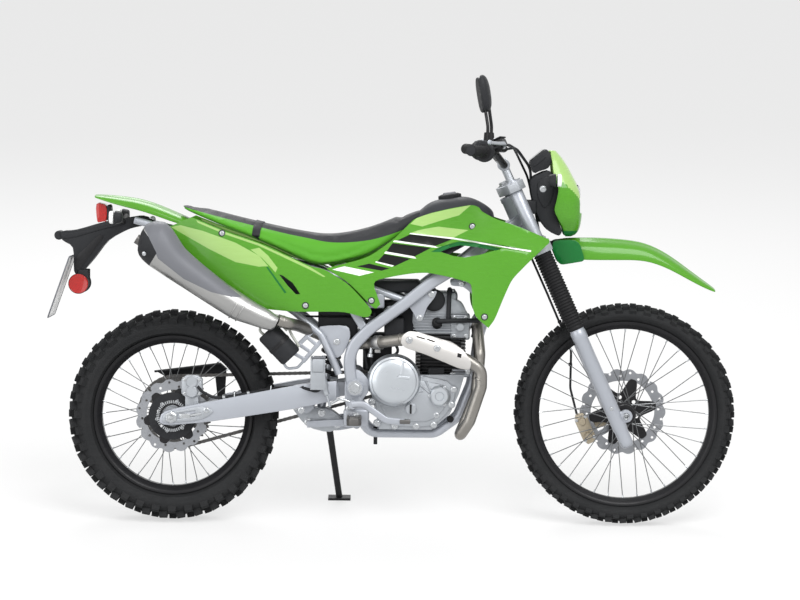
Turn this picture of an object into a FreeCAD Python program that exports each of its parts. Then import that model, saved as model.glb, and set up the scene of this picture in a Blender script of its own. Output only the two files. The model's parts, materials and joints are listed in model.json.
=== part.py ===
import FreeCAD, Part
import math
import os
import re

import Sketcher
from FreeCAD import Placement, Rotation, Vector

# A dual sport motorcycle, leaning on its side stand: X forward, Y to its left, Z up
# It is drawn upright with the rear axle over X zero and the road at Z zero, and each piece is then leaned

os.makedirs("parts", exist_ok=True)
doc = FreeCAD.newDocument("DualSportMotorcycle")
sheet = doc.addObject("Spreadsheet::Sheet", "Sizes")

# Driving dimensions, in millimetres, degrees and counts
sizes = {
    # Stance and steering line
    "lean_angle": 9, "head_reach": 1000, "frame_height": 1000, "frame_half": 100, "head_lead": 16.2,
    "steering_rake": 24.5, "fork_offset": 20, "axle_lead": 31.5, "fork_half": 95, "tail_reach": 378,
    "seat_gap": 0.3, "running_gap": 0.3, "cut_overrun": 6,
    # Front wheel
    "front_radius": 337, "front_tyre_width": 76, "front_rim_radius": 282, "front_rim_width": 50,
    "front_rim_depth": 23, "front_crown_width": 34, "front_lug_height": 9, "tyre_facets": 40,
    "rim_facets": 48, "lug_length": 25, "lug_groove": 6, "bead_height": 8,
    # Rear wheel
    "rear_radius": 320, "rear_tyre_width": 112, "rear_rim_radius": 242, "rear_rim_width": 66,
    "rear_rim_depth": 24, "rear_crown_width": 42, "rear_lug_height": 12,
    # Hubs and spokes
    "hub_radius": 22, "flange_radius": 34, "flange_width": 5, "front_flange_half": 26,
    "front_hub_width": 119, "rear_flange_half": 30, "nut_radius": 17, "nut_width": 10,
    "spoke_count": 36, "spoke_width": 3.4, "spoke_stagger": 3, "spoke_lace_angle": 46,
    "spoke_rim_half": 7, "axle_radius": 9, "disc_seat_radius": 40,
    # Discs and sprocket
    "front_disc_radius": 132, "front_disc_ring": 38, "front_disc_place": 62, "disc_width": 4,
    "rear_disc_radius": 111, "rear_disc_ring": 34, "rear_disc_place": 72, "disc_hub_radius": 46,
    "disc_petals": 12, "petal_depth": 4, "disc_arm_width": 14, "sprocket_radius": 114,
    "sprocket_teeth": 44, "tooth_depth": 7, "sprocket_width": 5.5, "chain_line": 72,
    "sprocket_ring": 22,
    # Chain
    "chain_height": 15, "chain_waist": 11, "chain_width": 14, "chain_turn_count": 24,
    "chain_links_count": 54, "drive_lead": 58, "drive_radius": 36, "drive_sprocket_radius": 27.6,
    "tooth_gap": 1.2,
    # Fork and bridges
    "fork_tube_radius": 20.5, "boot_radius": 27, "boot_neck_radius": 23.5, "boot_ribs": 9,
    "leg_radius": 22.5, "leg_length": 390, "leg_drop": 89, "leg_boss_width": 24,
    "leg_boss_radius": 19, "head_length": 158, "head_radius": 30, "bridge_gap": 5,
    "upper_bridge_depth": 28, "lower_bridge_depth": 35, "bridge_wall": 13, "stem_radius": 14,
    "axle_end_bore": 6.5, "axle_end_depth": 25, "axle_overhang": 10,
    # Handlebar and its fittings
    "bar_radius": 11, "bar_forward": 21, "bar_rise": 58, "bar_half": 405, "bar_bend": 60,
    "bar_lift": 119, "bar_sweep": 88, "riser_radius": 12, "riser_half": 38, "grip_radius": 16.5,
    "grip_length": 122, "grip_flange_radius": 22, "grip_flange_width": 4, "housing_length": 44,
    "housing_radius": 22, "lever_length": 165, "lever_reach": 62, "lever_width": 9,
    "mirror_height": 190, "mirror_lean": 26, "mirror_long": 112, "mirror_wide": 62,
    "mirror_deep": 22, "mirror_stem_radius": 5,
    # Lamps, cowl and meter
    "cowl_half": 116, "cowl_wall": 4, "lamp_half": 82, "meter_half": 74, "bracket_half": 70.7,
    "bracket_wall": 4, "indicator_length": 62, "indicator_radius": 21, "front_indicator_half": 150,
    "front_indicator_long": 38, "rear_indicator_long": 54, "rear_indicator_half": 96,
    "indicator_stalk_radius": 7,
    # Front fender
    "fender_half": 62, "fender_wall": 4, "tongue_half": 18,
    # Frame
    "spar_wide": 30, "spar_tall": 36, "cradle_radius": 13, "down_tube_radius": 19,
    "cradle_bend": 55, "rail_radius": 11, "cross_radius": 12, "rail_bend": 60,
    # Swing arm and rear axle
    "pivot_reach": 554, "pivot_height": 415, "arm_inner": 88, "arm_wide": 30, "arm_tall": 70,
    "arm_tip_tall": 46, "pivot_radius": 24, "pivot_bolt_radius": 9, "pivot_lug_half": 66,
    # Engine
    "case_right": 92, "case_left": 58, "case_step": 92, "clutch_radius": 76, "clutch_depth": 46,
    "clutch_step_radius": 60, "clutch_step_depth": 16, "small_cover_radius": 28,
    "small_cover_depth": 22, "dynamo_radius": 68, "dynamo_depth": 40, "barrel_half": 60,
    "barrel_fins": 7, "fin_width": 4, "fin_reach": 9, "head_half": 66, "throttle_radius": 25,
    "airbox_half": 72,
    # Exhaust
    "pipe_radius": 16, "pipe_bend": 38, "shield_wall": 2, "muffler_radius": 57,
    "muffler_neck_radius": 41, "muffler_out": 196, "muffler_tip_radius": 16,
    "muffler_tip_length": 14, "muffler_joint": 40,
    # Bodywork
    "panel_wall": 4, "shroud_half": 172, "cover_half": 140, "seat_half": 112, "tank_half": 124,
    "cap_radius": 36, "cap_height": 18, "tail_half": 84, "tail_wall": 4,
    # Shock absorber, canister and radiators
    "shock_radius": 34, "shock_rod_radius": 12, "shock_eye_radius": 14, "shock_coils": 7,
    "canister_radius": 36, "canister_length": 108, "radiator_wide": 88, "radiator_tall": 160,
    "radiator_deep": 28,
    # Foot controls and side stand
    "peg_length": 92, "peg_wide": 44, "peg_tall": 22, "peg_bracket": 14, "pedal_radius": 6,
    "stand_radius": 10, "stand_foot_out": 252, "stand_foot_lead": 34, "stand_foot_long": 70,
    "stand_foot_wide": 44, "stand_foot_deep": 7, "stand_hub_radius": 15, "stand_hub_width": 20,
    "stand_pin_reach": 38, "stand_bolt_radius": 6, "stand_axis_angle": 25,
    # Facets round the pieces, and clearances
    "round_facets": 12, "tube_facets": 8, "hub_facets": 16, "carrier_facets": 18, "arm_count": 6,
    "fork_facets": 10, "muffler_facets": 18, "cap_facets": 24, "cover_facets": 28,
    "drive_facets": 20, "hose_facets": 6, "spoke_gap": 0.9, "hub_gap": 0.6, "clamp_gap": 0.9,
    "tube_overrun": 6, "grip_gap": 0.9, "control_gap": 0.6, "stalk_gap": 1.8, "shield_gap": 2.4,
    # Calipers
    "caliper_long": 96, "caliper_wide": 44, "caliper_deep": 40, "pad_gap": 2.5, "hose_radius": 3.6,
    "hose_gap": 0.8,
}
for row, (alias, value) in enumerate(sizes.items(), start=1):
    sheet.set("A%d" % row, alias)
    sheet.set("B%d" % row, str(value))
    sheet.setAlias("B%d" % row, alias)
doc.recompute()


# Values read back from the sheet, such as mm.rail_radius
class SheetValues:
    def __getattr__(self, alias):
        return float(sheet.get(alias))


mm = SheetValues()
counts = {alias: int(float(sheet.get(alias))) for alias in sizes
          if alias.split("_")[-1] in ("count", "facets", "teeth", "petals", "ribs", "fins", "coils")}

# Steering line and wheel places that follow from the driving dimensions
rake = math.radians(mm.steering_rake)
lean = math.radians(mm.lean_angle)
trailLead = mm.fork_offset + mm.axle_lead
axisLength = (mm.frame_height + trailLead * math.sin(rake) - mm.front_radius) / math.cos(rake)
axisFootX = mm.head_reach + mm.head_lead + axisLength * math.sin(rake)
axisFootZ = mm.frame_height - axisLength * math.cos(rake)
wheelBase = axisFootX + trailLead * math.cos(rake)
headBottom = axisLength - mm.head_length
lowerBridgeTop = headBottom - mm.bridge_gap
lowerBridgeBottom = lowerBridgeTop - mm.lower_bridge_depth
upperBridgeBottom = axisLength + mm.bridge_gap
upperBridgeTop = upperBridgeBottom + mm.upper_bridge_depth
legTop = mm.leg_length - mm.leg_drop

# Frames that the pieces are drawn in
leanLift = mm.rear_crown_width / 2 * math.sin(lean)
middle = (wheelBase + mm.front_radius - mm.tail_reach) / 2
barEndHeight = upperBridgeTop + mm.bar_rise + mm.bar_lift
gripHeight = axisFootZ + (mm.bar_forward - mm.bar_sweep) * math.sin(rake) + barEndHeight * math.cos(rake)
sideways = gripHeight * math.sin(lean)
bike = Placement(Vector(-middle, -sideways, leanLift), Rotation(Vector(1, 0, 0), -mm.lean_angle))
steer = bike * Placement(Vector(axisFootX, 0, axisFootZ), Rotation(Vector(0, 1, 0), -mm.steering_rake))
frontHub = bike * Placement(Vector(wheelBase, 0, mm.front_radius), Rotation())
rearHub = bike * Placement(Vector(0, 0, mm.rear_radius), Rotation())

acrossY = Rotation(Vector(1, 0, 0), -90)
subParts = []


def roadAt(y):
    return (y * math.sin(lean) - leanLift) / math.cos(lean)


# Places on the bike as shares of its length and height, tied to the swing arm's pivot on the way
pivotShares = (0.554, 0.415)


def sharedOut(share, middleShare, middleSize, fullSize):
    if share < middleShare:
        return middleSize * share / middleShare
    if share > 1:
        return fullSize * share
    return middleSize + (fullSize - middleSize) * (share - middleShare) / (1 - middleShare)


def alongAt(share):
    return sharedOut(share, pivotShares[0], mm.pivot_reach, mm.head_reach)


def heightAt(share):
    return sharedOut(share, pivotShares[1], mm.pivot_height, mm.frame_height)


def at(x, y, z):
    return Vector(alongAt(x), y * mm.frame_half, heightAt(z))


def finish(item, label, place=bike):
    item.Label = label
    item.Placement = place * item.Placement
    subParts.append(item)
    return item


def bound(text):
    return re.sub(r"\b([a-z]+(?:_[a-z]+)+)\b", r"Sizes.\1", text)


def bind(item, **properties):
    for name, text in properties.items():
        item.setExpression(name, bound(text))


def shaped(name, shape):
    item = doc.addObject("Part::Feature", name)
    place = shape.Placement
    shape.Placement = Placement()
    item.Shape = shape.transformShape(place.toMatrix(), True)
    return item


# Sketches whose corners are bound to the sheet
def sketchOn(body, role, name, offset=None):
    sketch = body.newObject("Sketcher::SketchObject", name)
    plane = [item for item in body.Origin.OriginFeatures if item.Role == role][0]
    sketch.AttachmentSupport = (plane, "")
    sketch.MapMode = "FlatFace"
    if offset is not None:
        sketch.AttachmentOffset = Placement(offset, Rotation())
    return sketch


def pin(sketch, geometry, point, pair, tag):
    for kind, text in (("DistanceX", pair[0]), ("DistanceY", pair[1])):
        index = sketch.addConstraint(Sketcher.Constraint(kind, -1, 1, geometry, point, 1.0))
        name = tag + kind[-1]
        sketch.renameConstraint(index, name)
        sketch.setExpression("Constraints." + name, bound(text))


def polygon(sketch, corners):
    first = sketch.GeometryCount
    count = len(corners)
    starts = [Vector(i + 1, (i + 1) ** 2, 0) for i in range(count)]
    for i in range(count):
        sketch.addGeometry(Part.LineSegment(starts[i], starts[(i + 1) % count]))
    for i in range(count):
        after = (i + 1) % count
        sketch.addConstraint(Sketcher.Constraint("Coincident", first + i, 2, first + after, 1))
    for i, pair in enumerate(corners):
        pin(sketch, first + i, 1, pair, "p%d" % (first + i))


# A body padded from its outline in the side view
def plate(name, corners, near, width):
    body = doc.addObject("PartDesign::Body", name)
    sketch = sketchOn(body, "XZ_Plane", name + "Outline")
    sketch.setExpression("AttachmentOffset.Base.z", bound("-(%s)" % near))
    polygon(sketch, corners)
    pad = body.newObject("PartDesign::Pad", name + "Pad")
    pad.Profile = sketch
    pad.Reversed = True
    pad.setExpression("Length", bound(width))
    return body


def sharedText(share, middleShare, middleName, fullName):
    if share < middleShare:
        return "%s * %s" % (middleName, share / middleShare)
    if share > 1:
        return "%s * %s" % (fullName, share)
    rest = (share - middleShare) / (1 - middleShare)
    return "%s + (%s - %s) * %s" % (middleName, fullName, middleName, rest)


def sideShares(shares):
    return [(sharedText(x, pivotShares[0], "pivot_reach", "head_reach"),
             sharedText(z, pivotShares[1], "pivot_height", "frame_height")) for x, z in shares]


# Part primitives and booleans bound to the sheet
def rod(name, radius, length, start, rotation=acrossY):
    item = doc.addObject("Part::Cylinder", name)
    bind(item, Radius=radius, Height=length)
    item.Placement = Placement(start, rotation)
    return item


def block(name, long, wide, tall, corner, rotation=Rotation()):
    item = doc.addObject("Part::Box", name)
    bind(item, Length=long, Width=wide, Height=tall)
    item.Placement = Placement(corner, rotation)
    return item


def fused(name, items):
    item = doc.addObject("Part::MultiFuse", name)
    item.Shapes = items
    return item


def cut(name, base, tool):
    item = doc.addObject("Part::Cut", name)
    item.Base = base
    item.Tool = tool
    return item


def mirrored(name, source):
    item = doc.addObject("Part::Mirroring", name)
    item.Source = source
    item.Normal = Vector(0, 1, 0)
    return item


def together(name, items):
    item = doc.addObject("Part::Compound", name)
    item.Links = items
    return item


def pair(name, source):
    return together(name, [source, mirrored(name + "Other", source)])


# Faceted solids from rows of corners, and round or square bars along a route
def quadFaces(a, b, c, d):
    corners = [a]
    for point in (b, c, d):
        if all((point - other).Length > mm.seat_gap / 100 for other in corners):
            corners.append(point)
    if len(corners) < 3:
        return []
    if len(corners) == 4:
        normal = (b - a).cross(d - a)
        if abs(normal.normalize().dot(c - a)) > mm.seat_gap / 1000:
            shorter = (c - a).Length < (d - b).Length
            halves = [[a, b, c, a], [a, c, d, a]] if shorter else [[a, b, d, a], [b, c, d, b]]
            return [Part.Face(Part.makePolygon(corners)) for corners in halves]
    return [Part.Face(Part.makePolygon(corners + corners[:1]))]


def facetSolid(rows, ring=False):
    faces = []
    following = rows[1:] + rows[:1] if ring else rows[1:]
    for low, high in zip(rows, following):
        for i in range(len(low)):
            after = (i + 1) % len(low)
            faces += quadFaces(low[i], low[after], high[after], high[i])
    if not ring:
        faces += [Part.Face(Part.makePolygon(row + row[:1])) for row in (rows[0], rows[-1])]
    shell = Part.makeShell(faces)
    shell.sewShape()
    solid = Part.makeSolid(shell)
    if solid.Volume < 0:
        solid.reverse()
    return solid


def ringRow(centre, along, up, radius, sides):
    side = along.cross(up)
    turns = [2 * math.pi * (i + 0.5) / sides for i in range(sides)]
    return [centre + up * (radius * math.cos(turn)) + side * (radius * math.sin(turn)) for turn in turns]


def tube(points, radius, bend, sides=counts["tube_facets"]):
    stations = [(points[0], (points[1] - points[0]).normalize())]
    for before, corner, after in zip(points, points[1:], points[2:]):
        back = (before - corner).normalize()
        ahead = (after - corner).normalize()
        reach = bend / math.tan(back.getAngle(ahead) / 2)
        reach = min(reach, (before - corner).Length * 0.48, (after - corner).Length * 0.48)
        stations.append((corner + back * reach, back * -1))
        stations.append((corner + ahead * reach, ahead))
    stations.append((points[-1], (points[-1] - points[-2]).normalize()))
    first = stations[0][1]
    up = Vector(0, 1, 0) if abs(first.y) < 0.9 else Vector(0, 0, 1)
    rows = []
    for centre, along in stations:
        up = (up - along * up.dot(along)).normalize()
        rows.append(ringRow(centre, along, up, radius / math.cos(math.pi / sides) ** 0.5, sides))
    return facetSolid(rows)


def peg(start, along, radius, sides=counts["round_facets"]):
    return tube([start, start + along], radius, radius, sides)


def spun(profile, sides):
    stretch = 1 / math.cos(math.pi / sides) ** 0.5
    rows = []
    for i in range(sides):
        turn = 2 * math.pi * (i + 0.5) / sides
        rows.append([Vector(r * stretch * math.sin(turn), y, -r * stretch * math.cos(turn)) for r, y in profile])
    return facetSolid(rows, True)


def bar(points, wide, tall):
    sections = []
    for i, point in enumerate(points):
        back = points[max(i - 1, 0)]
        ahead = points[min(i + 1, len(points) - 1)]
        along = ahead - back
        up = Vector(-along.z, 0, along.x).normalize() * (tall / 2)
        out = Vector(0, wide / 2, 0)
        sections.append([point + up + out, point + up - out, point - up - out, point - up + out])
    return facetSolid(sections)


def prism(points, thick):
    return Part.Face(Part.makePolygon(points + points[:1])).extrude(thick)


# A bent panel: an outline seen from the side, on a sheet whose lower and upper lines are given
def panel(outlineShares, lineShares, half, wall):
    outline = [at(x, 0, z) for x, z in outlineShares]
    low = min(point.z for point in outline) - mm.cut_overrun
    high = max(point.z for point in outline) + mm.cut_overrun
    rows = []
    for x, lowShare, highShare in lineShares:
        outer = [Vector(alongAt(x), lowShare * half, low), Vector(alongAt(x), highShare * half, high)]
        rows.append(outer + [point - Vector(0, wall, 0) for point in reversed(outer)])
    return facetSolid(rows).common(prism(outline, Vector(0, half * 2, 0)))


def mirrorY(shape):
    return shape.mirror(Vector(0, 0, 0), Vector(0, 1, 0))


# Tyres with a flat facet under the axle
def facetedRing(profile, count):
    stretch = 1 / math.cos(math.pi / count) ** 0.5
    return spun([(r * stretch, y) for r, y in profile], count)


wallShares = [(0.26, 0.43), (0.52, 0.5), (0.8, 0.42)]


def tyre(label, radius, width, rimRadius, rimWidth, crown, lugHeight, place):
    seat = rimRadius + mm.seat_gap
    tread = radius - lugHeight
    half = [(seat, rimWidth / 2 - mm.flange_width)]
    half += [(seat + share * (tread - seat), wide * width) for share, wide in wallShares]
    half.append((tread, crown / 2 + mm.lug_groove / 2))
    profile = half + [(r, -y) for r, y in reversed(half)]
    carcass = facetedRing(profile, counts["tyre_facets"])
    lugs = []
    for i in range(counts["tyre_facets"]):
        for side in (0, 1):
            near = mm.lug_groove / 2 if side else -crown / 2
            lug = Part.makeBox(mm.lug_length, crown / 2 - mm.lug_groove / 2, lugHeight + mm.bead_height,
                               Vector(-mm.lug_length / 2, near, -radius))
            lug.rotate(Vector(), Vector(0, 1, 0), 360 * i / counts["tyre_facets"])
            lugs.append(lug)
    finish(shaped(label, carcass.multiFuse(lugs)), label, place)


# Rims
def rim(label, radius, width, deep, place):
    half = [(radius, width / 2), (radius - deep * 0.55, width / 2), (radius - deep, width * 0.24)]
    profile = half + [(r, -y) for r, y in reversed(half)]
    finish(shaped(label, spun(profile, counts["rim_facets"])), label, place)


# Hubs with their laced spokes
def spoke(angle, lace, hubY, rimY, rimInner):
    def place(radius, turn, y):
        return Vector(radius * math.cos(turn), y, radius * math.sin(turn))

    start = place(mm.flange_radius - mm.flange_width / 2, angle + lace, hubY)
    end = place(rimInner - mm.spoke_gap, angle, rimY)
    along = (end - start).normalize()
    out = along.cross(Vector(0, 1, 0)).normalize() * (mm.spoke_width / 2)
    up = along.cross(out).normalize() * (mm.spoke_width / 2)
    corners = [start + out, start + up, start - out, start - up]
    return prism(corners, end - start)


def spokes(flangeHalf, rimInner):
    bars = []
    lace = math.radians(mm.spoke_lace_angle)
    count = counts["spoke_count"]
    for i in range(count):
        side = 1 if i % 2 == 0 else -1
        lead = 1 if (i // 2) % 2 == 0 else -1
        hubY = side * (flangeHalf + lead * mm.spoke_stagger)
        rimY = side * (mm.spoke_rim_half + lead * mm.spoke_stagger)
        bars.append(spoke(2 * math.pi * i / count, lead * lace, hubY, rimY, rimInner))
    return bars


def hub(label, flangeHalf, left, right, rimInner, place):
    bore = mm.axle_radius + mm.hub_gap
    profile = [(bore, right), (mm.disc_seat_radius, right), (mm.hub_radius, -flangeHalf - mm.flange_width),
               (mm.flange_radius, -flangeHalf - mm.flange_width), (mm.flange_radius, -flangeHalf + mm.flange_width),
               (mm.hub_radius, -flangeHalf + mm.flange_width), (mm.hub_radius, flangeHalf - mm.flange_width),
               (mm.flange_radius, flangeHalf - mm.flange_width), (mm.flange_radius, flangeHalf + mm.flange_width),
               (mm.hub_radius, flangeHalf + mm.flange_width), (mm.disc_seat_radius, left), (bore, left)]
    core = spun(profile, counts["hub_facets"])
    finish(shaped(label, core.multiFuse(spokes(flangeHalf, rimInner))), label, place)


# Brake discs with a wavy edge, and the rear sprocket
def waveFace(radius, depth, count, perWave, y):
    points = []
    for i in range(count * perWave):
        angle = 2 * math.pi * i / (count * perWave)
        reach = radius - depth / 2 + depth / 2 * math.cos(2 * math.pi * (i % perWave) / perWave)
        points.append(Vector(reach * math.cos(angle), y, reach * math.sin(angle)))
    return Part.makePolygon(points + points[:1])


def carrier(y, thick):
    count = counts["carrier_facets"]
    turns = [2 * math.pi * i / count for i in range(count)]
    return prism([Vector(mm.disc_hub_radius * math.cos(turn), y, mm.disc_hub_radius * math.sin(turn))
                  for turn in turns], Vector(0, thick, 0))


def ringArms(inner, outer, y, thick):
    arms = []
    count = counts["arm_count"]
    for i in range(count):
        angle = 2 * math.pi * i / count
        along = Vector(math.cos(angle), 0, math.sin(angle))
        out = Vector(-math.sin(angle), 0, math.cos(angle)) * (mm.disc_arm_width / 2)
        low = along * inner + Vector(0, y, 0)
        high = along * outer + Vector(0, y, 0)
        arms.append(prism([low + out, low - out, high - out, high + out], Vector(0, thick, 0)))
    return arms


def disc(label, radius, ring, middleY, place):
    thick = mm.disc_width
    near = middleY - thick / 2
    bore = mm.axle_radius + mm.running_gap
    waves = counts["disc_petals"]
    outer = Part.Face(waveFace(radius, mm.petal_depth, waves, 2, near)).extrude(Vector(0, thick, 0))
    hole = Part.Face(waveFace(radius - ring + mm.petal_depth, mm.petal_depth, waves, 2, near))
    band = outer.cut(hole.extrude(Vector(0, thick, 0)))
    centre = carrier(near, thick)
    arms = ringArms(mm.disc_hub_radius / 2, radius - ring / 2, near, thick)
    axleHole = Part.makeCylinder(bore, thick, Vector(0, near, 0), Vector(0, 1, 0))
    finish(shaped(label, band.multiFuse([centre] + arms).cut(axleHole).removeSplitter()), label, place)


def sprocket(label, place):
    thick = mm.sprocket_width
    near = mm.chain_line - thick / 2
    teeth = counts["sprocket_teeth"]
    outer = Part.Face(waveFace(mm.sprocket_radius, mm.tooth_depth, teeth, 2, near)).extrude(Vector(0, thick, 0))
    inner = mm.sprocket_radius - mm.sprocket_ring
    hole = Part.Face(waveFace(inner, mm.tooth_depth, teeth // 4, 2, near)).extrude(Vector(0, thick, 0))
    centre = carrier(near, thick)
    arms = ringArms(mm.disc_hub_radius / 2, inner + mm.tooth_depth, near, thick)
    axleHole = Part.makeCylinder(mm.axle_radius + mm.running_gap, thick, Vector(0, near, 0), Vector(0, 1, 0))
    finish(shaped(label, outer.cut(hole).multiFuse([centre] + arms).cut(axleHole).removeSplitter()), label, place)


def buildWheels():
    tyre("front_tyre", mm.front_radius, mm.front_tyre_width, mm.front_rim_radius, mm.front_rim_width,
         mm.front_crown_width, mm.front_lug_height, frontHub)
    tyre("rear_tyre", mm.rear_radius, mm.rear_tyre_width, mm.rear_rim_radius, mm.rear_rim_width,
         mm.rear_crown_width, mm.rear_lug_height, rearHub)
    rim("front_rim", mm.front_rim_radius, mm.front_rim_width, mm.front_rim_depth, frontHub)
    rim("rear_rim", mm.rear_rim_radius, mm.rear_rim_width, mm.rear_rim_depth, rearHub)
    discSeat = mm.front_disc_place - mm.disc_width / 2 - mm.seat_gap
    hub("front_hub", mm.front_flange_half, discSeat, discSeat - mm.front_hub_width,
        mm.front_rim_radius - mm.front_rim_depth - mm.seat_gap, frontHub)
    rearLeft = mm.chain_line - mm.sprocket_width / 2 - mm.seat_gap
    rearRight = -(mm.rear_disc_place - mm.disc_width / 2 - mm.seat_gap)
    hub("rear_hub", mm.rear_flange_half, rearLeft, rearRight,
        mm.rear_rim_radius - mm.rear_rim_depth - mm.seat_gap, rearHub)
    disc("front_disc", mm.front_disc_radius, mm.front_disc_ring, mm.front_disc_place, frontHub)
    disc("rear_disc", mm.rear_disc_radius, mm.rear_disc_ring, -mm.rear_disc_place, rearHub)
    sprocket("rear_sprocket", rearHub)


# Chain round the sprockets, with a waist between its links
def beltPath():
    drive = Vector(mm.pivot_reach + mm.drive_lead, 0, mm.pivot_height)
    driven = Vector(0, 0, mm.rear_radius)
    large = mm.sprocket_radius - mm.tooth_depth / 2
    line = driven - drive
    heading = math.atan2(line.z, line.x)
    opening = math.acos((mm.drive_radius - large) / line.Length)
    steps = counts["chain_turn_count"]
    path = []
    for centre, radius, first, last in ((driven, large, -opening, opening),
                                        (drive, mm.drive_radius, opening, 2 * math.pi - opening)):
        for i in range(steps + 1):
            turn = heading + first + (last - first) * i / steps
            out = Vector(math.cos(turn), 0, math.sin(turn))
            path.append((centre + out * radius, out))
    return path + path[:1]


def beltWire(side, y):
    path = beltPath()
    lengths = [0]
    for before, after in zip(path, path[1:]):
        lengths.append(lengths[-1] + (after[0] - before[0]).Length)
    stations = counts["chain_links_count"] * 2
    points = []
    part = 0
    for i in range(stations):
        distance = lengths[-1] * i / stations
        while lengths[part + 1] < distance:
            part += 1
        share = (distance - lengths[part]) / (lengths[part + 1] - lengths[part])
        place = path[part][0] * (1 - share) + path[part + 1][0] * share
        out = (path[part][1] * (1 - share) + path[part + 1][1] * share).normalize()
        height = mm.chain_waist if i % 2 else mm.chain_height
        points.append(place + out * (side * height / 2) + Vector(0, y, 0))
    return Part.makePolygon(points + points[:1])


def buildChain():
    near = mm.chain_line - mm.chain_width / 2
    outer = Part.Face(beltWire(1, near)).extrude(Vector(0, mm.chain_width, 0))
    inner = Part.Face(beltWire(-1, near)).extrude(Vector(0, mm.chain_width, 0))
    slot = mm.sprocket_width + 2 * mm.tooth_gap
    room = Part.makeCylinder(mm.sprocket_radius + mm.tooth_gap, slot,
                             Vector(0, mm.chain_line - slot / 2, mm.rear_radius), Vector(0, 1, 0))
    finish(shaped("chain", outer.cut(inner).cut(room)), "chain")


# Fork bridges, stem and steering pieces, drawn round the steering axis
def bridge(name, low, deep):
    forward = mm.fork_offset
    wall = mm.bridge_wall
    half = mm.fork_half
    outer = mm.fork_tube_radius + wall
    points = [Vector(forward + outer, half + outer * 0.4, 0), Vector(forward + outer * 0.4, half + outer, 0),
              Vector(forward - outer * 0.5, half + outer, 0), Vector(forward - outer, half + outer * 0.3, 0),
              Vector(-mm.head_radius, mm.head_radius * 0.8, 0)]
    mirror = [Vector(point.x, -point.y, 0) for point in reversed(points)]
    front = [Vector(forward + outer * 0.4, -half * 0.5, 0), Vector(forward + outer * 0.4, half * 0.5, 0)]
    solid = prism(points + mirror + front, Vector(0, 0, deep))
    for side in (-1, 1):
        hole = peg(Vector(forward, side * half, 0), Vector(0, 0, deep), mm.fork_tube_radius + mm.clamp_gap)
        solid = solid.cut(hole)
    solid.translate(Vector(0, 0, low))
    return solid


def buildBridges():
    lower = bridge("lower", lowerBridgeBottom, mm.lower_bridge_depth)
    upper = bridge("upper", upperBridgeBottom, mm.upper_bridge_depth)
    stem = Part.makeCylinder(mm.stem_radius, upperBridgeTop - lowerBridgeBottom, Vector(0, 0, lowerBridgeBottom))
    risers = []
    riserTop = upperBridgeTop + mm.bar_rise - mm.bar_radius - mm.seat_gap
    for side in (-1, 1):
        foot = Vector(mm.bar_forward, side * mm.riser_half, upperBridgeTop)
        risers.append(peg(foot, Vector(0, 0, riserTop - upperBridgeTop), mm.riser_radius))
    finish(shaped("fork_bridges", lower.multiFuse([stem, upper] + risers)), "fork_bridges", steer)


def forkPair(name, profile, bottom):
    one = spun(profile, counts["fork_facets"])
    one.rotate(Vector(0, 0, 0), Vector(1, 0, 0), 90)
    one.translate(Vector(mm.fork_offset, mm.fork_half, bottom))
    finish(shaped(name, Part.makeCompound([one, mirrorY(one)])), name, steer)


def buildFork():
    tubeRadius = mm.fork_tube_radius
    tubeTop = upperBridgeTop + mm.tube_overrun
    forkPair("fork_tubes", [(0, 0), (tubeRadius, 0), (tubeRadius, tubeTop - legTop), (0, tubeTop - legTop)],
             legTop + mm.seat_gap)
    bootTop = lowerBridgeBottom - mm.seat_gap
    bootFoot = legTop + mm.seat_gap
    pitch = (bootTop - bootFoot) / counts["boot_ribs"]
    inner = tubeRadius + mm.seat_gap
    profile = [(inner, 0)]
    for i in range(counts["boot_ribs"]):
        profile += [(mm.boot_neck_radius, pitch * i), (mm.boot_radius, pitch * (i + 0.5))]
    profile += [(mm.boot_neck_radius, bootTop - bootFoot), (inner, bootTop - bootFoot)]
    forkPair("fork_boots", profile, bootFoot)
    leg = peg(Vector(mm.fork_offset, mm.fork_half, -mm.leg_drop), Vector(0, 0, mm.leg_length), mm.leg_radius)
    bossNear = mm.fork_half - mm.leg_boss_width / 2
    boss = peg(Vector(trailLead, bossNear, 0), Vector(0, mm.leg_boss_width, 0), mm.leg_boss_radius)
    web = Part.makeBox(mm.axle_lead, mm.leg_boss_width, mm.leg_boss_radius * 2,
                       Vector(mm.fork_offset, bossNear, -mm.leg_boss_radius))
    hole = Part.makeCylinder(mm.axle_radius + mm.seat_gap, mm.leg_radius * 4,
                             Vector(trailLead, mm.fork_half - mm.leg_radius * 2, 0), Vector(0, 1, 0))
    one = leg.multiFuse([boss, web]).cut(hole).removeSplitter()
    finish(shaped("fork_legs", Part.makeCompound([one, mirrorY(one)])), "fork_legs", steer)
    half = mm.fork_half + mm.leg_boss_width / 2 + mm.axle_overhang
    place = Vector(trailLead, -half, 0)
    shaft = rod("axleShaft", "axle_radius", "fork_half * 2 + leg_boss_width + axle_overhang * 2", place)
    bore = rod("axleBore", "axle_end_bore", "axle_end_depth", place)
    finish(cut("frontAxle", shaft, bore), "front_axle", steer)


def barRoute():
    low = upperBridgeTop + mm.bar_rise
    half = [(0, 0.16, 0), (-0.2, 0.46, 0.6), (-1, 1, 1)]
    left = [Vector(mm.bar_forward + x * mm.bar_sweep, y * mm.bar_half, low + z * mm.bar_lift) for x, y, z in half]
    return [Vector(point.x, -point.y, point.z) for point in reversed(left)] + left


def alongBar(distance, side):
    route = barRoute()
    end = route[-1] if side > 0 else route[0]
    before = route[-2] if side > 0 else route[1]
    inward = (before - end).normalize()
    return end + inward * distance, inward


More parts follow.
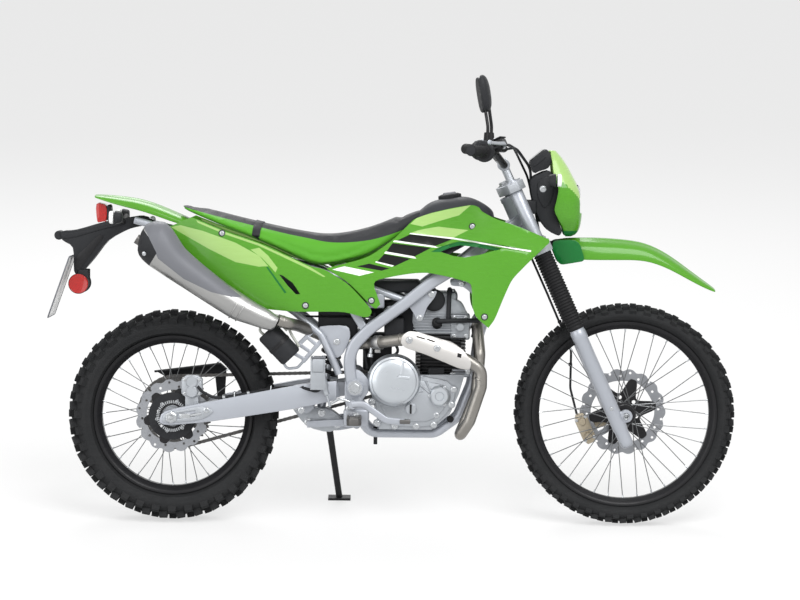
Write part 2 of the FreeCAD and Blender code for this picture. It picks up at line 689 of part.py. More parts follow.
def buildHandlebar():
    finish(shaped("handlebar", tube(barRoute(), mm.bar_radius, mm.bar_bend)), "handlebar", steer)
    grips = []
    inner = mm.bar_radius + mm.grip_gap
    for side in (-1, 1):
        start, inward = alongBar(mm.seat_gap, side)
        sleeve = peg(start, inward * mm.grip_length, mm.grip_radius)
        collar = peg(start + inward * (mm.grip_length - mm.grip_flange_width), inward * mm.grip_flange_width,
                     mm.grip_flange_radius)
        grips.append(sleeve.fuse(collar).cut(peg(start, inward * mm.grip_length, inner, counts["tube_facets"])))
    finish(shaped("grips", Part.makeCompound(grips)), "grips", steer)
    housings = []
    for side in (-1, 1):
        start, inward = alongBar(mm.grip_length + mm.control_gap, side)
        body = peg(start, inward * mm.housing_length, mm.housing_radius)
        perchStart = start + inward * mm.housing_length
        ahead = inward.cross(Vector(0, 0, 1)).normalize() * (-side)
        perch = peg(perchStart, inward * (mm.housing_length * 0.6), mm.housing_radius * 0.8)
        arm = start + inward * (mm.housing_length * 1.3)
        tipStart = arm + ahead * mm.lever_reach
        boom = prism([arm + Vector(0, 0, mm.lever_width / 2) + inward * mm.lever_width,
                      arm + Vector(0, 0, mm.lever_width / 2) - inward * mm.lever_width,
                      tipStart + Vector(0, 0, mm.lever_width / 2) - inward * mm.lever_width,
                      tipStart + Vector(0, 0, mm.lever_width / 2) + inward * mm.lever_width],
                     Vector(0, 0, -mm.lever_width))
        blade = peg(tipStart, inward * -mm.lever_length, mm.lever_width / 2, counts["hose_facets"])
        fusedOne = body.multiFuse([perch, boom, blade])
        hollow = peg(start - inward * mm.grip_length, inward * mm.bar_half, inner, counts["tube_facets"])
        housings.append(fusedOne.cut(hollow))
    finish(shaped("bar_controls", Part.makeCompound(housings)), "bar_controls", steer)


def buildMirrors():
    mirrors = []
    for side in (-1, 1):
        start, inward = alongBar(mm.grip_length + mm.housing_length * 2, side)
        foot = start + Vector(0, 0, mm.bar_radius * 1.12 + mm.seat_gap)
        top = foot + Vector(-mm.mirror_lean, side * mm.mirror_lean, mm.mirror_height * 0.72)
        stem = tube([foot, foot + Vector(0, 0, mm.mirror_height * 0.3), top], mm.mirror_stem_radius, mm.bar_bend)
        wide = mm.mirror_wide / 2
        long = mm.mirror_long / 2
        outlineShares = [(-1, -0.6), (-0.6, -1), (0.6, -1), (1, -0.5), (1, 0.5), (0.5, 1), (-0.5, 1), (-1, 0.5)]
        head = prism([Vector(-mm.mirror_deep / 2, y * wide, z * long) for y, z in outlineShares],
                     Vector(mm.mirror_deep, 0, 0))
        head.translate(top + Vector(0, side * wide * 0.4, long * 0.8))
        mirrors.append(stem.fuse(head))
    finish(shaped("mirrors", Part.makeCompound(mirrors)), "mirrors", steer)


# Meter, lamp stays, cowl and headlamp
def buildFront():
    meterShares = [(1.072, 1.101), (1.124, 1.142), (1.134, 1.131), (1.131, 1.083), (1.1, 1.075)]
    finish(plate("Meter", sideShares(meterShares), "-meter_half", "meter_half * 2"), "meter")
    stayShares = [(1.1, 1.03), (1.13, 1.06), (1.16, 1.0), (1.15, 0.968), (1.165, 0.9), (1.15, 0.89),
                  (1.12, 0.91), (1.09, 0.945), (1.046, 0.945), (1.04, 0.985), (1.09, 0.99)]
    stay = plate("LampStay", sideShares(stayShares), "bracket_half", "bracket_wall")
    finish(pair("lampStays", stay), "lamp_stays")
    cowlShares = [(1.186, 1.209, 0.5, 0.877), (1.178, 1.23, 0.66, 0.903), (1.152, 1.235, 0.92, 0.957),
                  (1.158, 1.228, 1.0, 1.023), (1.147, 1.208, 0.9, 1.061), (1.142, 1.184, 0.72, 1.103),
                  (1.137, 1.152, 0.5, 1.137)]
    sections = []
    for back, front, share, z in cowlShares:
        half = share * mm.cowl_half
        wall = mm.cowl_wall
        x = [alongAt(share) for share in (back, back * 0.4 + front * 0.6, front)]
        outside = [Vector(x[0], half, 0), Vector(x[1], half * 0.86, 0), Vector(x[2], half * 0.45, 0)]
        inside = [Vector(x[2] - wall, half * 0.45 - wall * 0.4, 0), Vector(x[1] - wall, half * 0.86 - wall, 0),
                  Vector(x[0], half - wall, 0)]
        row = outside + [Vector(p.x, -p.y, 0) for p in reversed(outside)]
        row += [Vector(p.x, -p.y, 0) for p in reversed(inside)] + inside
        sections.append([p + Vector(0, 0, heightAt(z)) for p in row])
    shell = facetSolid(sections)
    roomShares = [(1.12, 0.945), (1.3, 0.945), (1.3, 1.037), (1.12, 1.037)]
    room = prism([at(x, 0, z) - Vector(0, mm.lamp_half, 0) for x, z in roomShares], Vector(0, mm.lamp_half * 2, 0))
    finish(shaped("headlamp_cowl", shell.cut(room)), "headlamp_cowl")
    lensShares = [(1.168, 0.9453), (1.214, 0.9453), (1.226, 0.962), (1.23, 0.991), (1.226, 1.02), (1.214, 1.0367),
                  (1.168, 1.0367)]
    lens = plate("Headlamp", sideShares(lensShares), "seat_gap - lamp_half", "(lamp_half - seat_gap) * 2")
    finish(lens, "headlamp")


signalShares = [(-0.5, -0.7), (-0.1, -1), (0.44, -1), (0.5, -0.86), (0.5, 0.86), (0.44, 1), (-0.1, 1), (-0.5, 0.7)]


def indicator(centre, side, stalkStart, long):
    corners = [centre + Vector(x * long, 0, z * mm.indicator_radius) for x, z in signalShares]
    body = prism(corners, Vector(0, side * mm.indicator_length, 0))
    stalk = peg(stalkStart, centre - stalkStart, mm.indicator_stalk_radius, counts["tube_facets"])
    return body.fuse(stalk)


def buildIndicators():
    front = []
    rear = []
    for side in (-1, 1):
        centre = at(1.144, 0, 1.05) + Vector(0, side * mm.front_indicator_half, 0)
        start = at(1.144, 0, 1.035) + Vector(0, side * (mm.cowl_half + mm.seat_gap), 0)
        front.append(indicator(centre, side, start, mm.front_indicator_long))
        centre = at(-0.16, 0, 0.92) + Vector(0, side * mm.rear_indicator_half, 0)
        start = at(-0.16, 0, 0.905) + Vector(0, side * (mm.tail_half * 0.42 + mm.stalk_gap), 0)
        rear.append(indicator(centre, side, start, -mm.rear_indicator_long))
    finish(shaped("front_indicators", Part.makeCompound(front)), "front_indicators")
    return rear


def fenderRow(x, z, half, drop, wall):
    crown = Vector(x, 0, z)
    outside = [Vector(0, half, -drop), Vector(0, half * 0.82, -drop * 0.25), Vector(0, half * 0.4, 0)]
    inside = [Vector(0, half * 0.4, -wall), Vector(0, half * 0.82 - wall, -drop * 0.25 - wall * 0.5),
              Vector(0, half - wall, -drop)]
    row = outside + [Vector(0, -p.y, p.z) for p in reversed(outside)]
    row += [Vector(0, -p.y, p.z) for p in reversed(inside)] + inside
    return [crown + p for p in row]


def buildFrontFender():
    rowShares = [(1.168, 0.868, 0.8, 0.055), (1.29, 0.868, 1.0, 0.058), (1.43, 0.858, 1.0, 0.05),
                 (1.5, 0.824, 0.92, 0.042), (1.572, 0.772, 0.78, 0.028), (1.645, 0.722, 0.5, 0.012)]
    sections = []
    for x, z, half, drop in rowShares:
        sections.append(fenderRow(alongAt(x), heightAt(z), half * mm.fender_half, drop * mm.frame_height,
                                  mm.fender_wall))
    tongueShares = [(1.1294, 0.8337), (1.1148, 0.8656), (1.175, 0.8665), (1.25, 0.8665), (1.25, 0.85), (1.18, 0.845)]
    tongue = prism([Vector(p.x, -mm.tongue_half, p.z) for p in (at(x, 0, z) for x, z in tongueShares)],
                   Vector(0, mm.tongue_half * 2, 0))
    finish(shaped("front_fender", facetSolid(sections).fuse(tongue).removeSplitter()), "front_fender")


caliperShares = [(-0.5, -0.32), (-0.28, -0.5), (0.28, -0.5), (0.5, -0.32), (0.5, 0.32), (0.28, 0.5), (-0.28, 0.5),
                 (-0.5, 0.32)]


def caliper(centre, long, tall, wide):
    return prism([centre + Vector(x * long, -wide / 2, z * tall) for x, z in caliperShares], Vector(0, wide, 0))


def buildFrontCaliper():
    near = mm.front_disc_place
    reach = mm.front_disc_radius
    centre = Vector(trailLead - reach + mm.caliper_deep * 0.15, near, 0)
    body = caliper(centre, mm.caliper_deep, mm.caliper_long, mm.caliper_wide * 0.85)
    slot = Part.makeCylinder(reach + mm.pad_gap * 2, mm.disc_width + 2 * mm.pad_gap,
                             Vector(trailLead, near - mm.disc_width / 2 - mm.pad_gap, 0), Vector(0, 1, 0))
    finish(shaped("front_caliper", body.cut(slot)), "front_caliper", steer)


# Front brake hose, from the caliper up behind the left fork leg to the lower bridge
hoseShares = [(-0.08, 0.74, 0.0483), (-0.066, 0.79, 0.13), (-0.016, 0.92, 0.235), (-0.0135, 0.885, 0.42)]


def buildBrakeHose():
    points = [Vector(x * mm.head_reach, y * mm.frame_half, z * mm.frame_height) for x, y, z in hoseShares]
    points[0].z = mm.caliper_long / 2 + mm.hose_gap
    points.append(Vector(points[-1].x, points[-1].y, lowerBridgeBottom - mm.seat_gap))
    finish(shaped("brake_hose", tube(points, mm.hose_radius, mm.rail_bend, counts["hose_facets"])), "brake_hose", steer)


# Frame: steering head, box spars, down tube, cradle, cross tubes and stand bracket
def headTube():
    tubeShape = peg(Vector(0, 0, headBottom), Vector(0, 0, mm.head_length), mm.head_radius, counts["hub_facets"])
    bore = Part.makeCylinder(mm.stem_radius + mm.running_gap, mm.head_length, Vector(0, 0, headBottom))
    tubeShape.Placement = Placement(Vector(axisFootX, 0, axisFootZ), Rotation(Vector(0, 1, 0), -mm.steering_rake))
    bore.Placement = tubeShape.Placement
    return tubeShape, bore


sparShares = [(1.05, 0.22, 0.925), (0.965, 0.54, 0.868), (0.87, 1.0, 0.79), (0.78, 1.12, 0.735), (0.69, 1.12, 0.662),
              (0.594, 1.1, 0.592), (0.549, 1.08, 0.545), (0.535, 1.06, 0.5), (0.542, 1.04, 0.44),
              (0.556, 1.0, 0.385), (0.572, 0.92, 0.318)]
cradleShares = [(0.926, 0, 0.58), (0.917, 0.4, 0.5), (0.905, 0.58, 0.42), (0.866, 0.58, 0.322),
                (0.8, 0.58, 0.2735), (0.6, 0.64, 0.2735), (0.572, 0.9, 0.315)]
downShares = [(1.03, 0, 0.9), (0.975, 0, 0.727), (0.922, 0, 0.56)]


standShares = (0.47, 1.24, 0.288)


def standAxis():
    tilt = math.radians(mm.stand_axis_angle)
    return at(*standShares), Vector(0, math.cos(tilt), math.sin(tilt))


def buildFrame():
    headShape, bore = headTube()
    spar = bar([at(*row) for row in sparShares], mm.spar_wide, mm.spar_tall)
    cradle = tube([at(*row) for row in cradleShares], mm.cradle_radius, mm.cradle_bend)
    down = tube([at(*row) for row in downShares], mm.down_tube_radius, mm.cradle_bend)
    crosses = []
    for x, z, half in ((0.512, 0.7, 0.97), (0.56, 0.3, 0.85)):
        start = at(x, -half, z)
        crosses.append(peg(start, Vector(0, start.y * -2, 0), mm.cross_radius, counts["tube_facets"]))
    link = bar([at(0.512, 0.97, 0.7), at(0.585, 1.08, 0.585)], mm.spar_wide * 0.5, mm.spar_tall * 0.7)
    bracket = prism([Vector(p.x, mm.frame_half * 0.86, p.z) for p in
                     (at(0.585, 0, 0.33), at(0.46, 0, 0.31), at(0.45, 0, 0.29), at(0.462, 0, 0.27),
                      at(0.5, 0, 0.265), at(0.59, 0, 0.285))], Vector(0, mm.peg_bracket, 0))
    pieces = [spar, mirrorY(spar), cradle, mirrorY(cradle), down, link, mirrorY(link), bracket] + crosses
    shape = headShape.multiFuse(pieces).cut(bore)
    pivotBolt = peg(Vector(mm.pivot_reach, -mm.frame_half * 1.5, mm.pivot_height), Vector(0, mm.frame_half * 3, 0),
                    mm.pivot_bolt_radius + mm.seat_gap * 2)
    pivot, axis = standAxis()
    pinStart = pivot - axis * mm.stand_pin_reach
    standPin = Part.makeCylinder(mm.stand_bolt_radius, mm.stand_pin_reach + mm.stand_hub_width * 0.6, pinStart, axis)
    finish(shaped("frame", shape.cut(pivotBolt).fuse(standPin).removeSplitter()), "frame")


railShares = [(0.705, 0.857, 0.678), (0.6, 0.857, 0.715), (0.43, 0.857, 0.7685), (0.2, 0.8, 0.828),
              (0, 0.62, 0.882), (-0.12, 0.5, 0.912)]
strutShares = [(0.505, 1.06, 0.455), (0.485, 1.08, 0.5), (0.45, 1.04, 0.575), (0.37, 0.95, 0.64), (0.2, 0.84, 0.755),
               (0.08, 0.7, 0.858)]


def buildSubframe():
    rail = tube([at(*row) for row in railShares], mm.rail_radius, mm.rail_bend)
    strut = tube([at(*row) for row in strutShares], mm.rail_radius, mm.rail_bend)
    crosses = []
    for x, z, half in ((0.2, 0.828, 0.8), (0.02, 0.877, 0.62)):
        start = at(x, -half, z)
        crosses.append(peg(start, Vector(0, start.y * -2, 0), mm.rail_radius, counts["tube_facets"]))
    shape = rail.multiFuse([strut, mirrorY(rail), mirrorY(strut)] + crosses)
    finish(shaped("subframe", shape.removeSplitter()), "subframe")


# Swing arm: two beams, the bridge ahead of the tyre and the pivot lug
def armLine(x, height):
    return Vector(x, 0, mm.rear_radius + (mm.pivot_height - mm.rear_radius) * x / mm.pivot_reach + height)


def buildSwingArm():
    def beamPoint(x, height):
        return armLine(x * mm.pivot_reach, height) + Vector(0, mm.arm_inner, 0)

    tall = mm.arm_tall
    tip = mm.arm_tip_tall
    outline = [beamPoint(0.9, tall * 0.42), beamPoint(0.7, tall * 0.56), beamPoint(0.18, tip * 0.62),
               beamPoint(-0.05, tip * 0.5), beamPoint(-0.07, -tip * 0.2), beamPoint(-0.03, -tip * 0.5),
               beamPoint(0.2, -tip * 0.72), beamPoint(0.7, -tall * 0.5), beamPoint(0.9, -tall * 0.4)]
    beam = prism(outline, Vector(0, mm.arm_wide, 0))
    axle = Part.makeCylinder(mm.axle_radius + mm.seat_gap, mm.arm_wide * 2,
                             Vector(0, mm.arm_inner - mm.arm_wide / 2, mm.rear_radius), Vector(0, 1, 0))
    beam = beam.cut(axle)
    bridgeFace = [beamPoint(0.7, tall * 0.3), beamPoint(0.62, tall * 0.3), beamPoint(0.62, -tall * 0.3),
                  beamPoint(0.7, -tall * 0.3)]
    bridgeBar = prism(bridgeFace, Vector(0, -2 * mm.arm_inner, 0))
    lugInner = mm.shock_radius * 1.25
    lugFace = [beamPoint(1.0, mm.pivot_radius), beamPoint(0.82, tall * 0.3), beamPoint(0.82, -tall * 0.3),
               beamPoint(1.0, -mm.pivot_radius)]
    lug = prism([point + Vector(0, lugInner - mm.arm_inner, 0) for point in lugFace],
                Vector(0, mm.pivot_lug_half - lugInner, 0))
    webFace = [beamPoint(0.9, tall * 0.3), beamPoint(0.82, tall * 0.3), beamPoint(0.82, -tall * 0.3),
               beamPoint(0.9, -tall * 0.3)]
    web = prism([point + Vector(0, lugInner - mm.arm_inner, 0) for point in webFace],
                Vector(0, mm.arm_inner - lugInner, 0))
    hubStart = Vector(mm.pivot_reach, -mm.pivot_lug_half, mm.pivot_height)
    hubShape = peg(hubStart, Vector(0, 2 * mm.pivot_lug_half, 0), mm.pivot_radius)
    bore = Part.makeCylinder(mm.pivot_bolt_radius + mm.seat_gap, 2 * mm.pivot_lug_half, hubStart, Vector(0, 1, 0))
    shape = beam.multiFuse([mirrorY(beam), bridgeBar, lug, mirrorY(lug), web, mirrorY(web), hubShape]).cut(bore)
    finish(shaped("swing_arm", shape.removeSplitter()), "swing_arm")
    half = mm.arm_inner + mm.arm_wide + mm.axle_overhang
    shaft = rod("rearAxleShaft", "axle_radius", "(arm_inner + arm_wide + axle_overhang) * 2 + nut_width",
                Vector(0, -half, mm.rear_radius))
    nut = doc.addObject("Part::Prism", "rearAxleNut")
    bind(nut, Circumradius="nut_radius", Height="nut_width - seat_gap")
    nut.Placement = Placement(Vector(0, mm.arm_inner + mm.arm_wide + mm.seat_gap, mm.rear_radius), acrossY)
    finish(fused("rearAxle", [shaft, nut]), "rear_axle")
    boltHalf = mm.frame_half * 1.28
    bolt = rod("pivotShaft", "pivot_bolt_radius", "frame_half * 2.56",
               Vector(mm.pivot_reach, -boltHalf, mm.pivot_height))
    finish(bolt, "pivot_bolt")


# Engine: cases with a step for the drive sprocket, covers, barrel and head
caseShares = [(0.591, 0.452), (0.628, 0.288), (0.787, 0.288), (0.842, 0.337), (0.869, 0.4), (0.885, 0.457),
              (0.74, 0.457)]
stepShares = [(0.672, 0.457), (0.672, 0.288), (0.787, 0.288), (0.842, 0.337), (0.869, 0.4), (0.885, 0.457)]


def cover(centre, out, radius, depth, sides):
    shape = spun([(0, 0), (radius, 0), (radius, depth * 0.72), (radius * 0.9, depth), (0, depth)], sides)
    shape.Placement = Placement(centre, Rotation(Vector(0, 1, 0), out))
    return shape


def buildEngine():
    whole = plate("EngineCase", sideShares(caseShares), "-case_right", "case_right + case_left")
    step = plate("EngineStep", sideShares(stepShares), "case_left", "case_step - case_left")
    shaft = rod("DriveShaft", "drive_sprocket_radius", "chain_line + sprocket_width / 2 - case_left / 2",
                Vector(mm.pivot_reach + mm.drive_lead, mm.case_left / 2, mm.pivot_height))
    finish(fused("EngineCases", [whole, step, shaft]), "engine_cases")
    face = -mm.case_right - mm.seat_gap
    clutch = at(0.672, 0, 0.437) + Vector(0, face, 0)
    small = at(0.81, 0, 0.39) + Vector(0, face, 0)
    dynamo = at(0.765, 0, 0.385) + Vector(0, mm.case_step + mm.seat_gap, 0)
    right = Vector(0, -1, 0)
    sides = counts["cover_facets"]
    step = cover(clutch, right, mm.clutch_step_radius, mm.clutch_depth + mm.clutch_step_depth, sides)
    covers = [cover(clutch, right, mm.clutch_radius, mm.clutch_depth, sides).fuse(step),
              cover(small, right, mm.small_cover_radius, mm.small_cover_depth, counts["drive_facets"]),
              cover(dynamo, Vector(0, 1, 0), mm.dynamo_radius, mm.dynamo_depth, sides)]
    finish(shaped("engine_covers", Part.makeCompound(covers)), "engine_covers")
    low = at(0.742, 0, 0.457)
    high = at(0.882, 0, 0.575)
    deep = high.x - low.x
    core = Part.makeBox(deep, mm.barrel_half * 2, high.z - low.z - mm.seat_gap * 2,
                        Vector(low.x, -mm.barrel_half, low.z + mm.seat_gap))
    fins = []
    count = counts["barrel_fins"]
    pitch = (high.z - low.z - mm.fin_width * 2) / count
    for i in range(count):
        z = low.z + mm.fin_width + pitch * (i + 0.3)
        fins.append(Part.makeBox(deep + mm.fin_reach * 2, (mm.barrel_half + mm.fin_reach) * 2, mm.fin_width,
                                 Vector(low.x - mm.fin_reach, -mm.barrel_half - mm.fin_reach, z)))
    finish(shaped("cylinder", core.multiFuse(fins)), "cylinder")
    headShares = [(0.735, 0.575), (0.892, 0.575), (0.9, 0.64), (0.88, 0.675), (0.84, 0.692), (0.76, 0.692),
                  (0.722, 0.66), (0.717, 0.61)]
    finish(plate("CylinderHead", sideShares(headShares), "-head_half", "head_half * 2"), "cylinder_head")


def buildIntake():
    points = [at(0.7165, 0, 0.64), at(0.6, 0.1, 0.645), at(0.545, 0.62, 0.655), at(0.46, 0.62, 0.66),
              at(0.4205, 0.5, 0.69)]
    throat = tube([points[0], at(0.66, 0.02, 0.642), points[1]], mm.throttle_radius, mm.cradle_bend)
    bowl = at(0.635, -0.36, 0.6)
    body = Part.makeBox(mm.throttle_radius * 2, mm.throttle_radius * 3.2, mm.throttle_radius * 3, bowl)
    throttle = throat.fuse(body)
    low = at(0.21, 0, 0.655)
    high = at(0.42, 0, 0.75)
    box = Part.makeBox(high.x - low.x, mm.airbox_half * 2, high.z - low.z, Vector(low.x, -mm.airbox_half, low.z))
    start = at(0.596, 0.1, 0.6455)
    duct = tube([start] + points[2:], mm.throttle_radius * 0.8, mm.cradle_bend)
    finish(shaped("intake", Part.makeCompound([throttle, box.fuse(duct)])), "intake")


# Exhaust: looped header, heat shield and tapered muffler
pipeShares = [(0.9015, -0.3, 0.615), (0.93, -0.32, 0.612), (0.956, -0.85, 0.52), (0.93, -0.97, 0.4), (0.885, -1.08, 0.3),
              (0.87, -1.25, 0.272), (0.9, -1.42, 0.32), (0.934, -1.45, 0.424), (0.934, -1.45, 0.476),
              (0.89, -1.45, 0.506), (0.714, -1.55, 0.568), (0.583, -1.62, 0.545)]


mufflerShares = [(0.322, 0.622), (-0.078, 0.83)]


def mufflerLine():
    ends = [at(x, 0, z) for x, z in mufflerShares]
    return [Vector(p.x, -mm.muffler_out, p.z) for p in ends]


def buildExhaust():
    front, back = mufflerLine()
    along = back - front
    length = along.Length
    joint = front - along * (mm.muffler_joint / length)
    points = [at(*row) for row in pipeShares] + [joint, front]
    finish(shaped("exhaust_pipe", tube(points, mm.pipe_radius, mm.pipe_bend)), "exhaust_pipe")
    profile = [(0, 0), (mm.pipe_radius * 1.25, 0), (mm.muffler_neck_radius, length * 0.3),
               (mm.muffler_neck_radius * 1.06, length * 0.36), (mm.muffler_radius, length * 0.86),
               (mm.muffler_radius * 0.94, length * 0.95), (mm.muffler_tip_radius * 1.6, length), (0, length)]
    body = spun(profile, counts["muffler_facets"])
    tipLength = Vector(0, mm.muffler_tip_length, 0)
    tip = peg(Vector(0, length, 0), tipLength, mm.muffler_tip_radius)
    tip = tip.cut(peg(Vector(0, length, 0), tipLength, mm.muffler_tip_radius * 0.85))
    shape = body.fuse(tip)
    turn = Rotation(Vector(0, 1, 0), along)
    shape.Placement = Placement(front + along.normalize() * mm.seat_gap, turn)
    finish(shaped("muffler", shape), "muffler")
    shieldShares = [(0.88, 0.535), (0.885, 0.478), (0.83, 0.5), (0.71, 0.54), (0.71, 0.595), (0.8, 0.565)]
    near = "-(frame_half * 1.55 + pipe_radius + shield_gap + shield_wall)"
    finish(plate("HeatShield", sideShares(shieldShares), near, "shield_wall"), "heat_shield")


# Tank, seat and body panels
def buildTank():
    tankShares = [(0.69, 0.5, 0.8, 0.915, 0.7), (0.745, 0.6, 0.79, 0.94, 0.76), (0.8, 0.72, 0.8, 0.982, 0.72),
                  (0.88, 0.8, 0.845, 0.994, 0.7), (0.955, 0.56, 0.897, 0.96, 0.5), (0.972, 0.42, 0.907, 0.945, 0.36)]
    sections = []
    for x, wide, low, high, top in tankShares:
        half = [(0.55 * wide, low), (wide, low * 0.75 + high * 0.25), (wide, low * 0.35 + high * 0.65),
                (top * wide, high)]
        row = [Vector(alongAt(x), y * mm.tank_half, heightAt(z)) for y, z in half]
        row += [Vector(p.x, -p.y, p.z) for p in reversed(row)]
        sections.append(row)
    shape = facetSolid(sections)
    capFoot = at(0.835, 0, 0.986)
    finish(shaped("fuel_tank", shape), "fuel_tank")
    tilt = Rotation(Vector(0, 1, 0), -8)
    cap = peg(Vector(0, 0, 0), Vector(0, 0, mm.cap_height), mm.cap_radius, counts["cap_facets"])
    cap.Placement = Placement(capFoot + Vector(0, 0, mm.seat_gap), tilt)
    finish(shaped("fuel_cap", cap.cut(shape)), "fuel_cap")


seatShares = [(0.024, 0.62, 0.955, 0.962), (0.156, 0.8, 0.893, 0.926), (0.249, 0.9, 0.862, 0.904),
            (0.345, 0.97, 0.822, 0.882), (0.43, 1.0, 0.781, 0.869), (0.484, 1.0, 0.786, 0.867),
            (0.59, 0.86, 0.811, 0.886), (0.66, 0.7, 0.862, 0.917), (0.684, 0.62, 0.884, 0.93)]


def buildSeat():
    sections = []
    for x, wide, low, high in seatShares:
        half = [(wide * 0.94, low), (wide, low * 0.45 + high * 0.55), (wide * 0.72, high)]
        row = [Vector(alongAt(x), y * mm.seat_half, heightAt(z)) for y, z in half]
        row += [Vector(p.x, -p.y, p.z) for p in reversed(row)]
        sections.append(row)
    finish(shaped("seat", facetSolid(sections)), "seat")


coverShares = [(-0.011, 0.895), (0.016, 0.857), (0.066, 0.792), (0.124, 0.751), (0.202, 0.7), (0.266, 0.653),
               (0.376, 0.644), (0.518, 0.647), (0.578, 0.63), (0.595, 0.632), (0.605, 0.651), (0.532, 0.73),
               (0.459, 0.774), (0.419, 0.781), (0.345, 0.815), (0.262, 0.851), (0.16, 0.884), (0.056, 0.925)]
coverLines = [(-0.1, 0.62, 0.56), (0.1, 0.86, 0.8), (0.3, 1.02, 0.97), (0.5, 1.03, 1.0), (0.7, 1.04, 1.02)]
shroudShares = [(0.727, 0.925), (0.775, 0.945), (0.83, 0.959), (0.899, 0.972), (0.92, 0.966), (0.93, 0.952),
                (0.972, 0.93), (1.038, 0.91), (1.133, 0.871), (1.133, 0.861), (1.073, 0.804), (1.022, 0.751),
                (0.999, 0.699), (0.972, 0.63), (0.953, 0.605), (0.915, 0.636), (0.904, 0.665), (0.901, 0.732),
                (0.889, 0.741), (0.834, 0.755), (0.771, 0.767), (0.728, 0.765), (0.678, 0.757), (0.602, 0.74),
                (0.628, 0.67), (0.612, 0.653), (0.536, 0.731), (0.463, 0.776), (0.59, 0.809), (0.668, 0.866),
                (0.713, 0.912)]
ventShares = [(0.806, 0.83), (0.839, 0.844), (0.866, 0.85), (0.918, 0.845), (0.97, 0.837), (0.925, 0.823),
              (0.88, 0.814), (0.846, 0.818)]
shroudLines = [(0.42, 0.83, 0.8), (0.593, 0.86, 0.72), (0.747, 0.93, 0.68), (0.885, 1.0, 0.76),
               (1.01, 1.02, 0.92), (1.16, 0.94, 0.9)]


def buildPanels():
    cover = panel(coverShares, coverLines, mm.cover_half, mm.panel_wall)
    finish(shaped("side_covers", Part.makeCompound([cover, mirrorY(cover)])), "side_covers")
    shroud = panel(shroudShares, shroudLines, mm.shroud_half, mm.panel_wall)
    vent = prism([at(x, 0, z) for x, z in ventShares], Vector(0, mm.shroud_half * 2, 0))
    shroud = shroud.cut(vent)
    finish(shaped("shrouds", Part.makeCompound([shroud, mirrorY(shroud)])), "shrouds")


def buildTail():
    rowShares = [(0.088, 1.0, 0.888, 0.01), (0.0, 0.96, 0.935, 0.028), (-0.1, 0.86, 0.972, 0.03),
                 (-0.19, 0.74, 0.98, 0.022), (-0.245, 0.5, 0.986, 0.01)]
    sections = []
    for x, half, z, drop in rowShares:
        sections.append(fenderRow(alongAt(x), heightAt(z), half * mm.tail_half, drop * mm.frame_height,
                                  mm.tail_wall))
    finish(shaped("rear_fender", facetSolid(sections)), "rear_fender")
    bracketShares = [(-0.138, 0.918), (-0.138, 0.885), (-0.204, 0.85), (-0.25, 0.79), (-0.292, 0.742),
                     (-0.306, 0.75), (-0.306, 0.83), (-0.345, 0.85), (-0.349, 0.876), (-0.305, 0.877),
                     (-0.221, 0.904)]
    finish(plate("PlateBracket", sideShares(bracketShares), "-tail_half * 0.42", "tail_half * 0.84"), "plate_bracket")
    lampShares = [(-0.197, 0.958), (-0.24, 0.966), (-0.235, 0.8999), (-0.221, 0.9044), (-0.2, 0.9079)]
    finish(plate("TailLamp", sideShares(lampShares), "-tail_half * 0.42", "tail_half * 0.84"), "tail_lamp")
    top = at(-0.312, 0, 0.8)
    foot = at(-0.376, 0, 0.616)
    face = [Vector(p.x, y * mm.tail_half, p.z) for p, y in ((top, -1.2), (foot, -1.2), (foot, 1.2), (top, 1.2))]
    finish(shaped("number_plate", prism(face, Vector(-mm.shield_wall, 0, 0))), "number_plate")


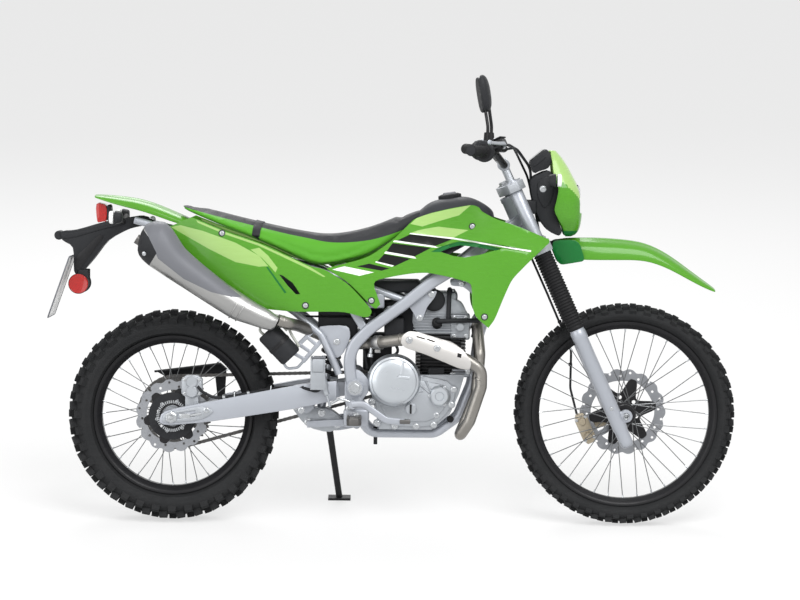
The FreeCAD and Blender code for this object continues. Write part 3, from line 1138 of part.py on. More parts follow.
# Shock absorber, canister, radiators and chain guard
def buildFittings():
    top = at(0.512, 0, 0.7)
    foot = at(0.45, 0, 0.345)
    along = foot - top
    length = along.Length
    coils = counts["shock_coils"]
    start = length * 0.28
    pitch = length * 0.56 / coils
    profile = [(0, mm.cross_radius * 1.5), (mm.shock_eye_radius, mm.cross_radius * 1.5),
               (mm.shock_radius * 0.8, start * 0.5), (mm.shock_radius, start * 0.9)]
    for i in range(coils):
        profile += [(mm.shock_radius * 0.82, start + pitch * i), (mm.shock_radius, start + pitch * (i + 0.5))]
    profile += [(mm.shock_radius * 0.9, length * 0.86), (mm.shock_rod_radius, length * 0.9),
                (mm.shock_rod_radius, length), (0, length)]
    shape = spun(profile, counts["round_facets"])
    shape.Placement = Placement(top, Rotation(Vector(0, 1, 0), along))
    linkShares = [(0.352, 0.3565), (0.38, 0.3595), (0.43, 0.342), (0.475, 0.342), (0.532, 0.3), (0.48, 0.27),
                  (0.4, 0.29)]
    half = mm.pivot_lug_half * 0.4
    face = [Vector(p.x, -half, p.z) for p in (at(x, 0, z) for x, z in linkShares)]
    linkage = prism(face, Vector(0, half * 2, 0))
    finish(shaped("rear_shock", Part.makeCompound([shape, linkage])), "rear_shock")
    low = at(0.288, 0, 0.585)
    low.y = -mm.frame_half * 1.45
    ahead = at(0.35, 0, 0.52) - at(0.288, 0, 0.585)
    can = rod("canisterBody", "canister_radius", "canister_length", low, Rotation(Vector(0, 0, 1), ahead))
    finish(can, "canister")
    core = block("radiatorCore", "radiator_deep", "radiator_wide", "radiator_tall",
                 at(0.945, 0, 0.64) + Vector(0, mm.down_tube_radius * 1.4, 0))
    finish(pair("radiatorPair", core), "radiators")
    inner = mm.chain_line + mm.chain_width / 2 + mm.tooth_gap
    skirtShares = [(-0.066, 1.97), (0.137, 1.85), (0.161, 1.49), (0.138, 1.24), (-0.028, 1.57)]
    stripShares = [(-0.066, 1.97), (0.137, 1.85), (0.161, 1.49), (0.157, 1.45), (0.136, 1.78), (-0.064, 1.89)]
    tabShares = [(0.12, 1.35), (0.155, 1.41), (0.15, 0.06), (0.13, 0.11)]
    parts = []
    for shares, near, far in ((skirtShares, inner, inner + mm.panel_wall),
                              (stripShares, mm.chain_line - mm.chain_width, inner + mm.panel_wall),
                              (tabShares, inner, mm.arm_inner - mm.seat_gap)):
        face = [Vector(0, near, 0) + armLine(alongAt(x), z * mm.arm_tall) for x, z in shares]
        parts.append(prism(face, Vector(0, far - near, 0)))
    guard = parts[0].multiFuse(parts[1:])
    finish(shaped("chain_guard", guard), "chain_guard")


# Foot pegs, brake pedal, gear lever and the rear caliper
def buildFootControls():
    start = at(0.553, 1.24, 0.319) - Vector(0, 0, mm.peg_tall / 2)
    pegShares = [(-0.5, 0), (0.5, 0), (0.5, 0.86), (0.3, 1), (-0.3, 1), (-0.5, 0.86)]
    slotShares = [(-0.3, 0.24), (0.3, 0.24), (0.3, 0.52), (-0.3, 0.52)]
    step = Vector(0, mm.peg_length * 0.36, 0)

    def flat(shares):
        return prism([start + Vector(x * mm.peg_wide, y * mm.peg_length, 0) for x, y in shares],
                     Vector(0, 0, mm.peg_tall))

    slot = flat(slotShares)
    farSlot = slot.copy()
    farSlot.translate(step)
    tread = flat(pegShares).cut(slot).cut(farSlot)
    finish(shaped("footpegs", Part.makeCompound([tread, mirrorY(tread)])), "footpegs")
    pedal = tube([at(0.548, -1.5, 0.366), at(0.577, -1.62, 0.372), at(0.65, -1.7, 0.322), at(0.705, -1.75, 0.318)],
                 mm.pedal_radius, mm.pipe_bend)
    lever = tube([at(0.688, 1.2, 0.357), at(0.692, 1.36, 0.345), at(0.71, 1.5, 0.33), at(0.71, 1.8, 0.33)],
                 mm.pedal_radius, mm.pipe_bend)
    finish(shaped("foot_levers", Part.makeCompound([pedal, lever])), "foot_levers")
    reach = mm.rear_disc_radius
    centre = Vector(reach * 0.54, -mm.rear_disc_place, reach * 0.82 + mm.rear_radius)
    body = caliper(centre, mm.caliper_long * 0.66, mm.caliper_long * 0.7, mm.caliper_wide * 0.68)
    slot = Part.makeCylinder(reach + mm.pad_gap * 2, mm.disc_width + 2 * mm.pad_gap,
                             Vector(0, -mm.rear_disc_place - mm.disc_width / 2 - mm.pad_gap, mm.rear_radius),
                             Vector(0, 1, 0))
    master = Part.makeBox(mm.caliper_wide, mm.pipe_radius * 1.6, mm.caliper_long, at(0.42, -1.5, 0.41))
    finish(shaped("rear_brake", Part.makeCompound([body.cut(slot), master])), "rear_brake")


# Side stand, folded out with its foot flat on the road
def buildStand():
    pivot, axis = standAxis()
    footCentre = Vector(pivot.x + mm.stand_foot_lead, mm.stand_foot_out, roadAt(mm.stand_foot_out))
    foot = Part.makeBox(mm.stand_foot_long, mm.stand_foot_wide, mm.stand_foot_deep,
                        Vector(-mm.stand_foot_long / 2, -mm.stand_foot_wide / 2, 0))
    foot.Placement = Placement(footCentre, Rotation(Vector(1, 0, 0), mm.lean_angle))
    hubShape = peg(pivot - axis * (mm.stand_hub_width / 2), axis * mm.stand_hub_width, mm.stand_hub_radius)
    leg = peg(pivot, footCentre + Vector(0, 0, mm.stand_foot_deep / 2) - pivot, mm.stand_radius)
    bore = Part.makeCylinder(mm.stand_bolt_radius + mm.seat_gap, mm.stand_hub_width * 2,
                             pivot - axis * mm.stand_hub_width, axis)
    shape = foot.multiFuse([hubShape, leg]).cut(bore)
    finish(shaped("side_stand", shape), "side_stand")


# Lugs: a block on a carrier, grown until it all but meets the pieces that it holds
lugShares = [
    ("subframe", "bike", (0.19, 0.7, 0.815), (0.215, 1.6, 0.84), (0, 1, 0), ["side_covers"], True),
    ("fuel_tank", "bike", (0.865, 0.6, 0.89), (0.89, 1.7, 0.91), (0, 1, 0), ["shrouds"], True),
    ("frame", "bike", (0.89, 0.62, 0.81), (0.91, 0.8, 0.93), (0, 0, 1), ["fuel_tank"], True),
    ("subframe", "bike", (0.24, 0.72, 0.815), (0.265, 0.86, 0.9), (0, 0, 1), ["seat"], True),
    ("lamp_stays", "bike", (1.1, 0.708, 1.0), (1.118, 0.739, 1.12), (0, 0, 1), ["meter"], True),
    ("lamp_stays", "bike", (1.145, 0.72, 0.985), (1.16, 1.085, 0.995), (0, 1, 0), ["headlamp_cowl"], True),
    ("front_indicators", "bike", (1.137, 0.9, 1.03), (1.151, 1.25, 1.044), (0, -1, 0), ["headlamp_cowl"], True),
    ("rear_indicators", "bike", (-0.167, 0.3, 0.898), (-0.153, 0.5, 0.912), (0, -1, 0), ["plate_bracket"], True),
    ("rear_shock", "bike", (0.503, -0.12, 0.66), (0.521, 0.12, 0.7), (0, 0, 1), ["frame"], False),
    ("rear_shock", "bike", (0.442, -0.1, 0.335), (0.458, 0.1, 0.36), (0, 0, 1), [], False),
    ("rear_shock", "bike", (0.515, -0.12, 0.29), (0.56, 0.12, 0.305), (1, 0, 0), ["frame"], False),
    ("rear_shock", "bike", (0.356, -0.12, 0.345), (0.376, 0.12, 0.4), (0, 0, 1), ["swing_arm"], False),
    ("subframe", "bike", (0.325, -1.2, 0.56), (0.345, -0.88, 0.69), (0, -1, 0), ["canister"], False),
    ("intake", "bike", (0.3, 0.6, 0.67), (0.32, 0.9, 0.69), (0, 1, 0), ["subframe"], True),
    ("frame", "bike", (0.68, 0.5, 0.272), (0.705, 0.66, 0.3), (0, 0, 1), ["engine_cases"], True),
    ("exhaust_pipe", "bike", (0.89, -0.5, 0.595), (0.907, -0.1, 0.635), (-1, 0, 0), ["cylinder_head"], False),
    ("heat_shield", "bike", (0.785, -1.76, 0.53), (0.8, -1.5, 0.55), (0, 1, 0), ["exhaust_pipe"], False),
    ("plate_bracket", "bike", (-0.15, -0.24, 0.9103), (-0.06, 0.24, 0.99), (0, 0, 1), ["rear_fender"], False),
    ("subframe", "bike", (-0.118, -0.5, 0.895), (-0.062, 0.5, 0.91), (0, 0, 1), [], False),
    ("plate_bracket", "bike", (-0.34, -0.25, 0.77), (-0.3, 0.25, 0.79), (-1, 0, 0), ["number_plate"], False),
    ("frame", "bike", (0.95, 0.1, 0.69), (0.968, 0.6, 0.71), (0, 1, 0), ["radiators"], True),
    ("rear_brake", "bike", (0.04, -0.877, 0.33), (0.08, -0.79, 0.39), (0, 0, -1), [], False),
    ("subframe", "bike", (0.45, -1.4, 0.46), (0.5, -1.05, 0.48), (0, -1, 0), ["rear_brake"], False),
    ("front_caliper", "steer", (-0.06, 0.7, -0.018), (0.02, 0.805, 0.018), (1, 0, 0), ["fork_legs"], False),
    ("frame", "bike", (0.54, 0.95, 0.3), (0.58, 1.4, 0.345), (0, 1, 0), ["footpegs"], True),
    ("foot_levers", "bike", (0.54, -1.56, 0.358), (0.556, -0.9, 0.374), (0, 1, 0), ["frame"], False),
    ("foot_levers", "bike", (0.68, 0.7, 0.349), (0.696, 1.26, 0.365), (0, -1, 0), ["engine_cases"], False),
    ("muffler", "bike", (0.095, -1.65, 0.73), (0.11, -1.05, 0.755), (0, 1, 0), [], False),
    ("subframe", "bike", (0.092, -1.047, 0.72), (0.113, -0.7, 0.87), (0, -1, 0), [], False),
]
frames = {"bike": bike, "steer": steer}


def partNamed(label):
    return [item for item in subParts if item.Label == label][0]


def addLug(carrier, frameName, low, high, grow, stops, both):
    item = partNamed(carrier)
    place = frames[frameName]
    whole = item.Shape
    for side in (1, -1) if both else (1,):
        corner = at(*low)
        size = at(*high) - corner
        piece = Part.makeBox(size.x, size.y, size.z, corner)
        if side < 0:
            piece = mirrorY(piece)
        piece = piece.transformShape(place.toMatrix(), True)
        back = place.Rotation.multVec(Vector(grow[0], grow[1] * side, grow[2])) * -mm.seat_gap
        for stop in stops:
            wall = partNamed(stop).Shape.copy()
            wall.translate(back)
            piece = piece.cut(wall)
        if len(piece.Solids) > 1:
            piece = max(piece.Solids, key=lambda solid: solid.common(whole).Volume)
        whole = whole.fuse(piece)
    own = item.Placement
    if item.TypeId != "Part::Feature":
        base = item
        base.Label = carrier + "_base"
        item = doc.addObject("Part::Feature", carrier + "Lugged")
        item.Label = carrier
        subParts[subParts.index(base)] = item
    item.Placement = Placement()
    item.Shape = whole.removeSplitter().transformShape(own.inverse().toMatrix(), True)
    item.Placement = own


buildWheels()
buildChain()
buildBridges()
buildFork()
buildHandlebar()
buildMirrors()
buildFront()
rearIndicators = buildIndicators()
buildFrontFender()
buildFrontCaliper()
buildBrakeHose()
buildFrame()
buildSubframe()
buildSwingArm()
buildEngine()
buildIntake()
buildExhaust()
buildTank()
buildSeat()
buildPanels()
buildTail()
finish(shaped("rear_indicators", Part.makeCompound(rearIndicators)), "rear_indicators")
buildFittings()
buildFootControls()
buildStand()
doc.recompute()
for lugRow in lugShares:
    addLug(*lugRow)
doc.recompute()

# Checks before anything is written
faults = []
for item in doc.Objects:
    if "Invalid" in item.State or "Error" in item.State:
        raise RuntimeError("%s did not compute" % item.Name)
for item in subParts:
    if item.Shape.isNull() or not item.Shape.isValid() or item.Shape.Volume <= 0:
        faults.append(item.Label)
if faults:
    raise RuntimeError("no valid shape: " + ", ".join(faults))
for item in subParts:
    item.Shape.exportStep("parts/%s.step" % item.Label)
print("%d sub-parts written" % len(subParts))
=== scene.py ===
import json
import math

import bmesh
import bpy
from mathutils import Matrix, Vector
from mathutils.bvhtree import BVHTree
from mathutils.geometry import delaunay_2d_cdt

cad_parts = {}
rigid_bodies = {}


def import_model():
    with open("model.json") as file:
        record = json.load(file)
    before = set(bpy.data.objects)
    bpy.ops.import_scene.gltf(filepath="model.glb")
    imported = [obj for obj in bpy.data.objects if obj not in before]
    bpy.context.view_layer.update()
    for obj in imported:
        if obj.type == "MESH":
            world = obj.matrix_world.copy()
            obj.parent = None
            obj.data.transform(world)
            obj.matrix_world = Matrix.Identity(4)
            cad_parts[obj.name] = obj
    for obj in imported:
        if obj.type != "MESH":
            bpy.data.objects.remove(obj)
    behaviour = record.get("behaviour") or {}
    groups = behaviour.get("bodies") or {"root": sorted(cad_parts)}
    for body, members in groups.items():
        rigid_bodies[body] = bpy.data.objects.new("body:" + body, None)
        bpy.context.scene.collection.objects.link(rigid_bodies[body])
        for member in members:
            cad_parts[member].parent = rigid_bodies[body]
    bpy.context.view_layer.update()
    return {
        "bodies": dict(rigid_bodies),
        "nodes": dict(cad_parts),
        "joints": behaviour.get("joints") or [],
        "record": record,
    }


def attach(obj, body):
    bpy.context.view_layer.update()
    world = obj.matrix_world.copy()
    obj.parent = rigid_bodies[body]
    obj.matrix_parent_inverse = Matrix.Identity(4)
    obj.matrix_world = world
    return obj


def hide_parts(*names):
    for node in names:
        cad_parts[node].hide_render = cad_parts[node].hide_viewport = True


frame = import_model()
cadNodes = frame["nodes"]
joints = {joint["name"]: joint for joint in frame["joints"]}

# Frames of the leaning machine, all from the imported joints; lengths below are millimetres in these frames
stance = {"wheelHeight": 320, "leanDegrees": 9}
leanTurn = Matrix.Rotation(-math.radians(stance["leanDegrees"]), 4, "X")
toMetres = Matrix.Scale(0.001, 4)
rearPlace = Vector(joints["rear_wheel_spin"]["pos_m"])
frontPlace = Vector(joints["front_wheel_spin"]["pos_m"])
wheelDown = Matrix.Translation((0, 0, -stance["wheelHeight"] / 1000))
bikeFrame = Matrix.Translation(rearPlace) @ leanTurn @ wheelDown @ toMetres
rearFrame = Matrix.Translation(rearPlace) @ leanTurn @ toMetres
frontFrame = Matrix.Translation(frontPlace) @ leanTurn @ toMetres
steerUp = Vector(joints["steering"]["axis"]).normalized()
across = (leanTurn.to_3x3() @ Vector((0, 1, 0))).normalized()
steerTurn = Matrix((across.cross(steerUp), across, steerUp)).transposed().to_4x4()
steerFrame = Matrix.Translation(joints["steering"]["pos_m"]) @ steerTurn @ toMetres

print("camera and studio")
studio = {"lens": 147.5, "sensor": 36, "distance": 10, "elevation": 3, "roll": 0.645, "aimX": 687,
          "aimZ": 676, "floorSize": 60, "keyPower": 260, "fillPower": 90, "rimPower": 120, "skyLevel": 0.62}


def makeCamera():
    data = bpy.data.cameras.new("photoCamera")
    data.sensor_fit = "HORIZONTAL"
    data.sensor_width = studio["sensor"]
    data.lens = studio["lens"]
    data.clip_end = 100
    camera = bpy.data.objects.new("photoCamera", data)
    bpy.context.scene.collection.objects.link(camera)
    rise, roll = math.radians(studio["elevation"]), math.radians(studio["roll"])
    back = Vector((0, -math.cos(rise), math.sin(rise)))
    level = Vector((0, math.sin(rise), math.cos(rise)))
    right = Vector((1, 0, 0)) * math.cos(roll) + level * math.sin(roll)
    up = level * math.cos(roll) - Vector((1, 0, 0)) * math.sin(roll)
    turn = leanTurn @ Matrix((right, up, back)).transposed().to_4x4()
    aim = bikeFrame @ Vector((studio["aimX"], 0, studio["aimZ"]))
    camera.matrix_world = Matrix.Translation(aim + (leanTurn @ back) * studio["distance"]) @ turn
    bpy.context.scene.camera = camera
    return aim


def addLight(name, power, size, place, aim):
    data = bpy.data.lights.new(name, "AREA")
    data.energy = power
    data.size = size
    light = bpy.data.objects.new(name, data)
    bpy.context.scene.collection.objects.link(light)
    light.location = place
    light.rotation_euler = (Vector(aim) - light.location).to_track_quat("-Z", "Y").to_euler()


def seenWhite(tree, shader, level):
    # white where the camera, a reflection or a refraction looks at it, and shader elsewhere
    path = tree.nodes.new("ShaderNodeLightPath")
    seen = path.outputs["Is Camera Ray"]
    for other in ("Is Glossy Ray", "Is Transmission Ray"):
        most = tree.nodes.new("ShaderNodeMath")
        most.operation = "MAXIMUM"
        tree.links.new(seen, most.inputs[0])
        tree.links.new(path.outputs[other], most.inputs[1])
        seen = most.outputs[0]
    share = tree.nodes.new("ShaderNodeMath")
    share.operation = "MULTIPLY"
    share.inputs[1].default_value = level
    tree.links.new(seen, share.inputs[0])
    mix = tree.nodes.new("ShaderNodeMixShader")
    tree.links.new(share.outputs[0], mix.inputs[0])
    tree.links.new(shader, mix.inputs[1])
    return mix


def makeStudio():
    aim = makeCamera()
    scene = bpy.context.scene
    scene.view_settings.view_transform = "Standard"
    world = bpy.data.worlds.new("studioSky")
    scene.world = world
    world.use_nodes = True
    sky = world.node_tree.nodes["Background"]
    sky.inputs["Color"].default_value = (1, 1, 1, 1)
    sky.inputs["Strength"].default_value = studio["skyLevel"]
    white = world.node_tree.nodes.new("ShaderNodeBackground")
    white.inputs["Color"].default_value = (1, 1, 1, 1)
    mix = seenWhite(world.node_tree, sky.outputs[0], 1)
    world.node_tree.links.new(white.outputs[0], mix.inputs[2])
    world.node_tree.links.new(mix.outputs[0], world.node_tree.nodes["World Output"].inputs[0])
    mesh = bpy.data.meshes.new("studioFloor")
    half = studio["floorSize"] / 2
    mesh.from_pydata([(-half, -half, 0), (half, -half, 0), (half, half, 0), (-half, half, 0)], [],
                     [(0, 1, 2, 3)])
    floor = bpy.data.objects.new("studioFloor", mesh)
    scene.collection.objects.link(floor)
    material = bpy.data.materials.new("studioFloor")
    material.use_nodes = True
    tree = material.node_tree
    plain = tree.nodes["Principled BSDF"]
    plain.inputs["Base Color"].default_value = (0.8, 0.8, 0.8, 1)
    plain.inputs["Roughness"].default_value = 1
    plain.inputs["Specular IOR Level"].default_value = 0
    glow = tree.nodes.new("ShaderNodeEmission")
    mix = seenWhite(tree, plain.outputs[0], 0.62)
    tree.links.new(glow.outputs[0], mix.inputs[2])
    tree.links.new(mix.outputs[0], tree.nodes["Material Output"].inputs[0])
    mesh.materials.append(material)
    addLight("keyLight", studio["keyPower"], 3.4, aim + Vector((1.6, -3.2, 4.2)), aim)
    addLight("fillLight", studio["fillPower"], 4, aim + Vector((-3.6, -3.4, 1.6)), aim)
    addLight("rimLight", studio["rimPower"], 3, aim + Vector((-0.6, 3.8, 3.4)), aim)


makeStudio()

print("materials")


def shaderGroup(name, inputs, outputs):
    tree = bpy.data.node_groups.new(name, "ShaderNodeTree")
    for label, kind, value in inputs:
        tree.interface.new_socket(label, in_out="INPUT", socket_type=kind).default_value = value
    for label, kind in outputs:
        tree.interface.new_socket(label, in_out="OUTPUT", socket_type=kind)
    return tree, tree.nodes.new("NodeGroupInput").outputs, tree.nodes.new("NodeGroupOutput").inputs


def addNode(tree, kind, links=(), **values):
    node = tree.nodes.new(kind)
    for key, value in values.items():
        setattr(node, key, value)
    for socket, source in links:
        if isinstance(source, bpy.types.NodeSocket):
            tree.links.new(source, node.inputs[socket])
        else:
            node.inputs[socket].default_value = source
    return node


def makeFinishGroup():
    # Mottled colour, uneven gloss and fine grain, as most painted, moulded and cast surfaces have
    floatKind, colourKind = "NodeSocketFloat", "NodeSocketColor"
    tree, given, result = shaderGroup("surfaceFinish", [
        ("Colour", colourKind, (0.5, 0.5, 0.5, 1)), ("Worn Colour", colourKind, (0.4, 0.4, 0.4, 1)),
        ("Mottle", floatKind, 6), ("Wear", floatKind, 0.3), ("Gloss", floatKind, 0.3),
        ("Dull", floatKind, 0.5), ("Grain", floatKind, 400)],
        [("Colour", colourKind), ("Roughness", floatKind), ("Height", floatKind)])
    place = addNode(tree, "ShaderNodeTexCoord").outputs["Object"]
    broad = addNode(tree, "ShaderNodeTexNoise", [("Vector", place), ("Scale", given["Mottle"]),
                                                 ("Detail", 5)])
    share = addNode(tree, "ShaderNodeMath", [(0, broad.outputs["Fac"]), (1, given["Wear"])],
                    operation="MULTIPLY")
    mix = addNode(tree, "ShaderNodeMix", [(0, share.outputs[0]), (6, given["Colour"]),
                                          (7, given["Worn Colour"])],
                  data_type="RGBA")
    stretch = addNode(tree, "ShaderNodeMapping", [("Vector", place), ("Scale", (3, 3, 14))])
    smear = addNode(tree, "ShaderNodeTexNoise", [("Vector", stretch.outputs[0]), ("Scale", given["Mottle"]),
                                                ("Detail", 6)])
    rough = addNode(tree, "ShaderNodeMapRange", [("Value", smear.outputs["Fac"]), ("From Min", 0.3),
                                                ("From Max", 0.7), ("To Min", given["Gloss"]),
                                                ("To Max", given["Dull"])])
    grain = addNode(tree, "ShaderNodeTexNoise", [("Vector", place), ("Scale", given["Grain"]),
                                                 ("Detail", 3)])
    tree.links.new(mix.outputs[2], result["Colour"])
    tree.links.new(rough.outputs[0], result["Roughness"])
    tree.links.new(grain.outputs["Fac"], result["Height"])
    return tree


def makeWeaveGroup():
    # Crossed threads of a stretched vinyl and cloth cover
    floatKind = "NodeSocketFloat"
    tree, given, result = shaderGroup("coverWeave", [("Threads", floatKind, 900)], [("Height", floatKind)])
    place = addNode(tree, "ShaderNodeTexCoord").outputs["Object"]
    waves = []
    for axis in ("X", "Y"):
        wave = addNode(tree, "ShaderNodeTexWave", [("Vector", place), ("Scale", given["Threads"]),
                                                  ("Distortion", 0.6)], bands_direction=axis)
        waves.append(wave.outputs["Fac"])
    cross = addNode(tree, "ShaderNodeMath", [(0, waves[0]), (1, waves[1])], operation="MAXIMUM")
    tree.links.new(cross.outputs[0], result["Height"])
    return tree


finishGroup = makeFinishGroup()
weaveGroup = makeWeaveGroup()


# colour, worn colour, wear, gloss, dull, mottle, grain scale, grain depth, metallic, coat
looks = {
    "limePlastic": ((0.07, 0.265, 0.014), (0.09, 0.3, 0.02), 0.5, 0.22, 0.34, 5, 700, 0.004, 0, 0.4),
    # paleLime is a painted highlight: a paler green laid where light catches the green plastic
    "paleLime": ((0.34, 0.52, 0.17), (0.28, 0.48, 0.12), 0.6, 0.22, 0.34, 5, 700, 0.004, 0, 0.4),
    # shadePlastic is painted shade: a darker green laid in recesses, grooves and under edges of the green
    # plastic
    "shadePlastic": ((0.006, 0.13, 0.025), (0.01, 0.15, 0.03), 0.5, 0.3, 0.42, 5, 700, 0.006, 0, 0.2),
    "whiteFilm": ((0.86, 0.88, 0.84), (0.8, 0.84, 0.78), 0.4, 0.25, 0.35, 9, 800, 0.002, 0, 0.4),
    "blackFilm": ((0.006, 0.006, 0.006), (0.012, 0.012, 0.012), 0.5, 0.25, 0.4, 9, 800, 0.002, 0, 0.05),
    "tankGrey": ((0.035, 0.037, 0.042), (0.05, 0.052, 0.058), 0.7, 0.42, 0.58, 8, 900, 0.02, 0, 0),
    "blackPlastic": ((0.016, 0.017, 0.019), (0.03, 0.031, 0.034), 0.7, 0.42, 0.62, 9, 900, 0.03, 0, 0),
    "tyreRubber": ((0.013, 0.014, 0.015), (0.028, 0.028, 0.029), 0.8, 0.62, 0.82, 14, 600, 0.05, 0, 0),
    "bootRubber": ((0.009, 0.009, 0.01), (0.02, 0.02, 0.021), 0.7, 0.5, 0.7, 14, 600, 0.03, 0, 0),
    "blackRim": ((0.009, 0.009, 0.01), (0.02, 0.02, 0.022), 0.6, 0.3, 0.45, 8, 700, 0.01, 0, 0.05),
    "blackMetal": ((0.012, 0.012, 0.013), (0.03, 0.03, 0.032), 0.7, 0.34, 0.52, 12, 800, 0.02, 0.2, 0.05),
    "silverPaint": ((0.35, 0.37, 0.41), (0.4, 0.42, 0.46), 0.6, 0.32, 0.46, 7, 900, 0.01, 0.35, 0.3),
    "satinAlloy": ((0.38, 0.40, 0.43), (0.31, 0.33, 0.36), 0.7, 0.3, 0.46, 10, 900, 0.02, 0.75, 0),
    "castAlloy": ((0.42, 0.44, 0.47), (0.29, 0.31, 0.33), 0.8, 0.36, 0.52, 16, 500, 0.08, 0.7, 0),
    "polishedCast": ((0.50, 0.53, 0.56), (0.43, 0.45, 0.48), 0.5, 0.26, 0.38, 3, 900, 0.004, 0.75, 0),
    "brightSteel": ((0.50, 0.52, 0.54), (0.4, 0.41, 0.42), 0.6, 0.18, 0.32, 20, 900, 0.01, 0.9, 0),
    "discSteel": ((0.32, 0.33, 0.35), (0.24, 0.25, 0.27), 0.7, 0.3, 0.44, 30, 900, 0.02, 0.85, 0),
    "spokeSteel": ((0.15, 0.155, 0.16), (0.1, 0.1, 0.1), 0.6, 0.25, 0.4, 20, 900, 0.01, 0.9, 0),
    "darkSteel": ((0.10, 0.10, 0.10), (0.17, 0.16, 0.15), 0.8, 0.32, 0.52, 30, 700, 0.03, 0.8, 0),
    "headerSteel": ((0.2, 0.185, 0.165), (0.32, 0.31, 0.29), 0.9, 0.26, 0.42, 9, 800, 0.01, 0.9, 0),
    "shieldAlloy": ((0.58, 0.565, 0.55), (0.5, 0.49, 0.47), 0.6, 0.36, 0.5, 12, 900, 0.02, 0.55, 0),
    "mufflerSteel": ((0.4, 0.4, 0.39), (0.3, 0.3, 0.3), 0.7, 0.28, 0.42, 6, 900, 0.01, 0.9, 0),
    "greyGuard": ((0.14, 0.145, 0.16), (0.18, 0.185, 0.2), 0.6, 0.4, 0.52, 8, 800, 0.02, 0.1, 0),
    "bronzeAlloy": ((0.46, 0.42, 0.33), (0.34, 0.26, 0.17), 0.8, 0.3, 0.48, 14, 700, 0.04, 0.75, 0),
    "redLens": ((0.36, 0.012, 0.012), (0.44, 0.03, 0.02), 0.5, 0.08, 0.16, 20, 300, 0.02, 0, 0.6),
    "whitePlate": ((0.8, 0.8, 0.8), (0.74, 0.74, 0.74), 0.5, 0.4, 0.5, 9, 800, 0.01, 0, 0),
    "paleHose": ((0.42, 0.44, 0.40), (0.5, 0.5, 0.46), 0.5, 0.3, 0.45, 20, 700, 0.01, 0, 0),
    "meterFace": ((0.01, 0.012, 0.014), (0.02, 0.024, 0.026), 0.3, 0.08, 0.16, 4, 500, 0, 0, 0.6),
    "milkLens": ((0.86, 0.87, 0.86), (0.72, 0.73, 0.74), 0.5, 0.1, 0.2, 20, 300, 0.004, 0, 0.6),
    "mirrorFace": ((0.85, 0.86, 0.87), (0.8, 0.81, 0.82), 0.2, 0.02, 0.05, 4, 300, 0.001, 1, 0),
}
materials = {}


def makeMaterial(name, look):
    colour, worn, wear, gloss, dull, mottle, grain, depth, metallic, coat = look
    material = bpy.data.materials.new(name)
    material.use_nodes = True
    tree = material.node_tree
    shader = tree.nodes["Principled BSDF"]
    finish = addNode(tree, "ShaderNodeGroup", node_tree=finishGroup)
    for label, value in (("Colour", (*colour, 1)), ("Worn Colour", (*worn, 1)), ("Mottle", mottle),
                         ("Wear", wear), ("Gloss", gloss), ("Dull", dull), ("Grain", grain)):
        finish.inputs[label].default_value = value
    bump = addNode(tree, "ShaderNodeBump", [("Height", finish.outputs["Height"]), ("Distance", depth / 100)])
    tree.links.new(finish.outputs["Colour"], shader.inputs["Base Color"])
    tree.links.new(finish.outputs["Roughness"], shader.inputs["Roughness"])
    tree.links.new(bump.outputs[0], shader.inputs["Normal"])
    shader.inputs["Metallic"].default_value = metallic
    shader.inputs["Specular IOR Level"].default_value = 0.5 if metallic > 0.3 else 0.16
    shader.inputs["Coat Weight"].default_value = coat
    shader.inputs["Coat Roughness"].default_value = 0.08
    materials[name] = material
    return material


def makeGlass(name, colour, roughness):
    material = makeMaterial(name, (colour, colour, 0, roughness, roughness * 1.6, 6, 200, 0.01, 0, 0))
    shader = material.node_tree.nodes["Principled BSDF"]
    shader.inputs["Transmission Weight"].default_value = 0.85
    shader.inputs["IOR"].default_value = 1.45


def makeCover(name):
    # two coloured seat cover: the seam attribute is above zero on the dark top
    vinyl = ((0.08, 0.32, 0.02), (0.1, 0.36, 0.03), 0.5, 0.4, 0.55, 8, 800, 0.01, 0, 0)
    material = makeMaterial(name, vinyl)
    tree = material.node_tree
    shader = tree.nodes["Principled BSDF"]
    finish = shader.inputs["Base Color"].links[0].from_socket
    seam = addNode(tree, "ShaderNodeAttribute", attribute_name="seam")
    step = addNode(tree, "ShaderNodeMath", [(0, seam.outputs["Fac"]), (1, 0)], operation="GREATER_THAN")
    mix = addNode(tree, "ShaderNodeMix", [(0, step.outputs[0]), (6, finish), (7, (0.03, 0.031, 0.034, 1))],
                  data_type="RGBA")
    tree.links.new(mix.outputs[2], shader.inputs["Base Color"])
    weave = addNode(tree, "ShaderNodeGroup", node_tree=weaveGroup)
    bump = addNode(tree, "ShaderNodeBump", [("Height", weave.outputs[0]), ("Distance", 0.0004),
                                            ("Strength", 0.4)])
    tree.links.new(bump.outputs[0], shader.inputs["Normal"])


for lookName, look in looks.items():
    makeMaterial(lookName, look)
makeGlass("clearLens", (0.9, 0.93, 0.95), 0.05)
makeCover("seatCover")


# Mesh tools: every shape is made in millimetres in its own frame and then placed
def meshPiece(name, points, faces, place, smoothAngle=35):
    mesh = bpy.data.meshes.new(name)
    mesh.from_pydata([tuple(point) for point in points], [], faces)
    mesh.transform(place)
    shape = bmesh.new()
    shape.from_mesh(mesh)
    bmesh.ops.remove_doubles(shape, verts=shape.verts, dist=1e-6)
    bmesh.ops.recalc_face_normals(shape, faces=shape.faces)
    shape.to_mesh(mesh)
    shape.free()
    mesh.shade_smooth()
    mesh.set_sharp_from_angle(angle=math.radians(smoothAngle))
    piece = bpy.data.objects.new(name, mesh)
    bpy.context.scene.collection.objects.link(piece)
    return piece


def settled(piece, smoothAngle=None):
    # the evaluated piece as a plain mesh, with no modifier left
    bpy.context.view_layer.update()
    mesh = bpy.data.meshes.new_from_object(piece.evaluated_get(bpy.context.evaluated_depsgraph_get()))
    name = piece.name
    bpy.data.objects.remove(piece)
    mesh.name = name
    if smoothAngle is not None:
        mesh.shade_smooth()
        mesh.set_sharp_from_angle(angle=math.radians(smoothAngle))
    plain = bpy.data.objects.new(name, mesh)
    bpy.context.scene.collection.objects.link(plain)
    return plain


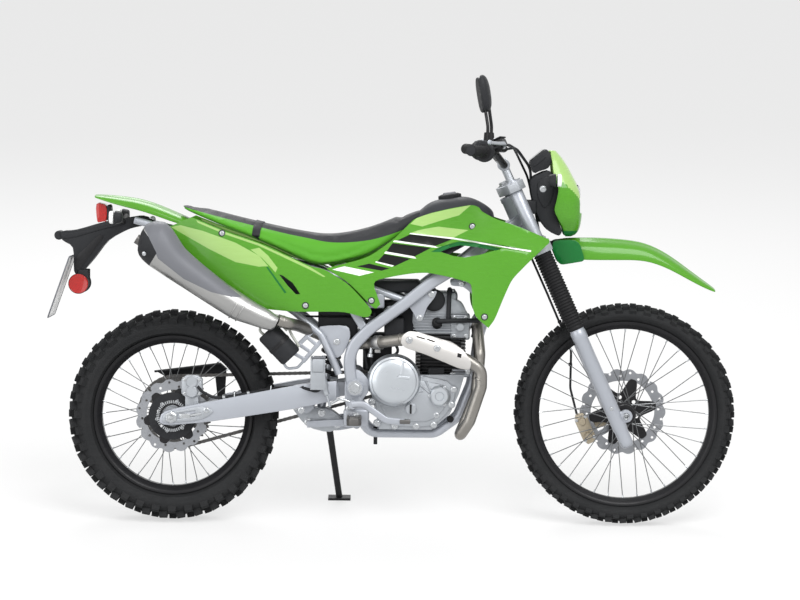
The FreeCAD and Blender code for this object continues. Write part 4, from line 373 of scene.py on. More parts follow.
def joined(name, parts):
    # several pieces as one mesh, each keeping its materials
    shape = bmesh.new()
    slots = []
    for part in parts:
        start = len(shape.faces)
        shape.from_mesh(part.data)
        shape.faces.ensure_lookup_table()
        own = [material for material in part.data.materials]
        for material in own:
            if material not in slots:
                slots.append(material)
        for face in shape.faces[start:]:
            face.material_index = slots.index(own[face.material_index]) if own else 0
        bpy.data.objects.remove(part)
    mesh = bpy.data.meshes.new(name)
    shape.to_mesh(mesh)
    shape.free()
    for material in slots:
        mesh.materials.append(material)
    whole = bpy.data.objects.new(name, mesh)
    bpy.context.scene.collection.objects.link(whole)
    return whole


def painted(piece, look):
    piece.data.materials.clear()
    piece.data.materials.append(materials[look])
    return piece


def dress(piece, body, slot, *replaced):
    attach(piece, body)
    if replaced:
        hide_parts(*replaced)
    return piece


def bevelled(piece, width, segments=2, angle=30):
    bevel = piece.modifiers.new("rounding", "BEVEL")
    bevel.width = width / 1000
    bevel.segments = segments
    bevel.limit_method = "ANGLE"
    bevel.angle_limit = math.radians(angle)
    return settled(piece, 40)


def subdivided(piece, levels=2):
    smooth = piece.modifiers.new("rounding", "SUBSURF")
    smooth.levels = levels
    smooth.render_levels = levels
    return settled(piece, 60)


def lathe(name, profile, place, look, segments=64, smoothAngle=35):
    # a closed profile of (radius, along Y), turned about Y
    points = []
    for i in range(segments):
        turn = 2 * math.pi * i / segments
        points += [(r * math.cos(turn), y, r * math.sin(turn)) for r, y in profile]
    size = len(profile)
    faces = []
    for i in range(segments):
        for j in range(size):
            after = (j + 1) % size
            first, second = i * size, (i + 1) % segments * size
            faces.append((first + j, first + after, second + after, second + j))
    return painted(meshPiece(name, points, faces, place, smoothAngle), look)


def roundedRoute(points, bend, steps=6):
    points = [Vector(point) for point in points]
    route = [points[0]]
    for before, corner, after in zip(points, points[1:], points[2:]):
        back, ahead = (before - corner).normalized(), (after - corner).normalized()
        half = back.angle(ahead) / 2
        reach = min(bend / max(math.tan(half), 0.01), (before - corner).length * 0.48,
                    (after - corner).length * 0.48)
        start, end = corner + back * reach, corner + ahead * reach
        for i in range(steps + 1):
            t = i / steps
            route.append(start * (1 - t) ** 2 + corner * 2 * t * (1 - t) + end * t ** 2)
    return route + [points[-1]]


def squared(share, power):
    # a sine or cosine pushed outwards, which squares a circle off
    return math.copysign(abs(share) ** power, share)


def circleSection(radius, sides=16):
    return [(radius * math.cos(2 * math.pi * i / sides), radius * math.sin(2 * math.pi * i / sides))
            for i in range(sides)]


def boxSection(wide, tall, corner, steps=3):
    section = []
    for quarter, (a, b) in enumerate(((1, 1), (-1, 1), (-1, -1), (1, -1))):
        centre = Vector((a * (wide / 2 - corner), b * (tall / 2 - corner)))
        for i in range(steps + 1):
            turn = math.pi / 2 * (quarter + i / steps)
            section.append(centre + Vector((math.cos(turn), math.sin(turn))) * corner)
    return section


def sweep(name, route, section, place, look, sizes=None, closed=False):
    # a section carried along a route; sizes scale it from point to point
    count = len(route)
    side = None
    points = []
    for i, centre in enumerate(route):
        before = route[i - 1] if closed or i else centre
        after = route[(i + 1) % count] if closed or i < count - 1 else centre
        along = (after - before).normalized()
        if side is None:
            side = Vector((0, 1, 0)) if abs(along.y) < 0.9 else Vector((0, 0, 1))
        side = (side - along * side.dot(along)).normalized()
        up = along.cross(side)
        size = sizes[i] if sizes else 1
        points += [centre + side * (a * size) + up * (b * size) for a, b in section]
    size = len(section)
    faces = []
    for i in range(count if closed else count - 1):
        low, high = i * size, (i + 1) % count * size
        faces += [(low + j, low + (j + 1) % size, high + (j + 1) % size, high + j) for j in range(size)]
    if not closed:
        faces += [tuple(range(size)), tuple(range((count - 1) * size, count * size))]
    return painted(meshPiece(name, points, faces, place, 50), look)


def pipe(name, points, radius, bend, place, look, sides=18):
    return sweep(name, roundedRoute(points, bend), circleSection(radius, sides), place, look)


def loft(name, rows, place, look, closedRows=True, capped=True, levels=2):
    size = len(rows[0])
    points = [point for row in rows for point in row]
    faces = []
    for i in range(len(rows) - 1):
        for j in range(size if closedRows else size - 1):
            after = (j + 1) % size
            faces.append((i * size + j, i * size + after, (i + 1) * size + after, (i + 1) * size + j))
    if capped:
        faces += [tuple(range(size)), tuple(range((len(rows) - 1) * size, len(rows) * size))]
    piece = painted(meshPiece(name, points, faces, place), look)
    return subdivided(piece, levels) if levels else piece


def slabFaces(count):
    # two loops of points, one above the other, closed into a slab
    around = [(i, (i + 1) % count, count + (i + 1) % count, count + i) for i in range(count)]
    return [tuple(range(count)), tuple(range(count, 2 * count))] + around


def otherSide(piece, place):
    # a copy of a piece mirrored across the machine's middle plane
    mesh = piece.data.copy()
    mesh.transform(place @ Matrix.Scale(-1, 4, (0, 1, 0)) @ place.inverted())
    mesh.flip_normals()
    other = bpy.data.objects.new(piece.name + "Left", mesh)
    bpy.context.scene.collection.objects.link(other)
    return other


def inside(point, outline):
    x, z = point
    found = False
    for (ax, az), (bx, bz) in zip(outline, outline[1:] + outline[:1]):
        if (az > z) != (bz > z) and x < (bx - ax) * (z - az) / (bz - az) + ax:
            found = not found
    return found


def smoothOutline(points, steps=3, corner=None):
    # a closed outline with its corners eased, apart from those named as sharp
    sharp = corner or ()
    result = []
    count = len(points)
    for i, point in enumerate(points):
        before, after = Vector(points[i - 1]), Vector(points[(i + 1) % count])
        point = Vector(point)
        if i in sharp:
            result.append(tuple(point))
            continue
        start, end = point.lerp(before, 0.3), point.lerp(after, 0.3)
        for j in range(steps + 1):
            t = j / steps
            result.append(tuple(start * (1 - t) ** 2 + point * 2 * t * (1 - t) + end * t ** 2))
    return result


def panelMesh(name, outline, holes, zones, spacing, surface, place, looksUsed, wall, edge=0):
    # a sheet inside an outline, with holes and coloured zones cut into its mesh, laid on a surface
    loops = [outline] + holes + [zone for zone, look in zones]
    flat, edges = [], []
    for loop in loops:
        first = len(flat)
        flat += [Vector(point) for point in loop]
        edges += [(first + i, first + (i + 1) % len(loop)) for i in range(len(loop))]
    lowX, highX = min(p[0] for p in outline), max(p[0] for p in outline)
    lowZ, highZ = min(p[1] for p in outline), max(p[1] for p in outline)
    x = lowX + spacing / 2
    row = 0
    while x < highX:
        z = lowZ + spacing / 2 * (1 + row % 2)
        while z < highZ:
            if inside((x, z), outline):
                flat.append(Vector((x, z)))
            z += spacing
        x += spacing * 0.87
        row += 1
    flat, _, triangles, *rest = delaunay_2d_cdt(flat, edges, [], 0, 0.05)
    points = [surface(p[0], p[1]) for p in flat]
    faces, marks = [], []
    for triangle in triangles:
        middle = tuple(sum((flat[i] for i in triangle), Vector((0, 0))) / 3)
        if not inside(middle, outline) or any(inside(middle, hole) for hole in holes):
            continue
        faces.append(tuple(triangle))
        mark = 0
        for i, (zone, look) in enumerate(zones):
            if inside(middle, zone):
                mark = looksUsed.index(look)
        marks.append(mark)
    mesh = bpy.data.meshes.new(name)
    mesh.from_pydata([tuple(point) for point in points], [], faces)
    mesh.transform(place)
    for look in looksUsed:
        mesh.materials.append(materials[look])
    for polygon, mark in zip(mesh.polygons, marks):
        polygon.material_index = mark
    shape = bmesh.new()
    shape.from_mesh(mesh)
    bmesh.ops.delete(shape, geom=[v for v in shape.verts if not v.link_faces], context="VERTS")
    bmesh.ops.recalc_face_normals(shape, faces=shape.faces)
    outward = (place.to_3x3() @ Vector((0, -1, 0))).normalized()
    if sum(face.normal.dot(outward) * face.calc_area() for face in shape.faces) < 0:
        bmesh.ops.reverse_faces(shape, faces=shape.faces)
    shape.to_mesh(mesh)
    shape.free()
    piece = bpy.data.objects.new(name, mesh)
    bpy.context.scene.collection.objects.link(piece)
    solid = piece.modifiers.new("wall", "SOLIDIFY")
    solid.thickness = wall / 1000
    solid.offset = -1
    piece = settled(piece, 32)
    return bevelled(piece, edge, 2, 60) if edge else piece


def softened(node, width, look, segments=2, angle=30):
    # a CAD node's shape as a piece with rounded edges
    mesh = cadNodes[node].data.copy()
    shape = bmesh.new()
    shape.from_mesh(mesh)
    bmesh.ops.remove_doubles(shape, verts=shape.verts, dist=2e-5)
    bmesh.ops.dissolve_limit(shape, angle_limit=math.radians(2), verts=shape.verts, edges=shape.edges)
    shape.to_mesh(mesh)
    shape.free()
    mesh.materials.clear()
    mesh.materials.append(materials[look])
    piece = bpy.data.objects.new(node + "Rounded", mesh)
    bpy.context.scene.collection.objects.link(piece)
    return bevelled(piece, width, segments, angle)


# Geometry Nodes for what repeats: copies round a wheel, and copies at listed places
def geometryTree(name, inputs):
    tree = bpy.data.node_groups.new(name, "GeometryNodeTree")
    tree.interface.new_socket("Geometry", in_out="INPUT", socket_type="NodeSocketGeometry")
    for label, kind in inputs:
        tree.interface.new_socket(label, in_out="INPUT", socket_type=kind)
    tree.interface.new_socket("Geometry", in_out="OUTPUT", socket_type="NodeSocketGeometry")
    return tree, addNode(tree, "NodeGroupInput").outputs, addNode(tree, "NodeGroupOutput").inputs


def finishCopies(tree, copies, material, result):
    real = addNode(tree, "GeometryNodeRealizeInstances", [(0, copies)])
    finished = addNode(tree, "GeometryNodeSetMaterial", [("Geometry", real.outputs[0]),
                                                         ("Material", material)])
    tree.links.new(finished.outputs[0], result[0])


def makeRingTree():
    tree, given, result = geometryTree("ringCopies", [("Copies", "NodeSocketInt"),
                                                      ("Phase", "NodeSocketFloat"),
                                                      ("Finish", "NodeSocketMaterial")])
    index = addNode(tree, "GeometryNodeInputIndex").outputs[0]
    share = addNode(tree, "ShaderNodeMath", [(0, index), (1, given["Copies"])], operation="DIVIDE")
    turn = addNode(tree, "ShaderNodeMath", [(0, share.outputs[0]), (1, -2 * math.pi), (2, given["Phase"])],
                   operation="MULTIPLY_ADD")
    euler = addNode(tree, "ShaderNodeCombineXYZ", [(1, turn.outputs[0])])
    dots = addNode(tree, "GeometryNodePoints", [("Count", given["Copies"])])
    copies = addNode(tree, "GeometryNodeInstanceOnPoints", [("Points", dots.outputs[0]),
                                                            ("Instance", given["Geometry"]),
                                                            ("Rotation", euler.outputs[0])])
    finishCopies(tree, copies.outputs[0], given["Finish"], result)
    return tree


def makePlacesTree():
    tree, given, result = geometryTree("placedCopies", [("Places", "NodeSocketObject"),
                                                        ("Finish", "NodeSocketMaterial")])
    places = addNode(tree, "GeometryNodeObjectInfo", [("Object", given["Places"])])
    turn = addNode(tree, "GeometryNodeInputNamedAttribute", [("Name", "turn")], data_type="FLOAT_VECTOR")
    size = addNode(tree, "GeometryNodeInputNamedAttribute", [("Name", "size")], data_type="FLOAT_VECTOR")
    copies = addNode(tree, "GeometryNodeInstanceOnPoints", [("Points", places.outputs["Geometry"]),
                                                            ("Instance", given["Geometry"]),
                                                            ("Rotation", turn.outputs[0]),
                                                            ("Scale", size.outputs[0])])
    finishCopies(tree, copies.outputs[0], given["Finish"], result)
    return tree


ringTree = makeRingTree()
placesTree = makePlacesTree()


def runTree(piece, tree, values, place):
    modifier = piece.modifiers.new("copies", "NODES")
    modifier.node_group = tree
    for item in tree.interface.items_tree:
        if item.in_out == "INPUT" and item.name in values:
            modifier[item.identifier] = values[item.name]
    whole = settled(piece)
    whole.data.transform(place)
    whole.data.set_sharp_from_angle(angle=math.radians(35))
    return whole


def ringOf(unit, copies, place, look, phase=0):
    return runTree(unit, ringTree, {"Copies": copies, "Phase": phase, "Finish": materials[look]}, place)


def placedCopies(unit, rows, place, look):
    # rows: (position, turn, size) of each copy
    mesh = bpy.data.meshes.new("places")
    mesh.from_pydata([tuple(position) for position, turn, size in rows], [], [])
    turns = mesh.attributes.new("turn", "FLOAT_VECTOR", "POINT")
    sizes = mesh.attributes.new("size", "FLOAT_VECTOR", "POINT")
    for i, (position, turn, size) in enumerate(rows):
        turns.data[i].vector = turn
        sizes.data[i].vector = (size, size, size)
    holder = bpy.data.objects.new("places", mesh)
    bpy.context.scene.collection.objects.link(holder)
    whole = runTree(unit, placesTree, {"Places": holder, "Finish": materials[look]}, place)
    bpy.data.objects.remove(holder)
    return whole


def copiesAt(unit, places, place, look):
    # places: (position, direction the unit's Y axis takes, size)
    upright = Vector((0, 1, 0))
    rows = [(position, upright.rotation_difference(Vector(along)).to_euler(), size)
            for position, along, size in places]
    return placedCopies(unit, rows, place, look)


boxFaces = [(0, 1, 2, 3), (4, 5, 6, 7), (0, 1, 5, 4), (1, 2, 6, 5), (2, 3, 7, 6), (3, 0, 4, 7)]


def blockShape(name, corners, look="tyreRubber"):
    # eight corners: four of the foot, then four of the top
    return painted(meshPiece(name, corners, boxFaces, Matrix(), 20), look)


def roundedBox(name, low, high, edge, place, look, segments=3):
    corners = [(x, y, z) for z in (low[2], high[2]) for x, y in
               ((low[0], low[1]), (high[0], low[1]), (high[0], high[1]), (low[0], high[1]))]
    return bevelled(painted(meshPiece(name, corners, boxFaces, place, 20), look), edge, segments)


def screwShape(name, radius, head, look="brightSteel"):
    # a flanged screw head standing up its Y axis
    profile = [(0.01, 0), (radius * 1.35, 0), (radius * 1.3, head * 0.25), (radius, head * 0.3),
               (radius, head * 0.9), (radius * 0.85, head), (radius * 0.5, head),
               (radius * 0.45, head * 0.6), (0.01, head * 0.6)]
    return lathe(name, profile, Matrix(), look, 12)


print("wheels")
wheelSizes = {
    "front": {"body": "front_wheel", "radius": 337, "width": 76, "rimRadius": 282, "rimWidth": 50,
              "rimDepth": 23, "lug": 10, "rows": 46, "flangeHalf": 26, "discRadius": 132, "discRing": 34,
              "discPlace": 62, "petals": 18, "holes": 24, "centre": 17, "shoulder": 25, "edge": 33},
    "rear": {"body": "rear_wheel", "radius": 320, "width": 112, "rimRadius": 242, "rimWidth": 66,
             "rimDepth": 24, "lug": 14, "rows": 36, "flangeHalf": 30, "discRadius": 111, "discRing": 30,
             "discPlace": -72, "petals": 15, "holes": 20, "centre": 23, "shoulder": 38, "edge": 50},
}


def tyreShape(side, wheel, place):
    outer, lug, width = wheel["radius"], wheel["lug"], wheel["width"]
    rim, wall = wheel["rimRadius"], wheel["radius"] - wheel["rimRadius"]
    crown = outer - lug
    half = [(rim - 3, 0.36 * wheel["rimWidth"]), (rim + 4, 0.47 * wheel["rimWidth"]),
            (rim + 9, 0.43 * width), (rim + wall * 0.3, 0.475 * width), (rim + wall * 0.33, 0.487 * width),
            (rim + wall * 0.45, 0.485 * width), (rim + wall * 0.62, 0.45 * width),
            (crown - wall * 0.1, 0.345 * width), (crown - 2, 0.2 * width), (crown, 0.05 * width)]
    profile = half + [(r, -y) for r, y in reversed(half)]
    carcass = lathe("carcass", profile, place, "tyreRubber", 96, 50)
    parts = [carcass]
    rows = wheel["rows"]
    pitch = 2 * math.pi * outer / rows

    def lugAt(y, long, wide, low, high, twist, phase):
        # a block with its foot sunk in the tread and a smaller top, leaning with the tread's curve
        lean = math.asin(min(0.93, abs(y) / (width * 0.53))) * (1 if y >= 0 else -1)
        corners = []
        for share, reach in ((1, low), (0.86, high)):
            for a, b in ((-1, -1), (1, -1), (1, 1), (-1, 1)):
                across, round_ = a * wide / 2 * share, b * long / 2 * share
                across, round_ = (across * math.cos(twist) - round_ * math.sin(twist),
                                  across * math.sin(twist) + round_ * math.cos(twist))
                x = reach - across * math.sin(lean) * 0.9
                corners.append((x, y + across * math.cos(lean) + (reach - low) * math.sin(lean), round_))
        return ringOf(blockShape("lug", corners), rows, place, "tyreRubber", phase)

    step = 2 * math.pi / rows
    centre, shoulder, edge = wheel["centre"], wheel["shoulder"], wheel["edge"]
    for sign in (-1, 1):
        parts.append(lugAt(sign * centre * 0.42, pitch * 0.42, centre * 0.7, crown - 5, outer - 0.4,
                           sign * 0.12, 0))
        parts.append(lugAt(sign * shoulder, pitch * 0.5, centre * 0.62, crown - wall * 0.14,
                           outer - wall * 0.1, sign * -0.2, step / 2))
        parts.append(lugAt(sign * edge, pitch * 0.46, centre * 0.46, crown - wall * 0.34,
                           crown - wall * 0.14, 0, 0))
    whole = joined(side + "TyreKnobby", parts)
    dress(whole, wheel["body"], "tyre_rubber", side + "_tyre")


def rimShape(side, wheel, place):
    outer, half, deep = wheel["rimRadius"], wheel["rimWidth"] / 2, wheel["rimDepth"]
    edge = [(outer - 4, half - 2.5), (outer, half - 1.5), (outer, half), (outer - 5, half + 0.0),
            (outer - 10, half - 3), (outer - 14, half - 7), (outer - deep, half * 0.45)]
    profile = edge + [(r, -y) for r, y in reversed(edge)]
    profile += [(outer - deep + 4, -half * 0.35), (outer - deep + 4, half * 0.35)]
    ring = lathe("rimRing", profile, place, "blackRim", 96, 40)
    nipple = lathe("nipple", [(0.01, 0), (2.6, 0), (2.4, 8), (1.8, 10), (0.01, 10)], Matrix(), "brightSteel",
                   8)
    inner = outer - deep
    places = []
    for i in range(36):
        turn = 2 * math.pi * i / 36
        y = (1 if i % 2 == 0 else -1) * (7 + (3 if (i // 2) % 2 == 0 else -3))
        out = Vector((math.cos(turn), 0, math.sin(turn)))
        places.append((out * inner + Vector((0, y, 0)), -out, 1))
    nipples = copiesAt(nipple, places, place, "brightSteel")
    dress(ring, wheel["body"], "black_rim", side + "_rim")
    dress(nipples, wheel["body"], "spoke_steel").name = side + "Nipples"
    ring.name = side + "RimBlack"


hubSizes = {"spokes": 36, "lace": 46, "spokeFoot": 34, "spokeRadius": 1.5, "boltRing": 48}


def hubShape(side, wheel, place):
    flange = wheel["flangeHalf"]
    inner = wheel["rimRadius"] - wheel["rimDepth"]
    parts = []
    reach = abs(wheel["discPlace"]) - 4
    profile = [(9.4, -reach), (30, -reach), (32, -reach + 6), (24, -flange - 6), (35, -flange - 4),
               (36, -flange), (35, -flange + 3), (23, -flange + 6), (21, 0), (23, flange - 6),
               (35, flange - 3), (36, flange), (35, flange + 4), (24, flange + 6), (32, reach - 6),
               (30, reach), (9.4, reach)]
    parts.append(lathe("hubCore", profile, place, "blackMetal" if side == "front" else "castAlloy", 48, 30))
    spokes, foot = hubSizes["spokes"], hubSizes["spokeFoot"]
    lace = math.radians(hubSizes["lace"])
    for i in range(4):
        sign = 1 if i % 2 == 0 else -1
        lead = 1 if (i // 2) % 2 == 0 else -1
        angle = 2 * math.pi * i / spokes
        start = Vector((foot * math.cos(angle + lead * lace), sign * (flange + lead * 3),
                        foot * math.sin(angle + lead * lace)))
        end = Vector((inner * math.cos(angle), sign * (7 + lead * 3), inner * math.sin(angle)))
        spoke = sweep("spoke", [start, end], circleSection(hubSizes["spokeRadius"], 6), Matrix(),
                      "spokeSteel")
        parts.append(ringOf(spoke, spokes // 4, place, "spokeSteel"))
    bolt = screwShape("hubBolt", 4.5, 5)
    y = wheel["discPlace"] + math.copysign(2.2, wheel["discPlace"])
    ring = hubSizes["boltRing"]
    places = [((ring * math.cos(t), y, ring * math.sin(t)), (0, math.copysign(1, y), 0), 1)
              for t in [2 * math.pi * i / 6 + 0.2 for i in range(6)]]
    parts.append(copiesAt(bolt, places, place, "brightSteel"))
    dress(joined(side + "HubSpoked", parts), wheel["body"], "spoke_steel", side + "_hub")


def waveLoop(radius, depth, waves, steps=8, sharp=1.0):
    loop = []
    for i in range(waves * steps):
        turn = 2 * math.pi * i / (waves * steps)
        dip = (0.5 - 0.5 * math.cos(waves * turn)) ** sharp
        reach = radius - depth * dip
        loop.append((reach * math.cos(turn), reach * math.sin(turn)))
    return loop


def circleLoop(centreX, centreZ, radius, steps=12):
    return [(centreX + radius * math.cos(2 * math.pi * i / steps),
             centreZ + radius * math.sin(2 * math.pi * i / steps))
            for i in range(steps)]


def discShape(side, wheel, place):
    radius, ring = wheel["discRadius"], wheel["discRing"]
    y = wheel["discPlace"]
    middle = radius - ring / 2
    holes = [waveLoop(radius - ring, 3, wheel["petals"] // 3, 12)]
    for i in range(wheel["holes"]):
        turn = 2 * math.pi * (i + 0.3) / wheel["holes"]
        reach = middle + (6 if i % 2 else -5)
        holes.append(circleLoop(reach * math.cos(turn), reach * math.sin(turn), 4))
    outline = waveLoop(radius, 7, wheel["petals"], 10, 1.6)
    thick = 4

    def flatAt(x, z):
        return x, y - thick / 2, z

    band = panelMesh(side + "DiscBand", outline, holes, [], 30, flatAt, place, ["discSteel"], thick)
    loop = []
    for i in range(6):
        base = 2 * math.pi * i / 6 + 0.2
        for offset, reach in ((-0.42, 58), (-0.12, radius - ring + 7), (0.12, radius - ring + 7),
                              (0.42, 58)):
            loop.append((reach * math.cos(base + offset), reach * math.sin(base + offset)))
    loop = smoothOutline(loop, 3)
    inner = [circleLoop(0, 0, 33, 32)]
    for i in range(6):
        base = 2 * math.pi * (i + 0.5) / 6 + 0.2
        inner.append(circleLoop(45 * math.cos(base), 45 * math.sin(base), 6))

    def carrierAt(x, z):
        return x, y - thick / 2 - 1, z

    centre = panelMesh(side + "DiscCarrier", loop, inner, [], 30, carrierAt, place, ["blackMetal"],
                       thick + 2)
    parts = [band, centre]
    if side == "rear":
        # the toothed speed ring inside the disc
        face = y - thick / 2 - 2.2
        parts.append(lathe("speedRing", [(48, face - 1.5), (72, face - 1.5), (72, face), (48, face)], place,
                           "blackPlastic", 72))
        tooth = roundedBox("speedTooth", (-1.6, -0.8, -4.5), (1.6, 0.8, 4.5), 0.3,
                           Matrix.Translation((43.5, 0, 0))
                           @ Matrix.Rotation(math.pi / 2, 4, "Y"), "brightSteel", 1)
        parts.append(ringOf(tooth, 46, place @ Matrix.Translation((0, face - 0.8, 0)), "brightSteel"))
    dress(joined(side + "DiscPetal", parts), wheel["body"], "disc_steel", side + "_disc")


def sprocketShape():
    teeth, radius = 44, 114
    outline = waveLoop(radius, 8, teeth, 6, 0.8)
    holes = [circleLoop(0, 0, 33, 32)]
    for i in range(6):
        base = 2 * math.pi * i / 6
        holes.append(smoothOutline([(r * math.cos(base + t), r * math.sin(base + t))
                                    for r, t in ((56, -0.3), (90, -0.36), (94, 0), (90, 0.36), (56, 0.3))],
                                   3))

    def sprocketAt(x, z):
        return x, 72 - 2.75, z

    ring = panelMesh("rearSprocketTooth", outline, holes, [], 30, sprocketAt, rearFrame, ["darkSteel"], 5.5)
    dress(ring, "rear_wheel", "sprocket_steel", "rear_sprocket")


for sideName, wheelValues in wheelSizes.items():
    wheelPlace = frontFrame if sideName == "front" else rearFrame
    tyreShape(sideName, wheelValues, wheelPlace)
    rimShape(sideName, wheelValues, wheelPlace)
    hubShape(sideName, wheelValues, wheelPlace)
    discShape(sideName, wheelValues, wheelPlace)
sprocketShape()

print("chain")
chainSizes = {"driveX": 612, "driveZ": 415, "driveRadius": 36, "drivenRadius": 110.5, "line": 72,
              "links": 106}


def chainShape():
    drive = Vector((chainSizes["driveX"], 0, chainSizes["driveZ"]))
    driven = Vector((0, 0, stance["wheelHeight"]))
    small, large = chainSizes["driveRadius"], chainSizes["drivenRadius"]
    line = driven - drive
    heading = math.atan2(line.z, line.x)
    opening = math.acos((small - large) / line.length)
    path = []
    for centre, radius, first, last in ((driven, large, -opening, opening),
                                        (drive, small, opening, 2 * math.pi - opening)):
        for i in range(41):
            turn = heading + first + (last - first) * i / 40
            path.append(centre + Vector((radius * math.cos(turn), 0, radius * math.sin(turn))))
    lengths = [0]
    for before, after in zip(path, path[1:] + path[:1]):
        lengths.append(lengths[-1] + (after - before).length)
    links = chainSizes["links"]
    pitch = lengths[-1] / links
    places = {0: [], 1: []}

    def pointAt(distance):
        distance %= lengths[-1]
        for i in range(len(path)):
            if lengths[i + 1] >= distance:
                share = (distance - lengths[i]) / max(lengths[i + 1] - lengths[i], 1e-6)
                return path[i].lerp(path[(i + 1) % len(path)], share)

    parts = []
    plates = {}
    for kind, (half, thick) in enumerate(((5.0, 1.5), (6.8, 1.5))):
        outline = smoothOutline([(-pitch * 0.82, -5.5), (0, -4.2), (pitch * 0.82, -5.5), (pitch * 0.82, 5.5),
                                 (0, 4.2), (-pitch * 0.82, 5.5)], 2)
        points, faces = [], []
        for sign in (-1, 1):
            for y in (sign * half - thick / 2, sign * half + thick / 2):
                points += [(x, y, z) for x, z in outline]
        size = len(outline)
        for base in (0, 2 * size):
            faces += [tuple(range(base, base + size)), tuple(range(base + size, base + 2 * size))]
            faces += [(base + i, base + (i + 1) % size, base + size + (i + 1) % size, base + size + i)
                      for i in range(size)]
        plate = painted(meshPiece("plate", points, faces, Matrix(), 30), "darkSteel")
        roller = lathe("roller", [(0.5, -half), (4.2, -half), (4.2, half), (0.5, half)], Matrix(),
                       "darkSteel", 10)
        roller.data.transform(Matrix.Translation((-pitch / 2, 0, 0)))
        plates[kind] = joined("link", [plate, roller])
    for i in range(links):
        here, ahead = pointAt(i * pitch), pointAt((i + 1) * pitch)
        turn = (0, -math.atan2(ahead.z - here.z, ahead.x - here.x), 0)
        places[i % 2].append(((here + ahead) / 2 + Vector((0, chainSizes["line"], 0)), turn, 1))
    for kind, rows in places.items():
        parts.append(placedCopies(plates[kind], rows, bikeFrame, "darkSteel"))
    dress(joined("driveChain", parts), "chassis", "chain_steel", "chain")


chainShape()


# Bodywork: outlines are (X, Z) in the upright machine's frame
def curveAt(rows, x, column):
    # a smooth curve through rows of (x, values...)
    low = max(i for i, row in enumerate(rows) if row[0] <= max(x, rows[0][0]))
    low = min(low, len(rows) - 2)
    before, start = rows[max(low - 1, 0)], rows[low]
    end, after = rows[low + 1], rows[min(low + 2, len(rows) - 1)]
    span = end[0] - start[0]
    t = min(max((x - start[0]) / span, 0), 1)
    leave = (end[column] - before[column]) / max(end[0] - before[0], 1) * span
    arrive = (after[column] - start[column]) / max(after[0] - start[0], 1) * span
    return (start[column] * (2 * t ** 3 - 3 * t ** 2 + 1) + leave * (t ** 3 - 2 * t ** 2 + t)
            + end[column] * (3 * t ** 2 - 2 * t ** 3) + arrive * (t ** 3 - t ** 2))


def nearestOnLine(x, z, line):
    # signed height of a place over a line of points, above zero on its upper side
    best = None
    for (ax, az), (bx, bz) in zip(line, line[1:]):
        span = Vector((bx - ax, bz - az))
        t = min(max((Vector((x - ax, z - az)).dot(span)) / span.length_squared, 0), 1)
        foot = Vector((ax, az)) + span * t
        away = Vector((x, z)) - foot
        height = away.length * (1 if span.x * away.y - span.y * away.x > 0 else -1)
        if best is None or abs(height) < abs(best):
            best = height
    return best


def addScrews(name, places, place, body, slot, size=1.0, ring=True):
    # flanged screws, each in a dark ring that stands for its recess: painted shade
    parts = [copiesAt(screwShape("screw", 6, 3.4), [(p, out, size) for p, out in places], place,
                      "brightSteel")]
    if ring:
        collar = lathe("collar", [(7.6, -1), (10.4, -1), (10.4, 1.0), (7.6, 1.6)], Matrix(), "blackPlastic",
                       20)
        parts.append(copiesAt(collar, [(p, out, size) for p, out in places], place, "blackPlastic"))
    return dress(joined(name, parts), body, slot)


print("shrouds")
shroudSizes = {"half": 172, "wall": 4, "low": 599, "high": 978, "bulge": 5, "spacing": 17,
               "creaseSlope": 0.32, "recess": 7,
               "rows": [(420, 0.83, 0.8), (593, 0.86, 0.72), (747, 0.93, 0.68), (885, 1.0, 0.76),
                        (1010, 1.02, 0.92), (1160, 0.94, 0.9)]}
shroudOutline = [(727, 927), (775, 945), (830, 959), (899, 972), (920, 966), (930, 952), (972, 930),
                 (1038, 910), (1133, 871), (1133, 861), (1073, 804), (1022, 751), (999, 699), (972, 630),
                 (953, 604), (915, 636), (904, 665), (901, 732), (889, 741), (834, 755), (771, 767),
                 (728, 765), (678, 757), (602, 740), (628, 670), (612, 653), (536, 731), (464, 776),
                 (590, 810), (668, 867), (713, 913)]
shroudVent = [(806, 830), (839, 844), (866, 850), (918, 845), (970, 837), (925, 823), (880, 814), (846, 818)]
shroudRecess = [(778, 829), (812, 846), (862, 862), (922, 857), (992, 842), (970, 836), (918, 844),
                (866, 849), (839, 843), (807, 829)]
shroudCrease = [(640, 862), (715, 885), (845, 872), (1080, 837)]
shroudBars = [[(676, 862), (715, 881), (845, 869), (790, 847)],
              [(663, 854), (778, 841), (728, 814), (643, 827)],
              [(638, 821), (718, 808), (670, 785), (614, 795)],
              [(593, 792), (655, 778), (631, 771), (556, 783)]]
shroudLines = [[(667, 862), (676, 862), (790, 847), (800, 842), (790, 842), (664, 858)],
               [(640, 826), (643, 829), (728, 815), (735, 809), (728, 809), (638, 823)],
               [(611, 796), (614, 799), (668, 787), (662, 783)],
               [(713, 882), (716, 885), (846, 873), (1078, 838), (1078, 833), (845, 868)]]
shroudFlash = [(482, 773), (518, 783), (608, 766), (564, 755)]
# pale bands along the upper edge and just over the crease: painted highlight
shroudPaintedHighlights = [[(715, 884), (846, 873), (890, 896), (800, 905), (760, 898), (738, 893)],
              [(735, 931), (778, 945), (832, 958), (897, 971), (862, 940), (800, 921), (752, 905),
               (716, 912)]]


def sheetHalf(sizes, x, z):
    # half width of a bulging side sheet at one place
    t = min(max((z - sizes["low"]) / (sizes["high"] - sizes["low"]), 0), 1)
    low, high = curveAt(sizes["rows"], x, 1), curveAt(sizes["rows"], x, 2)
    return sizes["half"] * (low + (high - low) * t) + sizes["bulge"] * math.sin(math.pi * t)


def screwPlaces(surface, spots):
    # the same screws on the right and the left sheet
    places = []
    for x, z in spots:
        x, y, z = surface(x, z)
        places += [((x, y - 0.4, z), (0, -1, 0)), ((x, -y + 0.4, z), (0, 1, 0))]
    return places


